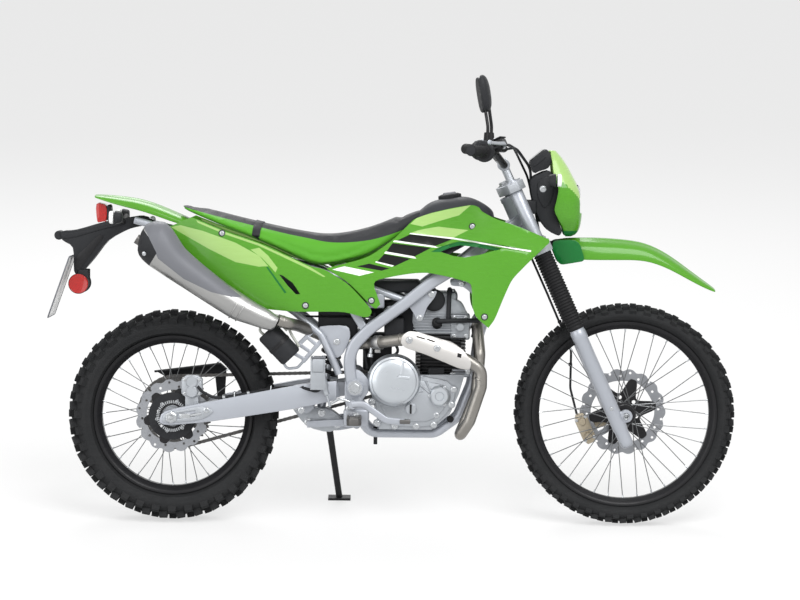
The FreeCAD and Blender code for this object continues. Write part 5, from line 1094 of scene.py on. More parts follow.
def shroudAt(x, z):
    y = sheetHalf(shroudSizes, x, z)
    over = nearestOnLine(x, z, shroudCrease)
    if over > 0:
        y -= min(over, 40) * shroudSizes["creaseSlope"] * 0.3
    elif over > -30 and inside((x, z), shroudRecess + shroudVent[:1]):
        y -= shroudSizes["recess"]
    return x, -y, z


def makeShrouds():
    # the pale bands are painted highlight; the darker green in the recess round the vent is painted shade
    zones = [(zone, "paleLime") for zone in shroudPaintedHighlights]
    zones += [(shroudRecess, "shadePlastic"), (shroudFlash, "whiteFilm")]
    zones += [(bar, "blackFilm") for bar in shroudBars] + [(line, "whiteFilm") for line in shroudLines]
    right = panelMesh("shroudRight", smoothOutline(shroudOutline, 3, (8, 9, 14, 24, 27)), [shroudVent],
                      zones, shroudSizes["spacing"], shroudAt, bikeFrame,
                      ["limePlastic", "paleLime", "shadePlastic", "whiteFilm", "blackFilm"],
                      shroudSizes["wall"], 0.9)
    left = otherSide(right, bikeFrame)
    dress(right, "chassis", "green_plastic", "shrouds")
    dress(left, "chassis", "green_plastic")
    places = screwPlaces(shroudAt, ((902, 907), (941, 637), (601, 681)))
    addScrews("shroudScrews", places, bikeFrame, "chassis", "spoke_steel")


makeShrouds()

print("side covers")
coverSizes = {"half": 140, "wall": 4, "low": 624, "high": 931, "spacing": 18, "bulge": 7,
              "rows": [(-100, 0.62, 0.56), (100, 0.86, 0.8), (300, 1.02, 0.97), (500, 1.03, 1.0),
                       (700, 1.04, 1.02)]}
coverOutline = [(-11, 895), (16, 857), (66, 792), (124, 751), (202, 700), (266, 653), (376, 644), (518, 647),
                (578, 630), (595, 632), (605, 651), (532, 730), (460, 774), (419, 781), (345, 815),
                (262, 851), (160, 884), (56, 925)]
coverSlot = [(322, 757), (334, 753), (364, 732), (387, 698), (374, 697), (350, 722)]
# the three pale zones below are painted highlight: a broad one at the rear, a thin one along the upper edge
# where the cover turns in, and a narrow tail
coverPaintedHighlight = [(0, 895), (22, 900), (90, 884), (190, 850), (262, 812), (290, 781), (262, 779), (190, 792),
             (110, 830), (40, 868), (-4, 893)]
coverPaintedEdgeHighlight = [(70, 916), (160, 881), (262, 848), (345, 812), (419, 778), (462, 752), (457, 750), (419, 770),
               (345, 804), (262, 841), (160, 874), (75, 908)]
coverPaintedHighlightTail = [(262, 836), (290, 812), (318, 776), (312, 762), (296, 780), (270, 806), (236, 830)]
coverPaintedGrooveShade = [(283, 779), (289, 779), (346, 702), (340, 700)]


def coverAt(x, z):
    return x, -sheetHalf(coverSizes, x, z), z


def makeSideCovers():
    # pale zones are painted highlight and the groove zone is painted shade
    zones = [(coverPaintedHighlight, "paleLime"), (coverPaintedHighlightTail, "paleLime"), (coverPaintedEdgeHighlight, "paleLime"),
             (coverPaintedGrooveShade, "shadePlastic")]
    right = panelMesh("sideCoverRight", smoothOutline(coverOutline, 3, (0, 17)), [coverSlot], zones,
                      coverSizes["spacing"], coverAt, bikeFrame, ["limePlastic", "paleLime", "shadePlastic"],
                      coverSizes["wall"], 0.9)
    left = otherSide(right, bikeFrame)
    dress(right, "chassis", "green_plastic", "side_covers")
    dress(left, "chassis", "green_plastic")
    places = screwPlaces(coverAt, ((149, 878), (403, 664)))
    addScrews("sideCoverScrews", places, bikeFrame, "chassis", "spoke_steel")


makeSideCovers()

print("tank and seat")
tankSizes = {"half": 124, "capRadius": 36, "capHeight": 15,
             "rows": [(690, 0.5, 800, 915, 0.7), (715, 0.55, 797, 932, 0.72), (745, 0.6, 792, 948, 0.74),
                      (768, 0.66, 796, 972, 0.72), (800, 0.72, 802, 984, 0.71), (840, 0.77, 820, 991, 0.7),
                      (884, 0.8, 845, 995, 0.68), (920, 0.7, 868, 984, 0.58), (955, 0.56, 897, 963, 0.5),
                      (972, 0.42, 907, 945, 0.36)]}


def makeTank():
    rows = []
    for x, wide, low, high, top in tankSizes["rows"]:
        half = [(0, low), (0.6 * wide, low), (0.95 * wide, low + (high - low) * 0.12),
                (wide, low + (high - low) * 0.4), (0.98 * wide, low + (high - low) * 0.66),
                (top * wide, high - (high - low) * 0.07), (top * wide * 0.6, high), (0, high + 1)]
        section = [Vector((x, y * tankSizes["half"], z)) for y, z in half]
        rows.append(section + [Vector((p.x, -p.y, p.z)) for p in reversed(section[1:-1])])
    tank = loft("tankRounded", rows, bikeFrame, "tankGrey")
    dress(tank, "chassis", "tank_grey", "fuel_tank")
    capPlace = bikeFrame @ Matrix.Translation((836, 0, 987)) @ Matrix.Rotation(math.radians(-8), 4, "Y") \
        @ Matrix.Rotation(math.radians(90), 4, "X")
    r, h = tankSizes["capRadius"], tankSizes["capHeight"]
    cap = lathe("capBody", [(0.01, -2), (r, -2), (r, 2), (r - 2, 3), (r - 2, h - 6), (r - 5, h - 2),
                            (r - 11, h), (0.01, h)], capPlace, "blackPlastic", 48)
    grip = ringOf(lathe("capRib", [(0.01, 3), (2.2, 3), (1.6, h - 4), (0.01, h - 3)],
                        Matrix.Translation((r - 2.6, 0, 0)), "blackPlastic", 8), 26, capPlace,
                  "blackPlastic")
    shares = [(-1, -0.5, -1), (1, -0.5, -1), (1, -0.5, 1), (-1, -0.5, 1),
              (-0.8, 5, -0.8), (0.8, 5, -0.8), (0.8, 3, 0.8), (-0.8, 3, 0.8)]
    corners = [(x * 22, h + y, z * 10) for x, y, z in shares]
    flap = bevelled(painted(meshPiece("capFlap", corners, boxFaces, capPlace), "greyGuard"), 1.4)
    dress(joined("tankCapRibbed", [cap, grip, flap]), "chassis", "black_plastic", "fuel_cap")


makeTank()

seatSizes = {"half": 112, "voxel": 6, "pressure": 4, "frames": 20, "lift": 8, "strapWidth": 24,
             "rows": [(22, 0.6, 951, 962), (60, 0.68, 934, 951), (156, 0.8, 894, 926), (249, 0.9, 859, 904),
                      (345, 0.97, 819, 883), (415, 1.0, 784, 872), (447, 1.0, 781, 868),
                      (484, 1.0, 786, 868), (530, 0.95, 797, 874), (590, 0.86, 811, 888),
                      (640, 0.74, 846, 907), (684, 0.62, 874, 927), (712, 0.55, 893, 940),
                      (736, 0.48, 916, 949), (757, 0.42, 938, 954)]}


def seatTop(x):
    return curveAt(seatSizes["rows"], x, 3)


def makeSeat():
    rows = []
    for x, wide, low, high in seatSizes["rows"]:
        tall = high - low
        half = [(0, low), (wide * 0.9, low), (wide * 0.97, low + tall * 0.12), (wide, low + tall * 0.45),
                (wide * 0.96, low + tall * 0.72), (wide * 0.78, high - tall * 0.06), (wide * 0.5, high),
                (0, high)]
        section = [Vector((x, y * seatSizes["half"], z)) for y, z in half]
        rows.append(section + [Vector((p.x, -p.y, p.z)) for p in reversed(section[1:-1])])
    seat = loft("seatPadded", rows, bikeFrame, "seatCover", levels=1)
    remesh = seat.modifiers.new("cells", "REMESH")
    remesh.mode = "VOXEL"
    remesh.voxel_size = seatSizes["voxel"] / 1000
    seat = settled(seat)
    seat.name = "seatPadded"
    start = [v.co.copy() for v in seat.data.vertices]
    hold = seat.vertex_groups.new(name="hold")
    back = bikeFrame.inverted()
    for v in seat.data.vertices:
        place = back @ v.co
        low = curveAt(seatSizes["rows"], place.x, 2)
        if place.z < low + 12 or place.x < 40 or place.x > 700:
            hold.add([v.index], 1, "REPLACE")
    cloth = seat.modifiers.new("cover", "CLOTH")
    cloth.settings.quality = 5
    cloth.settings.use_pressure = True
    cloth.settings.uniform_pressure_force = seatSizes["pressure"]
    cloth.settings.effector_weights.gravity = 0
    cloth.settings.vertex_group_mass = "hold"
    cloth.settings.tension_stiffness = 30
    cloth.collision_settings.use_collision = False
    for step in range(1, seatSizes["frames"] + 1):
        bpy.context.scene.frame_set(step)
    shape = seat.evaluated_get(bpy.context.evaluated_depsgraph_get())
    moved = [v.co.copy() for v in shape.data.vertices]
    bpy.context.scene.frame_set(1)
    seat.modifiers.clear()
    limit = seatSizes["lift"] / 1000
    for v, first, last in zip(seat.data.vertices, start, moved):
        shift = last - first
        v.co = first + (shift if shift.length < limit else shift.normalized() * limit)
    seat = subdivided(seat, 1)
    seat.name = "seatPadded"
    seat.data.materials.clear()
    seat.data.materials.append(materials["seatCover"])
    seam = seat.data.attributes.new("seam", "FLOAT", "POINT")
    back = bikeFrame.inverted()
    band = [(0, 5), (300, 6), (412, 9), (470, 14), (560, 24), (640, 34), (700, 40), (760, 44)]
    for v in seat.data.vertices:
        place = back @ v.co
        high = seatTop(place.x)
        deep = curveAt(band, place.x, 1)
        seam.data[v.index].value = place.z - (high - deep)
    dress(seat, "chassis", "seat_cover", "seat")
    return seat


def seatStrap(seat):
    # a strap over the seat, laid on its surface a little proud
    back = bikeFrame.inverted()
    rows = []
    shape = bmesh.new()
    shape.from_mesh(seat.data)
    tree = BVHTree.FromBMesh(shape)
    shape.free()
    count = 26
    for side in (-1, 1):
        row = []
        for i in range(count + 1):
            turn = math.radians(-14 + 208 * i / count)
            out = Vector((0, math.cos(turn), math.sin(turn)))
            centre = Vector((249 + out.z * 12 + side * seatSizes["strapWidth"] / 2, 0, 868))
            start = bikeFrame @ (centre + out * 260)
            aim = (bikeFrame.to_3x3() @ -out).normalized()
            hit = tree.ray_cast(start, aim)[0]
            point = back @ hit if hit else centre + out * 100
            row.append((point, out))
        rows.append(row)
    points = [p + out * proud for proud in (0.4, 3.2) for row in rows for p, out in row]
    size = count + 1
    faces = []
    for base in (0, 2 * size):
        faces += [(base + i, base + i + 1, base + size + i + 1, base + size + i) for i in range(count)]
    for base in (0, size):
        faces += [(base + i, base + i + 1, base + 2 * size + i + 1, base + 2 * size + i)
                  for i in range(count)]
    faces += [(0, size, 3 * size, 2 * size), (count, size + count, 3 * size + count, 2 * size + count)]
    strap = painted(meshPiece("seatStrap", points, faces, bikeFrame), "blackPlastic")
    strap = bevelled(strap, 0.8, 2, 50)
    strap.name = "seatStrap"
    dress(strap, "chassis", "seat_cover")


seatStrap(makeSeat())

print("fenders and tail")
fenderSizes = {"half": 62, "wall": 3.6, "rows": [
    (1168, 868, 0.8, 58, 2), (1225, 869, 0.93, 63, 5), (1290, 868, 1.0, 62, 6), (1360, 864, 1.0, 57, 6),
    (1430, 857, 1.0, 49, 5), (1500, 824, 0.92, 40, 5), (1572, 771, 0.78, 27, 4), (1620, 738, 0.62, 17, 3),
    (1648, 720, 0.46, 9, 1)]}


def fenderSheet(name, rows, half, wall, place, look, levels=1):
    # an arched sheet along rows of (x, z, width share, side drop, ridge), given its wall afterwards
    sections = []
    for x, z, wide, drop, ridge in rows:
        side = [(1.0, -drop), (0.97, -drop * 0.62), (0.86, -drop * 0.3), (0.62, -drop * 0.1), (0.34, 0),
                (0.3, ridge * 0.6), (0.1, ridge)]
        row = [Vector((x, y * wide * half, z + dz)) for y, dz in side]
        sections.append(row + [Vector((p.x, -p.y, p.z)) for p in reversed(row)])
    size = len(sections[0])
    points = [p for row in sections for p in row]
    faces = [(i * size + j, i * size + j + 1, (i + 1) * size + j + 1, (i + 1) * size + j)
             for i in range(len(sections) - 1) for j in range(size - 1)]
    sheet = painted(meshPiece(name, points, faces, place), look)
    up = place.to_3x3() @ Vector((0, 0, 1))
    if sum(f.normal.dot(up) * f.area for f in sheet.data.polygons) < 0:
        sheet.data.flip_normals()
    solid = sheet.modifiers.new("wall", "SOLIDIFY")
    solid.thickness = wall / 1000
    solid.offset = -1
    sheet = settled(sheet)
    sheet.name = name
    return subdivided(sheet, levels)


def makeFenders():
    front = fenderSheet("frontFenderArched", fenderSizes["rows"], fenderSizes["half"], fenderSizes["wall"],
                        bikeFrame, "limePlastic", 2)
    # the skirt at the fender's root, in a darker green that is painted shade
    root = panelMesh("fenderRoot", smoothOutline([(1146, 842), (1150, 866), (1226, 868), (1247, 804),
                                                  (1214, 798), (1168, 790)], 3), [], [], 22,
                     lambda x, z: (x, -52 - 12 * min(1, max(0, (x - 1146) / 60)), z), bikeFrame,
                     ["shadePlastic"], 3, 0.8)
    other = otherSide(root, bikeFrame)
    tongue = sweep("fenderTongue", [Vector((1122, 0, 850)), Vector((1180, 0, 857)), Vector((1250, 0, 858))],
                   boxSection(34, 18, 5), bikeFrame, "blackPlastic")
    dress(joined("frontFenderWhole", [front, root, other, tongue]), "steering", "green_plastic",
          "front_fender")
    rear = fenderSheet("rearFenderArched", [(90, 893, 1.0, 12, 0), (40, 922, 0.99, 24, 0),
                                            (0, 937, 0.96, 30, 2), (-50, 957, 0.92, 32, 3),
                                            (-100, 972, 0.86, 31, 4), (-150, 979, 0.8, 27, 4),
                                            (-195, 984, 0.72, 20, 3), (-245, 988, 0.5, 9, 1)], 84, 3.6,
                       bikeFrame, "limePlastic", 2)
    dress(rear, "chassis", "green_plastic", "rear_fender")


makeFenders()


def turnedFrame(place, start, end):
    # a frame at one place whose Y axis points to another
    along = Vector(end) - Vector(start)
    turn = Vector((0, 1, 0)).rotation_difference(along).to_matrix().to_4x4()
    return place @ Matrix.Translation(start) @ turn


def uprightFrame(place, x, y, z=0):
    return turnedFrame(place, (x, y, z), (x, y, z + 1))


def platePiece(name, outline, near, far, edge, place, look, holes=(), steps=2, corner=None):
    # a flat plate across Y between two distances, its corners eased
    outline = smoothOutline(outline, steps, corner) if steps else list(outline)
    loops = [outline] + [list(hole) for hole in holes]
    flat, edges = [], []
    for loop in loops:
        first = len(flat)
        flat += [Vector(point) for point in loop]
        edges += [(first + i, first + (i + 1) % len(loop)) for i in range(len(loop))]
    flat, _, triangles, *rest = delaunay_2d_cdt(flat, edges, [], 0, 0.01)
    faces = []
    for triangle in triangles:
        middle = tuple(sum((flat[i] for i in triangle), Vector((0, 0))) / 3)
        if inside(middle, outline) and not any(inside(middle, hole) for hole in holes):
            faces.append(tuple(triangle))
    sheet = painted(meshPiece(name, [(p[0], near, p[1]) for p in flat], faces, place, 20), look)
    across = (place.to_3x3() @ Vector((0, near - far, 0))).normalized()
    if sum(f.normal.dot(across) * f.area for f in sheet.data.polygons) < 0:
        sheet.data.flip_normals()
    solid = sheet.modifiers.new("wall", "SOLIDIFY")
    solid.thickness = abs(far - near) / 1000
    solid.offset = -1
    sheet = settled(sheet, 30)
    return bevelled(sheet, edge, 2, 60) if edge else sheet


def bolt(place, position, out, radius=7, look="brightSteel"):
    return copiesAt(screwShape("boltHead", radius, radius * 0.75), [(position, out, 1)], place, look)


def bolts(place, places, radius=7, look="brightSteel"):
    return copiesAt(screwShape("boltHead", radius, radius * 0.75), [(p, out, 1) for p, out in places], place,
                    look)


print("fork and handlebar")
forkSizes = {"reach": 20, "half": 95, "tube": 20.5, "tubeTop": 791, "bootLow": 301.5, "bootHigh": 553.2,
             "bootInner": 20.8, "boot": 27, "neck": 23.6, "ribs": 25, "leg": 22.5, "legFoot": -89,
             "axleLead": 51.5, "stem": 14, "barClamp": 17}


def makeFork():
    tubes, boots, legs = [], [], []
    low, high, count = forkSizes["bootLow"], forkSizes["bootHigh"], forkSizes["ribs"]
    pitch = (high - low - 22) / count
    ribs = [(forkSizes["neck"], low), (forkSizes["neck"] + 2, low + 2), (forkSizes["neck"] + 2, low + 9),
            (forkSizes["neck"], low + 11)]
    for i in range(count):
        z = low + 11 + pitch * i
        ribs += [(forkSizes["neck"], z + pitch * 0.1), (forkSizes["boot"] - 0.6, z + pitch * 0.42),
                 (forkSizes["boot"], z + pitch * 0.55), (forkSizes["boot"] - 0.6, z + pitch * 0.68)]
    ribs += [(forkSizes["neck"], high - 11), (forkSizes["neck"] + 1.5, high - 9),
             (forkSizes["neck"] + 1.5, high)]
    ribs += [(forkSizes["bootInner"], high), (forkSizes["bootInner"], low)]
    top, r, leg = forkSizes["tubeTop"], forkSizes["tube"], forkSizes["leg"]
    for side in (-1, 1):
        stand = uprightFrame(steerFrame, forkSizes["reach"], side * forkSizes["half"])
        tubes.append(lathe("forkTube", [(0.01, high + 1), (r, high + 1), (r, top - 5), (r - 1, top - 3.5),
                                        (r - 4, top - 3.2), (r - 4.5, top), (8, top), (7.4, top - 4),
                                        (0.01, top - 4)], stand, "silverPaint"))
        boots.append(lathe("forkBoot", ribs, stand, "bootRubber", 56, 50))
        foot = forkSizes["legFoot"]
        legs.append(lathe("forkLeg", [(0.01, foot), (10, foot), (15, foot + 2), (19, foot + 8),
                                      (20.5, foot + 18), (20.5, -34), (leg, -28), (leg, 268),
                                      (leg + 1.6, 271), (leg + 1.6, 292), (leg, 295), (leg, 300.8),
                                      (0.01, 300.8)], stand, "silverPaint"))
        legs.append(roundedBox("legBridge", (16, side * 95 - 13, -19), (48, side * 95 + 13, 19), 5,
                               steerFrame, "silverPaint"))
        collar = [(10.2, -14), (17, -14), (19, -12), (19, 12), (17, 14), (10.2, 14)]
        legs.append(lathe("legBoss", collar,
                          steerFrame @ Matrix.Translation((forkSizes["axleLead"], side * 95, 0)),
                          "silverPaint"))
        legs.append(bolts(steerFrame, [((20, side * 117.5, 40), (0, side, 0)),
                                       ((30, side * 108, -14), (0, side, 0)),
                                       ((30, side * 108, 14), (0, side, 0))], 4.5))
    dress(joined("forkUpperTubes", tubes), "steering", "fork_tube_steel", "fork_tubes")
    dress(joined("forkBellows", boots), "steering", "boot_rubber", "fork_boots")
    dress(joined("forkLowerLegs", legs), "steering", "fork_alloy", "fork_legs")
    parts = [softened("fork_bridges", 3.5, "castAlloy", 3)]
    for side in (-1, 1):
        for z in (566, 578, 764, 778):
            parts.append(bolt(steerFrame, (-2, side * 78, z), (-1, 0, 0), 4.5))
        mount = Matrix.Translation((21, side * 38, 843))
        clamp = [(11.3, -13), (forkSizes["barClamp"], -13), (forkSizes["barClamp"] + 1, -11),
                 (forkSizes["barClamp"] + 1, 11), (forkSizes["barClamp"], 13), (11.3, 13)]
        parts.append(lathe("barClamp", clamp, steerFrame @ mount, "satinAlloy", 40))
        parts.append(bolts(steerFrame, [((21 + dx, side * 38 + dy, 857), (0, 0, 1)) for dx in (-12, 12)
                                        for dy in (-7, 7)], 4))
    parts.append(lathe("stemNut", [(0.01, 0), (20, 0), (20, 3), (16, 4), (16, 10), (14, 12), (0.01, 12)],
                       uprightFrame(steerFrame, 0, 0, 785.5), "brightSteel", 6, 20))
    dress(joined("forkBridgesWhole", parts), "steering", "fork_alloy", "fork_bridges")


makeFork()

barSizes = {"radius": 11, "end": (-59, 405, 929), "knee": (7, 186.3, 893), "riser": (21, 64.8, 843),
            "grip": 122, "gripRadius": 16.5, "lever": 165}


def barPlace(side):
    # a frame at the bar's end whose Y axis runs inwards along the bar
    end, knee = Vector(barSizes["end"]), Vector(barSizes["knee"])
    end.y, knee.y = end.y * side, knee.y * side
    return turnedFrame(steerFrame, end, knee), end, (knee - end).normalized()


def makeHandlebar():
    right = [(x, -y, z) for x, y, z in (barSizes["end"], barSizes["knee"], barSizes["riser"])]
    left = [barSizes["riser"], barSizes["knee"], barSizes["end"]]
    dress(pipe("handlebarTube", right + left, barSizes["radius"], 60, steerFrame, "blackMetal", 24),
          "steering", "black_metal", "handlebar")
    grips, controls = [], []
    long, r = barSizes["grip"], barSizes["gripRadius"]
    for side in (-1, 1):
        place, end, inward = barPlace(side)
        profile = [(barSizes["radius"] + 0.4, 0.4), (r - 2, 0.4), (r, 2.5)]
        for i in range(16):
            y = 7 + i * 6.4
            profile += [(r, y), (r - 1.3, y + 0.6), (r - 1.3, y + 2.2), (r, y + 2.8)]
        profile += [(r, long - 8), (19, long - 5), (22, long - 4), (22, long - 0.5),
                    (barSizes["radius"] + 0.4, long - 0.5)]
        grips.append(lathe("grip", profile, place, "bootRubber", 48))
        grips.append(lathe("barEnd", [(0.01, -2.5), (9, -2.5), (r - 2.5, -1), (r - 2.5, 0.3), (0.01, 0.3)],
                           place, "blackPlastic", 32))
        start = long + 1
        inner = barSizes["radius"] + 0.3
        controls.append(lathe("controlDrum", [(inner, start), (26, start), (31, start + 3), (32, start + 8),
                                              (31, start + 15), (25, start + 18), (23, start + 42),
                                              (21, start + 44), (inner, start + 44)],
                              place, "blackPlastic", 56))
        up = Vector((0, 0, 1))
        ahead = (inward.cross(up) * -side).normalized()
        perch = end + inward * (start + 52)
        controls.append(lathe("leverPerch", [(inner, start + 45), (18, start + 45), (19, start + 47),
                                             (19, start + 66), (17, start + 68), (inner, start + 68)], place,
                              "blackMetal", 40))
        hinge = perch + ahead * 46 + inward * 4
        controls.append(sweep("perchArm", [perch + ahead * 8, perch + ahead * 26, hinge],
                              boxSection(24, 13, 4), steerFrame, "blackMetal", [1.15, 1.0, 0.9]))
        controls.append(bolts(steerFrame, [(hinge + up * 6, (0, 0, 1)), (hinge - up * 6, (0, 0, -1))], 5))
        tip = end + inward * 2 + ahead * 62
        route = roundedRoute([hinge, hinge + ahead * 16 - inward * 22, tip.lerp(hinge, 0.55) + ahead * 6,
                              tip.lerp(hinge, 0.18) + ahead * 1, tip], 60, 6)
        controls.append(sweep("lever", route, boxSection(13, 7, 3), steerFrame, "satinAlloy",
                              [1 - 0.25 * i / (len(route) - 1) for i in range(len(route))]))
        controls.append(lathe("leverBall", [(0.01, -7), (4.5, -6), (7, -2.5), (7.4, 0), (7, 2.5), (4.5, 6),
                                            (0.01, 7)],
                              turnedFrame(steerFrame, tip, tip + inward), "satinAlloy", 24))
        box = end + inward * (start + 22) - ahead * 6 + up * 12
        boxFrame = turnedFrame(steerFrame, box, box + inward)
        controls.append(roundedBox("switchBox", (-17, -17, -14), (17, 17, 16), 5, boxFrame, "blackPlastic"))
        keys = [roundedBox("switchKey", (-5 + dx, -4 + dy, 0), (5 + dx, 4 + dy, 4), 1.5, Matrix(), key)
                for dx, dy, key in ((-7, -8, "redLens" if side < 0 else "greyGuard"), (7, 5, "greyGuard"))]
        facing = turnedFrame(steerFrame, box - ahead * 15,
                             box - ahead * 30) @ Matrix.Rotation(math.radians(-90), 4, "X")
        for key in keys:
            key.data.transform(facing)
            controls.append(key)
    place, end, inward = barPlace(-1)
    ahead = (inward.cross(Vector((0, 0, 1)))).normalized()
    tank = end + inward * 190 + ahead * 34 + Vector((0, 0, 12))
    tankFrame = turnedFrame(steerFrame, tank, tank + inward)
    controls.append(roundedBox("brakeReservoir", (-19, -26, -14), (19, 26, 11), 5, tankFrame, "blackMetal"))
    controls.append(roundedBox("reservoirLid", (-21, -28, 11.3), (21, 28, 15.5), 2, tankFrame,
                               "blackPlastic"))
    controls.append(bolts(tankFrame, [((0, -21, 15.5), (0, 0, 1)), ((0, 21, 15.5), (0, 0, 1))], 3.4))
    controls.append(lathe("brakeCylinder", [(0.01, 0), (9, 0), (11, 2), (11, 58), (8, 62), (8, 74),
                                            (0.01, 74)],
                          turnedFrame(steerFrame, tank - Vector((0, 0, 16)) - inward * 30,
                                      tank - Vector((0, 0, 16)) + inward),
                          "blackMetal", 32))
    dress(joined("barGripsRibbed", grips), "steering", "grip_rubber", "grips")
    dress(joined("barControlsWhole", controls), "steering", "black_plastic", "bar_controls")
    lines = []
    for side in (-1, 1):
        place, end, inward = barPlace(side)
        ahead = (inward.cross(Vector((0, 0, 1))) * -side).normalized()
        first = end + inward * 150 + ahead * 26
        lines.append(pipe("cable", [first, first + ahead * 34 + inward * 40, Vector((78, side * 70, 868)),
                                    Vector((92, side * 30, 800)), Vector((62, side * 22, 730)),
                                    Vector((52, side * 26, 640))],
                          3.2, 60, steerFrame, "blackPlastic", 10))
    first = tank - Vector((0, 0, 16)) + inward * 46
    lines.append(pipe("masterHose", [first, first + inward * 30 + ahead * 12, Vector((70, -44, 850)),
                                     Vector((74, 30, 780)), Vector((60, 52, 700)), Vector((38, 74, 600)),
                                     Vector((0, 84, 556))], 3.6, 60,
                      steerFrame, "blackPlastic", 12))
    dress(joined("barCables", lines), "steering", "black_plastic")


makeHandlebar()

mirrorSizes = {"wide": 31, "tall": 57, "stem": 5}


def makeMirrors():
    parts = []
    toBike = bikeFrame.inverted() @ steerFrame
    for side in (-1, 1):
        end, inward = barPlace(side)[1:]
        base = toBike @ (end + inward * 208 + Vector((0, 0, 11)))
        knee = base + Vector((2, 0, 66))
        head = Vector((knee.x - 18, knee.y + side * 34, 1306))
        parts.append(pipe("mirrorStem", [base, knee, head - Vector((-6, side * 6, 24))], mirrorSizes["stem"],
                          50, bikeFrame, "blackMetal", 16))
        parts.append(lathe("mirrorBoot", [(0.01, 0), (13, 0), (14, 2), (14, 12), (12.5, 14), (9.5, 52),
                                          (8, 54), (0.01, 54)],
                           turnedFrame(bikeFrame, base - Vector((0, 0, 6)), base + Vector((0, 0, 9))),
                           "bootRubber", 32))
        rows = []
        tilt = Matrix.Rotation(math.radians(-8), 4, "Y") @ Matrix.Rotation(math.radians(side * 12), 4, "Z")
        for x, size in ((-11, 0.9), (-10, 0.97), (-7, 1.0), (0, 0.98), (6, 0.86), (10, 0.62), (12, 0.3)):
            row = []
            for i in range(20):
                turn = 2 * math.pi * i / 20
                y, z = math.cos(turn), math.sin(turn)
                y = squared(y, 0.72) * mirrorSizes["wide"] * size
                z = squared(z, 0.8) * mirrorSizes["tall"] * size
                row.append(head + tilt @ Vector((x, y + z * 0.12 * side, z)))
            rows.append(row)
        parts.append(loft("mirrorHead", rows, bikeFrame, "blackPlastic", levels=1))
        glass = [head + tilt @ Vector((-9.2, (p - head).dot(tilt @ Vector((0, 1, 0))) * 0.94,
                                       (p - head).dot(tilt @ Vector((0, 0, 1))) * 0.94)) for p in rows[1]]
        back = [p + tilt @ Vector((1.6, 0, 0)) for p in glass]
        parts.append(painted(meshPiece("mirrorGlass", glass + back, slabFaces(20), bikeFrame), "mirrorFace"))
    dress(joined("mirrorsWhole", parts), "steering", "black_plastic", "mirrors")


makeMirrors()

print("headlamp and cowl")
cowlSizes = {"half": 116, "wall": 4, "lampHalf": 80, "rows": [
    (877, 1186, 1205, 0.44), (884, 1182, 1219, 0.54), (903, 1177, 1230, 0.68), (930, 1162, 1235, 0.84),
    (957, 1150, 1236, 0.93), (990, 1156, 1234, 0.99), (1023, 1160, 1226, 1.0), (1045, 1152, 1215, 0.95),
    (1061, 1147, 1206, 0.9), (1082, 1144, 1195, 0.81), (1103, 1142, 1182, 0.72), (1122, 1139, 1168, 0.62),
    (1137, 1137, 1154, 0.5)]}


def cowlAt(turn, z):
    # turn goes from 0 at the right rear edge through 0.5 at the nose to 1 at the left
    rows = cowlSizes["rows"]
    back, front = curveAt(rows, z, 1), curveAt(rows, z, 2)
    half = curveAt(rows, z, 3) * cowlSizes["half"]
    angle = math.pi * turn
    bow = math.sin(angle)
    x = back + (front - back) * (1 - (1 - bow) ** 1.7)
    side = -math.cos(angle)
    y = half * squared(side, 0.8)
    return Vector((x, y, z))


lampSizes = {"x": 1222, "z": 991, "half": 74, "tall": 40, "sides": 28, "wall": 2}


def lampCup(name, rings, look):
    # the lamp's bowl or lens over rings of (depth, share), the last one closed, and its first ring
    sides, points = lampSizes["sides"], []
    for deep, size in rings:
        for i in range(sides):
            turn = 2 * math.pi * i / sides
            y = squared(math.cos(turn), 0.6) * lampSizes["half"] * size
            z = squared(math.sin(turn), 0.6) * lampSizes["tall"] * size
            points.append(Vector((lampSizes["x"] + deep - abs(y) * 0.16, y, lampSizes["z"] + z)))
    last = (len(rings) - 1) * sides
    faces = [(i + j, i + (j + 1) % sides, i + sides + (j + 1) % sides, i + sides + j)
             for i in range(0, last, sides) for j in range(sides)] + [tuple(range(last, last + sides))]
    cup = painted(meshPiece(name, points, faces, bikeFrame, 60), look)
    nose = bikeFrame.to_3x3() @ Vector((1, 0, 0))
    if sum(f.normal.dot(nose) * f.area for f in cup.data.polygons) < 0:
        cup.data.flip_normals()
    solid = cup.modifiers.new("wall", "SOLIDIFY")
    solid.thickness = lampSizes["wall"] / 1000
    solid.offset = -1
    return settled(cup, 50), points[:sides]


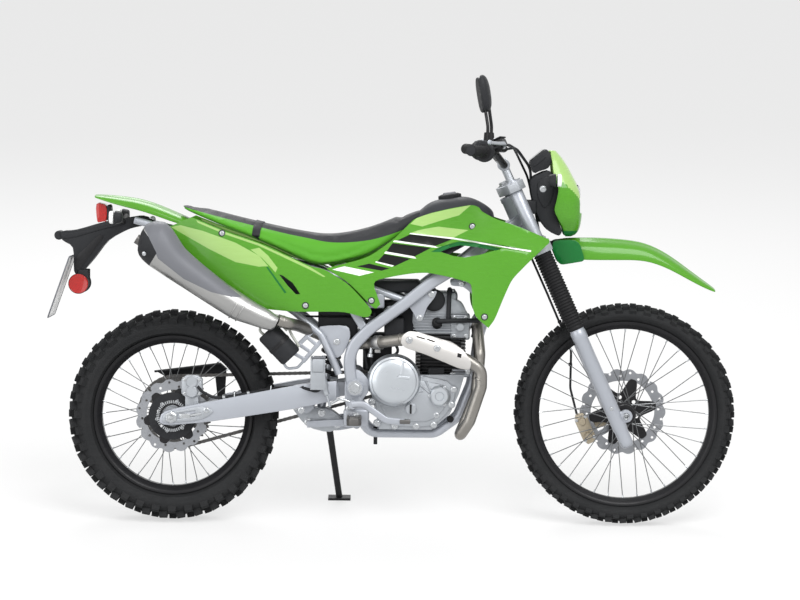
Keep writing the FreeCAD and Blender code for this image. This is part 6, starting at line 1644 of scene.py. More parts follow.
def makeCowl():
    columns, levels = 40, 44
    low, high = cowlSizes["rows"][0][0], cowlSizes["rows"][-1][0]
    points, faces, marks = [], [], []
    for i in range(levels + 1):
        z = low + (high - low) * i / levels
        points += [cowlAt(j / columns, z) for j in range(columns + 1)]
    width = columns + 1
    for i in range(levels):
        for j in range(columns):
            p = cowlAt((j + 0.5) / columns, low + (high - low) * (i + 0.5) / levels)
            opening = cowlSizes["lampHalf"] * (1.0 - 0.0022 * abs(p.z - 985))
            if 948 < p.z < 1034 and abs(p.y) < opening and p.x > 1180:
                continue
            faces.append((i * width + j, i * width + j + 1, (i + 1) * width + j + 1, (i + 1) * width + j))
            # faces above the crease take the pale green, a painted highlight, and faces along the bottom the
            # darker green, painted shade
            crease = 1040 - 0.9 * (p.x - 1150)
            marks.append(2 if p.z < 905 - 0.15 * abs(p.y) else 1
                         if p.z > crease + 0.9 * abs(p.y) * 0.25 else 0)
    mesh = bpy.data.meshes.new("cowlShell")
    mesh.from_pydata([tuple(p) for p in points], [], faces)
    mesh.transform(bikeFrame)
    for look in ("limePlastic", "paleLime", "shadePlastic"):
        mesh.materials.append(materials[look])
    for polygon, mark in zip(mesh.polygons, marks):
        polygon.material_index = mark
    mesh.shade_smooth()
    shell = bpy.data.objects.new("cowlShell", mesh)
    bpy.context.scene.collection.objects.link(shell)
    shape = bmesh.new()
    shape.from_mesh(mesh)
    bmesh.ops.delete(shape, geom=[v for v in shape.verts if not v.link_faces], context="VERTS")
    nose = (bikeFrame.to_3x3() @ Vector((1, 0, 0))).normalized()
    if sum(f.normal.dot(nose) * f.calc_area() for f in shape.faces) < 0:
        bmesh.ops.reverse_faces(shape, faces=shape.faces)
    shape.to_mesh(mesh)
    shape.free()
    solid = shell.modifiers.new("wall", "SOLIDIFY")
    solid.thickness = cowlSizes["wall"] / 1000
    solid.offset = -1
    shell = settled(shell, 40)
    shell = bevelled(shell, 0.9, 2, 60)
    shell.name = "cowlShell"
    dress(shell, "steering", "green_plastic", "headlamp_cowl")
    bowl, rim = lampCup("lampBowl", ((0, 1.0), (-12, 0.96), (-30, 0.75), (-42, 0.42), (-46, 0.16)),
                        "mirrorFace")
    lamp = [bowl]
    lamp.append(lathe("lampBulb", [(0.01, 0), (11, 0), (12, 2), (12, 10), (8, 14), (8, 24), (6, 30),
                                   (0.01, 32)],
                      turnedFrame(bikeFrame, (1180, 0, 991), (1200, 0, 991)), "brightSteel", 32))
    lamp.append(lathe("lampBack", [(0.01, -14), (26, -14), (30, -10), (34, 0), (34, 8), (0.01, 8)],
                      turnedFrame(bikeFrame, (1168, 0, 991), (1190, 0, 991)), "blackPlastic", 40))
    lamp.append(sweep("lampRim", [p + Vector((1.5, 0, 0)) for p in rim], circleSection(2.6, 8), bikeFrame,
                      "blackPlastic", closed=True))
    dress(joined("headlampBowl", lamp), "steering", "lamp_glass", "headlamp")
    lens = lampCup("headlampLens", ((2.5, 1.0), (7, 0.97), (10, 0.7), (11, 0.35)), "clearLens")[0]
    dress(lens, "steering", "lamp_glass")


makeCowl()


def makeStays():
    outline = [(1075, 1052), (1136, 1082), (1158, 1040), (1178, 1006), (1181, 984), (1163, 970), (1146, 968),
               (1160, 930), (1176, 892), (1166, 878), (1133, 893), (1108, 926), (1090, 968), (1080, 1010)]
    parts = []
    for side in (-1, 1):
        near = side * (70.7 + 4)
        parts.append(platePiece("lampStay", outline, near, near - side * 4, 1, bikeFrame, "blackPlastic"))
        parts.append(platePiece("stayRib", [(1098, 1046), (1130, 1062), (1150, 1030), (1140, 980),
                                            (1118, 960), (1098, 1000)],
                                near + side * 4, near - side * 1, 2, bikeFrame, "blackPlastic"))
        parts.append(roundedBox("stayClamp", (1040, side * 70 - 12, 945), (1096, side * 70 + 12, 985), 5,
                                bikeFrame, "blackPlastic"))
    dress(joined("lampStaysWhole", parts), "steering", "black_metal", "lamp_stays")
    places = [((1115, side * 79, 1021), (0, side, 0)) for side in (-1, 1)]
    addScrews("stayBolts", places, bikeFrame, "steering", "spoke_steel", 1.3, False)
    body = platePiece("meterBody", [(1072, 1101), (1122, 1142), (1131, 1136), (1144, 1112), (1132, 1083),
                                    (1100, 1073), (1090, 1066)], -72, 72, 5, bikeFrame, "blackPlastic")
    ridge = [platePiece("meterRidge", [(1084, 1092), (1120, 1122), (1124, 1117), (1089, 1087)], side * 72,
                        side * 75, 1, bikeFrame, "blackPlastic") for side in (-1, 1)]
    normal = Vector((-41, 0, 50)).normalized()
    middle = Vector((1097, 0, 1121.5)) + normal * 0.8
    along = Vector((50, 0, 41)).normalized()
    glass = [middle + along * (x * 27) + Vector((0, y * 60, 0)) + normal * z for z in (0, 1.5) for x, y in
             ((-1, -1), (1, -1), (1, 1), (-1, 1))]
    face = bevelled(painted(meshPiece("meterGlass", glass, boxFaces, bikeFrame, 20), "meterFace"), 0.6)
    dress(joined("meterWhole", [body, face] + ridge), "steering", "black_plastic", "meter")


makeStays()


def signalPiece(centre, side, facing, stalkStart):
    # an indicator: black housing, pale lens on one face, stalk
    parts = []
    for name, reach, size, look in (("signalBody", (0.02, 0.6), 1, "blackPlastic"),
                                    ("signalLens", (-0.34, 0.0), 0.95, "milkLens")):
        rows = []
        for step in range(5):
            t = reach[0] + (reach[1] - reach[0]) * step / 4
            grow = size * (1 - 0.5 * max(t, 0) ** 1.4 - (0.12 if step == 0 and t < 0 else 0))
            row = []
            for i in range(16):
                turn = 2 * math.pi * i / 16
                y, z = math.cos(turn), math.sin(turn)
                row.append(centre + Vector((-facing * t * 44, squared(y, 0.6) * 31 * grow,
                                            squared(z, 0.6) * 21 * grow)))
            rows.append(row)
        parts.append(loft(name, rows, bikeFrame, look, levels=1))
    parts.append(pipe("signalStalk", [stalkStart, centre + Vector((-facing * 16, -side * 18, 0))], 8.5, 20,
                      bikeFrame, "bootRubber", 20))
    return parts


def makeSignals():
    front, rear = [], []
    for side in (-1, 1):
        front += signalPiece(Vector((1152, side * 181, 1049)), side, 1, Vector((1140, side * 104, 1036)))
        rear += signalPiece(Vector((-176, side * 128, 922)), side, -1, Vector((-156, side * 40, 906)))
    dress(joined("frontSignals", front), "steering", "signal_lens", "front_indicators")
    dress(joined("rearSignals", rear), "chassis", "signal_lens", "rear_indicators")


makeSignals()


def makeTail():
    half = 35
    bracket = [(-137, 920), (-100, 926), (-60, 912), (-70, 900), (-138, 886), (-204, 850), (-247, 790),
               (-290, 742), (-306, 750), (-306, 830), (-343, 848), (-349, 876), (-305, 878), (-221, 904)]
    parts = [platePiece("bracketCore", bracket, -half, half, 3, bikeFrame, "blackPlastic")]
    for side in (-1, 1):
        parts.append(platePiece("bracketRib", [(-340, 852), (-300, 858), (-232, 880), (-150, 900),
                                               (-150, 906), (-232, 888), (-302, 872), (-346, 872)],
                                side * half, side * (half + 3), 1.2, bikeFrame, "blackPlastic"))
        parts.append(platePiece("bracketWeb", [(-212, 862), (-258, 800), (-290, 756), (-300, 760),
                                               (-300, 800), (-262, 834), (-228, 868)], side * half,
                                side * (half + 2), 1, bikeFrame, "blackMetal"))
        disc = turnedFrame(bikeFrame, (-290, side * (half + 1), 717), (-290, side * (half + 20), 717))
        parts.append(lathe("reflectorBack", [(0.01, -20), (25, -20), (28, 0), (31, 2), (31, 8), (0.01, 8)],
                           disc, "blackPlastic", 48))
        parts.append(lathe("reflector", [(0.01, 8.2), (29.5, 8.2), (29.5, 12), (27.5, 13.5), (25, 12.6),
                                         (0.01, 13.2)],
                           disc, "redLens", 48))
        parts.append(roundedBox("reflectorArm", (-292, side * half - 6, 712), (-262, side * half + 6, 760),
                                3, bikeFrame, "blackPlastic"))
    parts.append(bolts(bikeFrame, [((-71, side * 24, 914), (0, side, 0)) for side in (-1, 1)], 7))
    parts.append(lathe("plateLamp", [(0.01, -30), (12, -30), (14, -27), (14, 27), (12, 30), (0.01, 30)],
                       bikeFrame @ Matrix.Translation((-352, 0, 863)), "blackPlastic", 32))
    dress(joined("plateBracketWhole", parts), "chassis", "black_plastic", "plate_bracket")
    lens = platePiece("tailLens", [(-206, 957), (-241, 965), (-236, 902), (-222, 905), (-206, 909)], -34, 34,
                      3.5, bikeFrame, "redLens")
    back = platePiece("tailLampBack", [(-194, 956), (-206, 958.5), (-206, 908), (-194, 909)], -35, 35, 1.2,
                      bikeFrame, "blackPlastic")
    ribs = [platePiece("tailRib", [(-211 - i * 6, 959 + i * 1.4), (-213 - i * 6, 959.5 + i * 1.4),
                                   (-212 - i * 5.4, 906), (-210 - i * 5.4, 906)], -34.6, 34.6, 0, bikeFrame,
                       "redLens", steps=0) for i in range(4)]
    dress(joined("tailLampWhole", [lens, back] + ribs), "chassis", "red_lens", "tail_lamp")
    top, foot = Vector((-312, 0, 800)), Vector((-376, 0, 616))
    down = foot - top
    out = Vector((down.z, 0, -down.x)).normalized()
    outline = [(y * 98, t) for y, t in ((-1, 0.03), (-0.94, 0), (0.94, 0), (1, 0.03), (1, 0.97), (0.94, 1),
                                        (-0.94, 1), (-1, 0.97))]
    points = [top + down * t + Vector((0, y, 0)) + out * z for z in (0, 2) for y, t in outline]
    slab = meshPiece("numberPlateBlank", points, slabFaces(8), bikeFrame, 20)
    plate = bevelled(painted(slab, "whitePlate"), 0.6)
    places = [(top + down * 0.07 + Vector((0, y, 0)) + out * 2.2, out) for y in (-60, 60)]
    screws = bolts(bikeFrame, places, 5)
    frameBars = sweep("plateSurround", [top + down * t + Vector((0, y, 0)) + out for y, t in outline],
                      circleSection(2.2, 8), bikeFrame, "greyGuard", closed=True)
    dress(joined("numberPlateWhole", [plate, screws, frameBars]), "chassis", "plate_alloy", "number_plate")


makeTail()


print("calipers and hose")


def caliperPiece(centre, long, wide, tall, place, side, look="bronzeAlloy"):
    # a twin piston caliper: two halves, two piston caps and bolts
    parts = []
    outline = [(x * long, z * tall) for x, z in ((-0.5, -0.3), (-0.3, -0.5), (0.3, -0.5), (0.5, -0.3),
                                                 (0.5, 0.3), (0.3, 0.5), (-0.3, 0.5), (-0.5, 0.3))]
    frame = place @ Matrix.Translation(centre)
    for near, far in ((-wide / 2, -5), (5, wide / 2)):
        parts.append(platePiece("caliperHalf", outline, near, far, 4, frame, look))
    for z in (-0.26, 0.26):
        cap = turnedFrame(Matrix(), (0, side * wide / 2, z * tall), (0, side * (wide / 2 + 9), z * tall))
        profile = [(0.01, 0), (long * 0.26, 0), (long * 0.3, 2), (long * 0.3, 6), (long * 0.26, 8),
                   (0.01, 8)]
        parts.append(lathe("piston", profile, frame @ cap, look, 28))
    parts.append(bolts(frame, [((0.36 * long * a, side * wide / 2, 0.36 * tall * b), (0, side, 0))
                               for a in (-1, 1) for b in (-1, 1)], 4))
    return parts


def makeCalipers():
    hosePoints = [(-80, 74, 48.8), (-66, 79, 130), (-16, 92, 235), (-13.5, 88.5, 420), (-13.5, 88.5, 553.4)]
    hose = [pipe("brakeHoseSmooth", hosePoints, 3.6, 60, steerFrame, "blackPlastic", 14)]
    for z in (196, 330):
        point = Vector((-13.5, 88.5, z)) if z > 235 else Vector((-36, 87, 196))
        hose.append(lathe("hoseClip", [(3.7, -5), (6, -5), (6, 5), (3.7, 5)],
                          turnedFrame(steerFrame, point, point + Vector((0.3, 0, 1))), "blackMetal", 20))
    dress(joined("brakeHoseWhole", hose), "steering", "black_plastic", "brake_hose")
    front = caliperPiece(Vector((-74.5, 62, 0)), 40, 37, 94, steerFrame, -1)
    front.append(softened("front_caliper", 2.5, "bronzeAlloy"))
    front.append(sweep("caliperCarrier", [Vector((-56, 76, -36)), Vector((-20, 80, -34)),
                                          Vector((16, 84, -22))],
                       boxSection(10, 18, 3), steerFrame, "satinAlloy"))
    dress(joined("frontCaliperWhole", front), "steering", "bronze_alloy", "front_caliper")
    rear = [softened("rear_brake", 2.5, "castAlloy")]
    rear += caliperPiece(Vector((60, -72, 411)), 60, 44, 58, bikeFrame, -1, "castAlloy")
    rear.append(roundedBox("rearMaster", (424, -154, 462), (462, -122, 506), 5, bikeFrame, "castAlloy"))
    rear.append(lathe("masterBarrel", [(0.01, 0), (11, 0), (13, 3), (13, 50), (9, 56), (9, 74), (4, 76),
                                       (4, 112), (0.01, 112)],
                      turnedFrame(bikeFrame, (448, -137, 466), (476, -137, 372)), "castAlloy", 32))
    rear.append(roundedBox("masterLid", (421, -157, 505), (465, -119, 511), 2, bikeFrame, "greyGuard"))
    rear.append(bolts(bikeFrame, [((443 + dx, -138 + dy, 511), (0, 0, 1))
                                  for dx, dy in ((-15, -12), (15, 12))], 3))
    dress(joined("rearBrakeWhole", rear), "chassis", "bronze_alloy", "rear_brake")
    line = pipe("rearBrakeHose", [(458, -137, 420), (440, -128, 402), (380, -110, 418), (280, -106, 404),
                                  (190, -106, 386), (130, -104, 378), (92, -100, 396), (78, -96, 412)], 4.5,
                60, bikeFrame, "blackPlastic", 14)
    sleeve = pipe("hoseSleeve", [(400, -112, 416), (330, -107, 410), (262, -106, 402)], 7, 60, bikeFrame,
                  "bootRubber", 14)
    clips = [lathe("armClip", [(4.6, -4), (8, -4), (8, 4), (4.6, 4)],
                   turnedFrame(bikeFrame, point, point + Vector((1, 0, 0.2))), "brightSteel", 20)
             for point in (Vector((232, -106, 394)), Vector((158, -105, 381)))]
    dress(joined("rearBrakeLine", [line, sleeve] + clips), "chassis", "black_plastic")


makeCalipers()

print("frame and swing arm")
frameSizes = {"spar": [(1050, 22, 925), (965, 54, 868), (870, 100, 790), (780, 112, 735), (690, 112, 662),
                       (594, 110, 592), (549, 108, 545), (535, 106, 500), (542, 104, 440), (556, 100, 385),
                       (572, 92, 318)],
              "cradle": [(926, 0, 580), (917, 40, 500), (905, 58, 420), (866, 58, 322), (800, 58, 273.5),
                         (600, 64, 273.5), (572, 90, 315)],
              "down": [(1030, 0, 900), (975, 0, 727), (922, 0, 560)], "head": 30, "headLow": 594.5,
              "headHigh": 751.5, "rail": [(705, 85.7, 678), (600, 85.7, 715), (430, 85.7, 768.5),
                                          (200, 80, 828), (0, 62, 882), (-120, 50, 912)],
              "strut": [(505, 106, 455), (485, 108, 500), (450, 104, 575), (370, 95, 640), (200, 84, 755),
                        (80, 70, 858)]}


def flipped(points, side):
    return [(x, y * side, z) for x, y, z in points]


def makeFrame():
    look = "silverPaint"
    parts = []
    for side in (1, -1):
        parts.append(sweep("spar", roundedRoute(flipped(frameSizes["spar"], side), 150, 5),
                           boxSection(30, 36, 9), bikeFrame, look))
        parts.append(pipe("cradle", flipped(frameSizes["cradle"], side), 13, 55, bikeFrame, look, 24))
        parts.append(sweep("link", [Vector((512, side * 97, 700)), Vector((585, side * 108, 585))],
                           boxSection(15, 25, 4), bikeFrame, look))
        parts.append(platePiece("engineMount", [(704, 677), (763, 703), (800, 712), (792, 690), (768, 660),
                                                (756, 622), (738, 620), (730, 640)], side * 104, side * 98,
                                1, bikeFrame, look))
        parts.append(platePiece("headGusset", [(840, 742), (905, 742), (955, 700), (944, 628), (932, 612),
                                               (918, 640), (916, 690), (880, 722), (840, 724)], side * 60,
                                side * 54, 1, bikeFrame, look))
        parts.append(platePiece("pivotPlate", [(530, 470), (566, 470), (596, 440), (596, 402), (574, 376),
                                               (590, 340), (560, 300), (540, 318), (524, 372), (522, 420)],
                                side * 112, side * 92, 4, bikeFrame, look))
        parts.append(lathe("pivotBoss", [(9.8, -12), (24, -12), (27, -9), (27, 9), (24, 12), (9.8, 12)],
                           bikeFrame @ Matrix.Translation((554, side * 112, 415)), look, 48))
        parts.append(platePiece("strutPlate", [(440, 600), (532, 604), (540, 570), (520, 520), (498, 500),
                                               (474, 530), (448, 572)],
                                side * 101, side * 95, 1, bikeFrame, look))
        parts.append(roundedBox("footMount", (520, side * 108 - 12, 296), (596, side * 108 + 12, 350), 7,
                                bikeFrame, look))
        places = [(747, 104, 628), (782, 104, 700), (497, 101, 553), (944, 60, 631), (875, 60, 731),
                  (560, 120, 330), (536, 112, 352)]
        parts.append(bolts(bikeFrame, [((x, side * y, z), (0, side, 0)) for x, y, z in places], 8))
    for x, z, half, radius in ((512, 700, 97, 12), (560, 300, 85, 12), (640, 274, 62, 11)):
        parts.append(lathe("crossTube", [(0.01, -half), (radius, -half), (radius, half), (0.01, half)],
                           bikeFrame @ Matrix.Translation((x, 0, z)), look, 32))
    parts.append(pipe("downTube", frameSizes["down"], 19, 55, bikeFrame, look, 32))
    low, high, r = frameSizes["headLow"], frameSizes["headHigh"], frameSizes["head"]
    parts.append(lathe("headTube", [(14.4, low), (r, low), (r + 2, low + 2), (r + 2, low + 14),
                                    (r, low + 17), (r, high - 17), (r + 2, high - 14), (r + 2, high - 2),
                                    (r, high), (14.4, high)],
                       uprightFrame(steerFrame, 0, 0), look, 56))
    parts.append(platePiece("standBracket", [(585, 330), (460, 310), (450, 290), (462, 270), (500, 265),
                                             (590, 285)], 100, 86, 3,
                            bikeFrame, look))
    pin = Vector((470, 124, 288))
    axis = Vector((0, math.cos(math.radians(25)), math.sin(math.radians(25))))
    parts.append(lathe("standPin", [(0.01, -38), (5.9, -38), (5.9, 11), (0.01, 11)],
                       turnedFrame(bikeFrame, pin, pin + axis), "brightSteel", 24))
    dress(joined("frameWhole", parts), "chassis", "silver_frame", "frame")
    parts = []
    for side in (1, -1):
        parts.append(pipe("rail", flipped(frameSizes["rail"], side), 11, 60, bikeFrame, look, 20))
        parts.append(pipe("strut", flipped(frameSizes["strut"], side), 11, 60, bikeFrame, look, 20))
        parts.append(roundedBox("railFoot", (586, side * 86 - 9, 655), (640, side * 86 + 9, 700), 5,
                                bikeFrame, look))
    for x, z, half in ((200, 828, 80), (20, 877, 62)):
        parts.append(lathe("rearCross", [(0.01, -half), (11, -half), (11, half), (0.01, half)],
                           bikeFrame @ Matrix.Translation((x, 0, z)), look, 24))
    for start, end in (((430, -100, 590), (352, -112, 514)), ((456, -102, 562), (396, -112, 492))):
        parts.append(sweep("canisterStay", [Vector(start), Vector(end)], boxSection(5, 13, 2), bikeFrame,
                           look))
    for t in (0.3, 0.6, 0.9):
        a = Vector((430, -100, 590)).lerp(Vector((352, -112, 514)), t)
        b = Vector((456, -102, 562)).lerp(Vector((396, -112, 492)), t)
        parts.append(sweep("stayRung", [a, b], boxSection(5, 11, 2), bikeFrame, look))
    loop = [(352, -112, 514), (336, -113, 490), (348, -113, 470), (380, -113, 474), (396, -112, 492)]
    parts.append(pipe("stayLoop", loop, 4, 16, bikeFrame, look, 12))
    parts.append(roundedBox("mufflerTab", (92, -104, 740), (113, -72, 850), 4, bikeFrame, look))
    dress(joined("subframeWhole", parts), "chassis", "silver_frame", "subframe")


makeFrame()

armSizes = {"reach": 554, "rise": 95, "axle": 320, "inner": 88, "outer": 118, "tall": 70, "tip": 46}


def armAt(x, height):
    return (x * armSizes["reach"], armSizes["axle"] + armSizes["rise"] * x + height)


def makeSwingArm():
    tall, tip, look = armSizes["tall"], armSizes["tip"], "silverPaint"
    outline = [armAt(0.9, tall * 0.42), armAt(0.7, tall * 0.54), armAt(0.18, tip * 0.62),
               armAt(-0.05, tip * 0.5), armAt(-0.07, -tip * 0.2), armAt(-0.03, -tip * 0.5),
               armAt(0.2, -tip * 0.72), armAt(0.7, -tall * 0.5), armAt(0.9, -tall * 0.4)]
    parts = []
    for side in (1, -1):
        near, far = side * armSizes["outer"], side * armSizes["inner"]
        bore = [(10.2 * math.cos(i * math.pi / 8), 320 + 10.2 * math.sin(i * math.pi / 8))
                for i in range(16)]
        parts.append(platePiece("armBeam", outline, near, far, 6, bikeFrame, look, [bore], 2, (0, 8)))
        cast = [armAt(0.17, tip * 0.44), armAt(0.03, tip * 0.36), armAt(-0.045, tip * 0.3),
                armAt(-0.05, -tip * 0.25), armAt(0.02, -tip * 0.4), armAt(0.17, -tip * 0.5), armAt(0.24, -4)]
        slot = [armAt(0.13, 9), armAt(0.035, 9), armAt(0.035, -9), armAt(0.13, -9)]
        parts.append(platePiece("armTip", cast, near + side * 4, near - side * 2, 2, bikeFrame, "castAlloy",
                                [slot, bore]))
        parts.append(roundedBox("adjuster", (24, side * 119 - 3, 316), (58, side * 119 + 3, 332), 2,
                                bikeFrame, "brightSteel"))
        parts.append(lathe("adjusterBolt", [(0.01, 0), (5, 0), (5, 34), (0.01, 34)],
                           turnedFrame(bikeFrame, (58, side * 120, 326), (96, side * 120, 333)),
                           "brightSteel", 16))
        parts.append(bolts(bikeFrame, [((106, side * 118, 342), (0, side, 0)),
                                       ((392, side * 118, 346), (0, side, 0))], 8))
        parts.append(platePiece("armPad", [armAt(0.68, -20), armAt(0.76, -22), armAt(0.78, -48),
                                           armAt(0.735, -60), armAt(0.69, -48)], side * 62, side * 50, 2,
                                bikeFrame, look))
        parts.append(sweep("armWeb", [Vector((498, side * 98, 405)), Vector((474, side * 76, 401)),
                                      Vector((470, side * 52, 400))],
                           boxSection(26, 44, 6), bikeFrame, look))
        parts.append(sweep("armLug", [Vector((466, side * 54, 400)), Vector((520, side * 54, 409)),
                                      Vector((554, side * 54, 415))],
                           boxSection(23, 46, 6), bikeFrame, look))
    parts.append(roundedBox("armBridge", (346, -90, 356), (388, 90, 404), 7, bikeFrame, look))
    parts.append(lathe("armHub", [(9.6, -65.8), (24, -65.8), (24, 65.8), (9.6, 65.8)],
                       bikeFrame @ Matrix.Translation((554, 0, 415)), look, 40))
    for x in (300, 190):
        px, pz = armAt(x / 554, 33)
        parts.append(pipe("hoseLoop", [(px, -92, pz - 4), (px, -96, pz + 12), (px, -110, pz + 14),
                                       (px, -114, pz - 4)], 2, 6,
                          bikeFrame, "brightSteel", 10))
    dress(joined("swingArmWhole", parts), "chassis", "silver_frame", "swing_arm")
    for node, body in (("rear_axle", "chassis"), ("pivot_bolt", "chassis"), ("front_axle", "steering")):
        dress(softened(node, 1.2, "brightSteel"), body, "axle_steel", node)
    nuts = []
    for side in (1, -1):
        nuts.append(lathe("pivotWasher", [(9.3, 0), (21, 0), (21, 2.5), (9.3, 2.5)],
                          turnedFrame(bikeFrame, (554, side * 124, 415), (554, side * 130, 415)),
                          "brightSteel", 32))
        nuts.append(lathe("pivotNut", [(0.01, 2.6), (16, 2.6), (16, 9), (13, 11), (8, 11), (8, 9),
                                       (0.01, 9)],
                          turnedFrame(bikeFrame, (554, side * 124, 415), (554, side * 134, 415)),
                          "brightSteel", 6, 20))
    nuts.append(lathe("axleHead", [(0.01, 0.3), (18, 0.3), (18, 4), (14, 6), (6, 6), (6, 4), (0.01, 4)],
                      turnedFrame(bikeFrame, (0, -122, 320), (0, -128, 320)), "brightSteel", 6, 20))
    dress(joined("pivotAndAxleNuts", nuts), "chassis", "axle_steel")


makeSwingArm()


def helix(name, start, end, radius, wire, turns, place, look):
    start, end = Vector(start), Vector(end)
    along = end - start
    frame = Vector((0, 1, 0)).rotation_difference(along).to_matrix()
    count = int(turns * 18)
    route = []
    for i in range(count + 1):
        turn = 2 * math.pi * turns * i / count
        route.append(start + frame @ Vector((radius * math.cos(turn), along.length * i / count,
                                             radius * math.sin(turn))))
    return sweep(name, route, circleSection(wire, 10), place, look)


def makeShock():
    top, foot = Vector((512, 0, 700)), Vector((450, 0, 345))
    along = (foot - top).normalized()
    place = turnedFrame(bikeFrame, top, foot)
    parts = [lathe("shockEye", [(0.01, 13), (15, 13), (19, 20), (25, 40), (25, 60), (30, 64), (32, 70),
                                (32, 86), (28, 90), (22, 92), (22, 180), (0.01, 180)], place, "blackMetal",
                   40),
             lathe("shockFoot", [(0.01, 160), (10, 160), (10, 290), (26, 292), (31, 298), (31, 308),
                                 (20, 316), (14, 322), (13, 360), (0.01, 360)], place, "satinAlloy", 40),
             helix("shockSpring", top + along * 91, top + along * 296, 27.5, 5.4, 7.5, bikeFrame,
                   "blackMetal")]
    parts.append(platePiece("rocker", [(352, 357), (382, 362), (430, 346), (475, 346), (532, 302),
                                       (480, 268), (405, 286)],
                            -26, 26, 4, bikeFrame, "castAlloy"))
    parts.append(bolts(bikeFrame, [((x, -26, z), (0, -1, 0)) for x, z in ((372, 350), (452, 330), (500, 296),
                                                                          (410, 302))], 9))
    rods = [sweep("dogBone", [Vector((408, side * 34, 296)), Vector((470, side * 36, 300)),
                              Vector((548, side * 38, 304))],
                  boxSection(9, 22, 3), bikeFrame, "silverPaint") for side in (1, -1)]
    dress(joined("shockAndLinkage", parts + rods), "chassis", "black_metal", "rear_shock")


makeShock()

print("engine")
engineSizes = {"coverBolts": [(622, 307), (675, 299), (740, 299), (793, 304), (801, 334), (846, 366),
                              (852, 412),
                                               (729, 360), (606, 372), (602, 432)]}


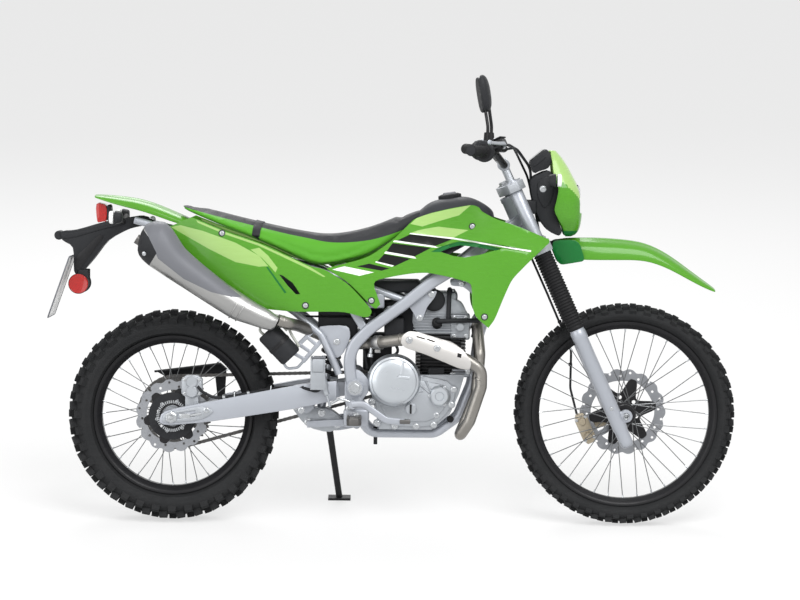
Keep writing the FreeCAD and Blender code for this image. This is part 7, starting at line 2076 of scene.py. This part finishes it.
def makeEngine():
    right = (0, -1, 0)
    parts = [softened("engine_cases", 4, "castAlloy", 3)]
    raised = [(598, 446), (630, 300), (786, 296), (836, 340), (862, 398), (838, 438), (756, 452), (690, 470),
              (640, 468)]
    parts.append(platePiece("caseCover", raised, -99, -91, 3, bikeFrame, "castAlloy"))
    inner = [(616, 440), (642, 316), (780, 312), (822, 348), (846, 398), (830, 424), (750, 440), (700, 452),
             (640, 452)]
    parts.append(platePiece("caseCoverFace", inner, -104, -98, 3, bikeFrame, "castAlloy"))
    parts.append(bolts(bikeFrame, [((x, -99, z), right) for x, z in engineSizes["coverBolts"]], 7.5))
    for x, z in engineSizes["coverBolts"]:
        parts.append(lathe("boltBoss", [(0.01, 0), (12, 0), (11, 7.6), (0.01, 7.6)],
                           turnedFrame(bikeFrame, (x, -91, z), (x, -99, z)), "castAlloy", 24))
    for x, z, tilt in ((745, 430, -0.7), (768, 436, -1.1), (716, 402, 0.1)):
        parts.append(sweep("caseRib", [Vector((x, -104, z)), Vector((x + 44 * math.cos(tilt), -104,
                                                                     z + 44 * math.sin(tilt)))],
                           boxSection(5, 6, 2), bikeFrame, "castAlloy"))
    parts.append(roundedBox("sensorBox", (774, -84, 444), (824, -40, 476), 4, bikeFrame, "blackPlastic"))
    parts.append(roundedBox("frontMount", (846, -60, 446), (908, -38, 474), 5, bikeFrame, "silverPaint"))
    parts.append(bolts(bikeFrame, [((897, -60, 466), right), ((850, -60, 452), right)], 8))
    parts.append(lathe("fillerCap", [(0.01, 0), (18, 0), (18, 4), (15, 6), (15, 9), (0.01, 9)],
                       turnedFrame(bikeFrame, (723, -104, 352), (723, -114, 352)), "castAlloy", 40))
    parts.append(roundedBox("fillerSlot", (720, -115, 338), (726, -112, 366), 1, bikeFrame, "blackMetal"))
    parts.append(pipe("drainTube", [(616, -40, 292), (617, -44, 262), (617, -44, 238)], 6, 20, bikeFrame,
                      "blackPlastic", 14))
    parts.append(lathe("rubberPlug", [(0.01, 0), (9, 0), (10, 3), (10, 9), (0.01, 9)],
                       turnedFrame(bikeFrame, (842, -72, 322), (846, -84, 318)), "bootRubber", 24))
    dress(joined("engineCasesWhole", parts), "chassis", "cast_alloy", "engine_cases")
    parts = []
    clutch = turnedFrame(bikeFrame, (672, -92.3, 437), (672, -140, 437))
    parts.append(lathe("clutchCover", [(0.01, 0), (81, 0), (81, 10), (78, 14), (77, 36), (74, 43), (68, 46),
                                       (66, 49), (62, 51), (50, 54), (24, 56), (0.01, 56.5)], clutch,
                       "polishedCast", 96, 25))
    parts.append(sweep("clutchArm", [Vector((700, -142, 500)), Vector((694, -147, 462)),
                                     Vector((682, -148, 452)), Vector((718, -146, 448))],
                       boxSection(4, 9, 1.5), bikeFrame, "polishedCast"))
    small = turnedFrame(bikeFrame, (810, -92.3, 392), (810, -120, 392))
    parts.append(lathe("oilCover", [(0.01, 0), (34, 0), (34, 10), (30, 14), (28, 24), (24, 27), (14, 27.5),
                                    (12, 25), (0.01, 25)],
                       small, "polishedCast", 64, 25))
    parts.append(bolts(small, [((30 * math.cos(math.radians(t)), 13, 30 * math.sin(math.radians(t))),
                                (0, 1, 0))
                               for t in (30, 150, 270)], 4))
    left = turnedFrame(bikeFrame, (765, 92.3, 385), (765, 130, 385))
    parts.append(lathe("dynamoCover", [(0.01, 0), (72, 0), (72, 10), (68, 14), (66, 30), (60, 37), (40, 40),
                                       (20, 40), (18, 37), (0.01, 37)], left, "polishedCast", 80, 25))
    parts.append(bolts(left, [((70 * math.cos(math.radians(t)), 10, 70 * math.sin(math.radians(t))),
                               (0, 1, 0))
                              for t in range(15, 375, 60)], 4.5))
    dress(joined("engineCoversWhole", parts), "chassis", "cast_alloy", "engine_covers")
    fin = roundedBox("fin", (-76, -1.3, -68), (76, 1.3, 68), 1, Matrix(), "blackMetal", 2)
    places = [((812, 0, 463 + i * 10.2), (0, 0, 1), 1) for i in range(11)]
    barrel = roundedBox("barrel", (750, -56, 457.4), (874, 56, 574.6), 8, bikeFrame, "blackMetal")
    fins = copiesAt(fin, places, bikeFrame, "blackMetal")
    dress(joined("cylinderFinned", [barrel, fins]), "chassis", "black_metal", "cylinder")
    parts = []
    head = [(740, 576), (886, 576), (892, 640), (876, 672), (838, 688), (762, 688), (728, 658), (724, 612)]
    parts.append(platePiece("headCore", head, -58, 58, 6, bikeFrame, "castAlloy"))
    fin = roundedBox("headFin", (-80, -1.2, -65), (84, 1.2, 65), 1, Matrix(), "castAlloy", 2)
    parts.append(copiesAt(fin, [((808, 0, 582 + i * 8.4), (0, 0, 1), 1) for i in range(8)], bikeFrame,
                          "castAlloy"))
    parts.append(roundedBox("rockerCover", (748, -54, 676), (862, 54, 705), 9, bikeFrame, "castAlloy"))
    parts.append(bolts(bikeFrame, [((x, y, 705), (0, 0, 1)) for x in (762, 848) for y in (-40, 40)], 7))
    parts.append(lathe("camCap", [(0.01, 0), (33, 0), (34, 3), (33, 12), (26, 17), (0.01, 18)],
                       turnedFrame(bikeFrame, (790, -62, 680), (790, -84, 680)), "blackPlastic", 48))
    parts.append(roundedBox("camHousing", (840, -62, 560), (900, -20, 640), 7, bikeFrame, "castAlloy"))
    parts.append(bolts(bikeFrame, [((x, -62, z), (0, -1, 0)) for x, z in ((852, 572), (888, 572), (852, 628),
                                                                          (888, 628))], 5.5))
    parts.append(lathe("camTensioner", [(0.01, 0), (15, 0), (15, 6), (11, 8), (11, 16), (0.01, 16)],
                       turnedFrame(bikeFrame, (870, -62, 600), (870, -80, 600)), "castAlloy", 32))
    parts.append(pipe("plugHose", [(800, -66, 612), (800, -84, 618), (858, -84, 620), (925, -70, 620)], 7,
                      16, bikeFrame, "blackPlastic", 16))
    parts.append(lathe("plugCap", [(0.01, 0), (13, 0), (15, 4), (15, 22), (11, 26), (0.01, 26)],
                       turnedFrame(bikeFrame, (800, -58, 604), (800, -86, 620)), "bootRubber", 28))
    parts.append(pipe("breather", [(836, -40, 706), (838, -58, 716), (836, -72, 690), (834, -76, 620)], 7,
                      20, bikeFrame, "blackPlastic", 16))
    dress(joined("cylinderHeadFinned", parts), "chassis", "cast_alloy", "cylinder_head")


makeEngine()


def makeIntake():
    parts = [softened("intake", 3, "blackPlastic", 2)]
    parts.append(roundedBox("filterBox", (440, -84, 566), (560, -46, 690), 6, bikeFrame, "blackPlastic"))
    rib = roundedBox("boxRib", (-3, 0, -58), (3, 5, 58), 1.5, Matrix(), "blackPlastic", 2)
    parts.append(copiesAt(rib, [((452 + i * 16, -84, 628), (0, -1, 0), 1) for i in range(7)], bikeFrame,
                          "blackPlastic"))
    parts.append(roundedBox("throttleBody", (636, -38, 604), (688, 40, 676), 8, bikeFrame, "blackMetal"))
    parts.append(lathe("throttleWheel", [(0.01, 0), (20, 0), (22, 3), (22, 8), (18, 10), (0.01, 10)],
                       turnedFrame(bikeFrame, (660, -38, 640), (660, -52, 640)), "brightSteel", 40))
    for low, high in (((576, -45, 462), (664, 45, 576)), ((690, -56, 562), (750, 30, 680)),
                      ((596, -84, 702), (748, 84, 738))):
        parts.append(roundedBox("innerBox", low, high, 9, bikeFrame, "blackPlastic"))
    parts.append(roundedBox("relayBox", (640, -90, 556), (700, -60, 626), 6, bikeFrame, "blackPlastic"))
    for start, middle, end in (((664, -60, 560), (690, -66, 520), (640, -66, 500)),
                               ((610, -62, 640), (600, -76, 560), (604, -70, 480)),
                               ((588, -70, 620), (575, -80, 560), (590, -74, 470)),
                               ((700, -62, 676), (730, -76, 690), (762, -70, 700)),
                               ((640, -66, 500), (610, -72, 470), (600, -74, 440))):
        parts.append(pipe("wireRun", [start, middle, end], 4.5, 40, bikeFrame, "blackPlastic", 10))
    parts.append(lathe("oxygenSensor", [(0.01, 0), (6, 0), (6, 18), (9, 20), (9, 30), (0.01, 30)],
                       turnedFrame(bikeFrame, (602, -94, 536), (598, -100, 500)), "brightSteel", 20))
    dress(joined("intakeWhole", parts), "chassis", "black_plastic", "intake")


makeIntake()

print("exhaust")
exhaustSizes = {"pipe": [(901.5, -30, 615), (922, -32, 606), (930, -80, 520), (922, -97, 400),
                         (883, -108, 300), (870, -125, 272), (900, -142, 320), (934, -145, 424),
                         (934, -145, 476), (890, -145, 506), (714, -155, 568), (646, -122, 556),
                         (600, -84, 548), (550, -68, 546), (470, -68, 562), (420, -84, 584),
                         (382, -134, 602), (352, -186, 612), (322, -196, 622)], "radius": 18,
                "silencerSide": -196}


def pipeHeight(x):
    # height of the header along the stretch that the shield covers
    line = [(583, 545), (714, 568), (890, 506), (934, 476)]
    for (ax, az), (bx, bz) in zip(line, line[1:]):
        if x <= bx:
            return az + (bz - az) * (x - ax) / (bx - ax)
    return line[-1][1]


def makeExhaust():
    header = pipe("headerTube", exhaustSizes["pipe"], exhaustSizes["radius"], 38, bikeFrame, "headerSteel",
                  28)
    parts = [header]
    for a, b in (((932, -145, 446), (934, -145, 452)), ((690, -144, 564), (684, -141, 563)),
                 ((336, -191, 617), (330, -193, 619))):
        parts.append(lathe("weldBead", [(17.4, -3), (19, -2), (19.4, 0), (19, 2), (17.4, 3)],
                           turnedFrame(bikeFrame, a, b), "headerSteel", 40))
    parts.append(lathe("jointClamp", [(18.2, -12), (21, -12), (22, -10), (22, 10), (21, 12), (18.2, 12)],
                       turnedFrame(bikeFrame, (623, -103, 552), (646, -122, 556)), "mufflerSteel", 40))
    parts.append(roundedBox("clampEar", (612, -104, 520), (630, -94, 540), 3, bikeFrame, "mufflerSteel"))
    parts.append(lathe("headFlange", [(18.2, -4), (29, -4), (29, 4), (18.2, 4)],
                       turnedFrame(bikeFrame, (907, -30, 613), (922, -32, 606)), "castAlloy", 40))
    dress(joined("exhaustHeader", parts), "chassis", "header_steel", "exhaust_pipe")
    outline = [(690, 556), (696, 580), (714, 592), (742, 590), (800, 572), (846, 560), (880, 536),
               (904, 500), (898, 476), (868, 480), (820, 500), (760, 524), (706, 540)]
    slots = [[(738, 578), (764, 571), (763, 567), (737, 574)], [(770, 570), (793, 563), (792, 559),
                                                                (769, 566)],
             [(862, 528), (874, 525), (872, 513), (860, 516)]]

    def shieldAt(x, z):
        away = z - pipeHeight(x)
        return x, -178.5 + 0.0095 * away ** 2 + 0.0000012 * away ** 4 + max(0, x - 880) * 0.2, z
    shield = panelMesh("heatShieldShell", smoothOutline(outline, 3), slots, [], 11, shieldAt, bikeFrame,
                       ["shieldAlloy"], 2, 0.7)
    # a black sheet just behind the lower slot: painted shade that darkens the opening
    rim = panelMesh("shieldHoles", [(858, 531), (877, 526), (873, 510), (857, 514)], [], [], 8,
                    lambda x, z: (x, shieldAt(x, z)[1] + 3.5, z), bikeFrame, ["blackMetal"], 1.2)
    screws = []
    for x, z in ((716, 565), (800, 542)):
        screws.append(((x, shieldAt(x, z)[1] - 0.2, z), (0, -1, 0)))
    dress(joined("heatShieldWhole", [shield, rim, bolts(bikeFrame, screws, 8)]), "chassis", "shield_alloy",
          "heat_shield")
    # low and high edge of the tapering silencer along its length, as (x, z, x, z, half width)
    edges = [(312, 596, 328, 630, 19), (300, 590, 316, 638, 24), (280, 594, 298, 652, 28),
             (232, 609, 260, 672, 34), (186, 623, 226, 694, 40), (124, 661, 172, 728, 46),
             (43, 712, 97, 786, 52), (-12, 746, 42, 834, 56), (-44, 767, 5, 892, 57),
             (-62, 778, -17, 913, 57), (-84, 797, -48, 915, 53), (-95, 812, -74, 905, 44),
             (-99, 826, -88, 882, 26), (-97, 846, -93, 864, 9)]
    dark = [(-83, 893), (-101, 884), (-103, 820), (-66, 776), (-38, 820), (-62, 868)]
    guard = [(-100, 930), (20, 940), (80, 800), (216, 690), (184, 692), (124, 706), (43, 744), (-34, 804),
             (-62, 868)]
    points, faces, steps, around = [], [], 5, 48
    sideways = exhaustSizes["silencerSide"]
    for i in range((len(edges) - 1) * steps + 1):
        first = min(i // steps, len(edges) - 2)
        share = i / steps - first
        lx, lz, hx, hz, half = [p + (q - p) * share for p, q in zip(edges[first], edges[first + 1])]
        for j in range(around):
            turn = 2 * math.pi * j / around
            up, out = (1 - math.cos(turn)) / 2, math.sin(turn)
            points.append((lx + (hx - lx) * up, sideways + half * out, lz + (hz - lz) * up))
    rows = len(points) // around
    for i in range(rows - 1):
        for j in range(around):
            k = (j + 1) % around
            faces.append((i * around + j, i * around + k, (i + 1) * around + k, (i + 1) * around + j))
    for base in (0, (rows - 1) * around):
        faces.append(tuple(base + j for j in range(around)))
    body = meshPiece("mufflerBody", points, faces, bikeFrame, 40)
    smooth = body.modifiers.new("even", "SMOOTH")
    smooth.iterations = 6
    smooth.factor = 0.5
    body = settled(body, 40)
    shape = bmesh.new()
    shape.from_mesh(body.data)
    bmesh.ops.recalc_face_normals(shape, faces=shape.faces)
    for line in (dark, guard):
        for (ax, az), (bx, bz) in zip(line, line[1:] + line[:1]):
            cut = (bikeFrame.to_3x3() @ Vector((az - bz, 0, bx - ax))).normalized()
            bmesh.ops.bisect_plane(shape, geom=shape.verts[:] + shape.edges[:] + shape.faces[:],
                                   dist=0.00001, plane_co=bikeFrame @ Vector((ax, sideways, az)),
                                   plane_no=cut)
    shape.to_mesh(body.data)
    shape.free()
    body.data.materials.clear()
    for look in ("mufflerSteel", "greyGuard", "blackPlastic"):
        body.data.materials.append(materials[look])
    back = bikeFrame.inverted()
    for face in body.data.polygons:
        centre = back @ face.center
        spot = (centre.x, centre.z)
        face.material_index = 2 if inside(spot, dark) else 1 if inside(spot, guard) else 0
    seam = []
    for lx, lz, hx, hz, half in ((196, 619, 231, 679, 40.5), (176, 628, 213, 690, 42)):
        ring = [(lx + (hx - lx) * (1 - math.cos(t)) / 2, sideways + half * math.sin(t),
                 lz + (hz - lz) * (1 - math.cos(t)) / 2)
                for t in (2 * math.pi * j / 40 for j in range(40))]
        seam.append(sweep("mufflerClamp", [Vector(p) for p in ring], circleSection(2.2, 8), bikeFrame,
                          "mufflerSteel", closed=True))
    outlet = lathe("mufflerOutlet", [(11, -20), (15, -20), (15, 10), (11, 10)],
                   turnedFrame(bikeFrame, (-94, sideways, 856), (-120, sideways, 872)), "darkSteel", 32)
    screws = bolts(bikeFrame, [((-76, sideways - 44, 818), (-0.3, -1, -0.2))], 5)
    dress(joined("mufflerWhole", [body, outlet, screws] + seam), "chassis", "muffler_alloy", "muffler")


makeExhaust()

print("fittings")


def makeFittings():
    low, ahead = Vector((288, -145, 585)), Vector((62, 0, -65))
    can = turnedFrame(bikeFrame, low, low + ahead)
    parts = [lathe("canisterBody", [(0.01, 0), (31, 0), (34, 3), (36, 8), (36, 100), (34, 105), (31, 108),
                                    (0.01, 108)], can,
                   "blackPlastic", 56)]
    parts.append(lathe("canisterBand", [(36.2, 48), (37.4, 48.6), (37.4, 59.4), (36.2, 60)], can,
                       "blackMetal", 56))
    axis = ahead.normalized()
    out = Vector((0, -1, 0))
    up = axis.cross(out) * -1
    up = up if up.z > 0 else -up
    base = low + up * 12
    parts.append(pipe("ventHose", [base - axis * -2, base - axis * 22 + up * 4, base + up * 40 - axis * 24,
                                   base + up * 52 + axis * 14, base + up * 36 + axis * 54,
                                   base + up * 27 + axis * 100], 4.2, 26, bikeFrame, "paleHose", 14))
    parts.append(pipe("ventHoseLow", [low - up * 14, low - up * 16 - axis * 16, low - axis * 30 + up * 6,
                                      low + up * 44 - axis * 8, low + up * 46 + axis * 40], 4.2, 20,
                      bikeFrame, "paleHose", 14))
    dress(joined("canisterWhole", parts), "chassis", "black_plastic", "canister")
    parts = [softened("radiators", 2.5, "blackMetal")]
    fin = roundedBox("coreFin", (-13, -0.7, -36), (13, 0.7, 36), 0.4, Matrix(), "darkSteel", 1)
    places = [((959.5, side * 70.5, 650 + i * 6.6), (0, 0, 1), 1) for side in (1, -1) for i in range(22)]
    parts.append(copiesAt(fin, places, bikeFrame, "darkSteel"))
    for side in (1, -1):
        for z in (640.5, 791.5):
            parts.append(roundedBox("coreTank", (943, side * 70 - 45, z), (975, side * 70 + 45, z + 9), 3,
                                    bikeFrame, "satinAlloy"))
    dress(joined("radiatorsCored", parts), "chassis", "black_metal", "radiators")
    dress(softened("chain_guard", 1.6, "blackPlastic"), "chassis", "black_plastic", "chain_guard")
    parts = [softened("footpegs", 1.6, "darkSteel")]
    tooth = lathe("pegTooth", [(0.01, -1), (2.6, -1), (1.6, 4.5), (0.01, 4.5)], Matrix(), "darkSteel", 6, 20)
    places = []
    for side in (1, -1):
        for i in range(9):
            for dx in (-19, 19):
                places.append(((553 + dx, side * (131 + i * 9), 330), (0, 0, 1), 1))
    parts.append(copiesAt(tooth, places, bikeFrame, "darkSteel"))
    for side in (1, -1):
        parts.append(helix("pegSpring", (541, side * 112, 338), (566, side * 112, 338), 7, 1.6, 5, bikeFrame,
                           "brightSteel"))
    dress(joined("footpegsToothed", parts), "chassis", "black_metal", "footpegs")
    pedal = [(548, -150, 366), (577, -162, 372), (650, -170, 322), (705, -175, 318)]
    lever = [(688, 120, 357), (692, 136, 345), (710, 150, 330), (710, 180, 330)]
    parts = [sweep("brakePedal", roundedRoute(pedal, 38), boxSection(11, 20, 4), bikeFrame, "silverPaint"),
             pipe("gearLever", lever, 6, 30, bikeFrame, "satinAlloy", 16),
             roundedBox("pedalTread", (690, -186, 313), (722, -160, 326), 3, bikeFrame, "darkSteel"),
             lathe("gearRubber", [(0.01, 0), (8.5, 0), (9.5, 2), (9.5, 34), (8.5, 36), (0.01, 36)],
                   turnedFrame(bikeFrame, (710, 148, 330), (710, 180, 330)), "bootRubber", 28),
             lathe("pedalHub", [(0.01, -14), (13, -14), (14, -12), (14, 12), (13, 14), (0.01, 14)],
                   bikeFrame @ Matrix.Translation((548, -140, 366)), "silverPaint", 32),
             pipe("pedalRod", [(548, -138, 372), (508, -137, 384), (482, -137, 368)], 4, 20, bikeFrame,
                  "brightSteel", 12)]
    dress(joined("footLeversWhole", parts), "chassis", "axle_steel", "foot_levers")


makeFittings()


def makeStand():
    parts = [softened("side_stand", 2, "blackMetal", 2)]
    pivot = Vector((470, 124, 288))
    foot = Vector((504, 252, 42))
    middle = pivot.lerp(Vector((504, 252, 44)), 0.5)
    parts.append(sweep("standLeg", [pivot.lerp(foot, 0.06), middle, pivot.lerp(foot, 0.94)],
                       boxSection(22, 19, 6), bikeFrame, "blackMetal", [1.1, 1.0, 0.94]))
    dress(joined("sideStandWhole", parts), "side_stand", "black_metal", "side_stand")


makeStand()

print("finish")
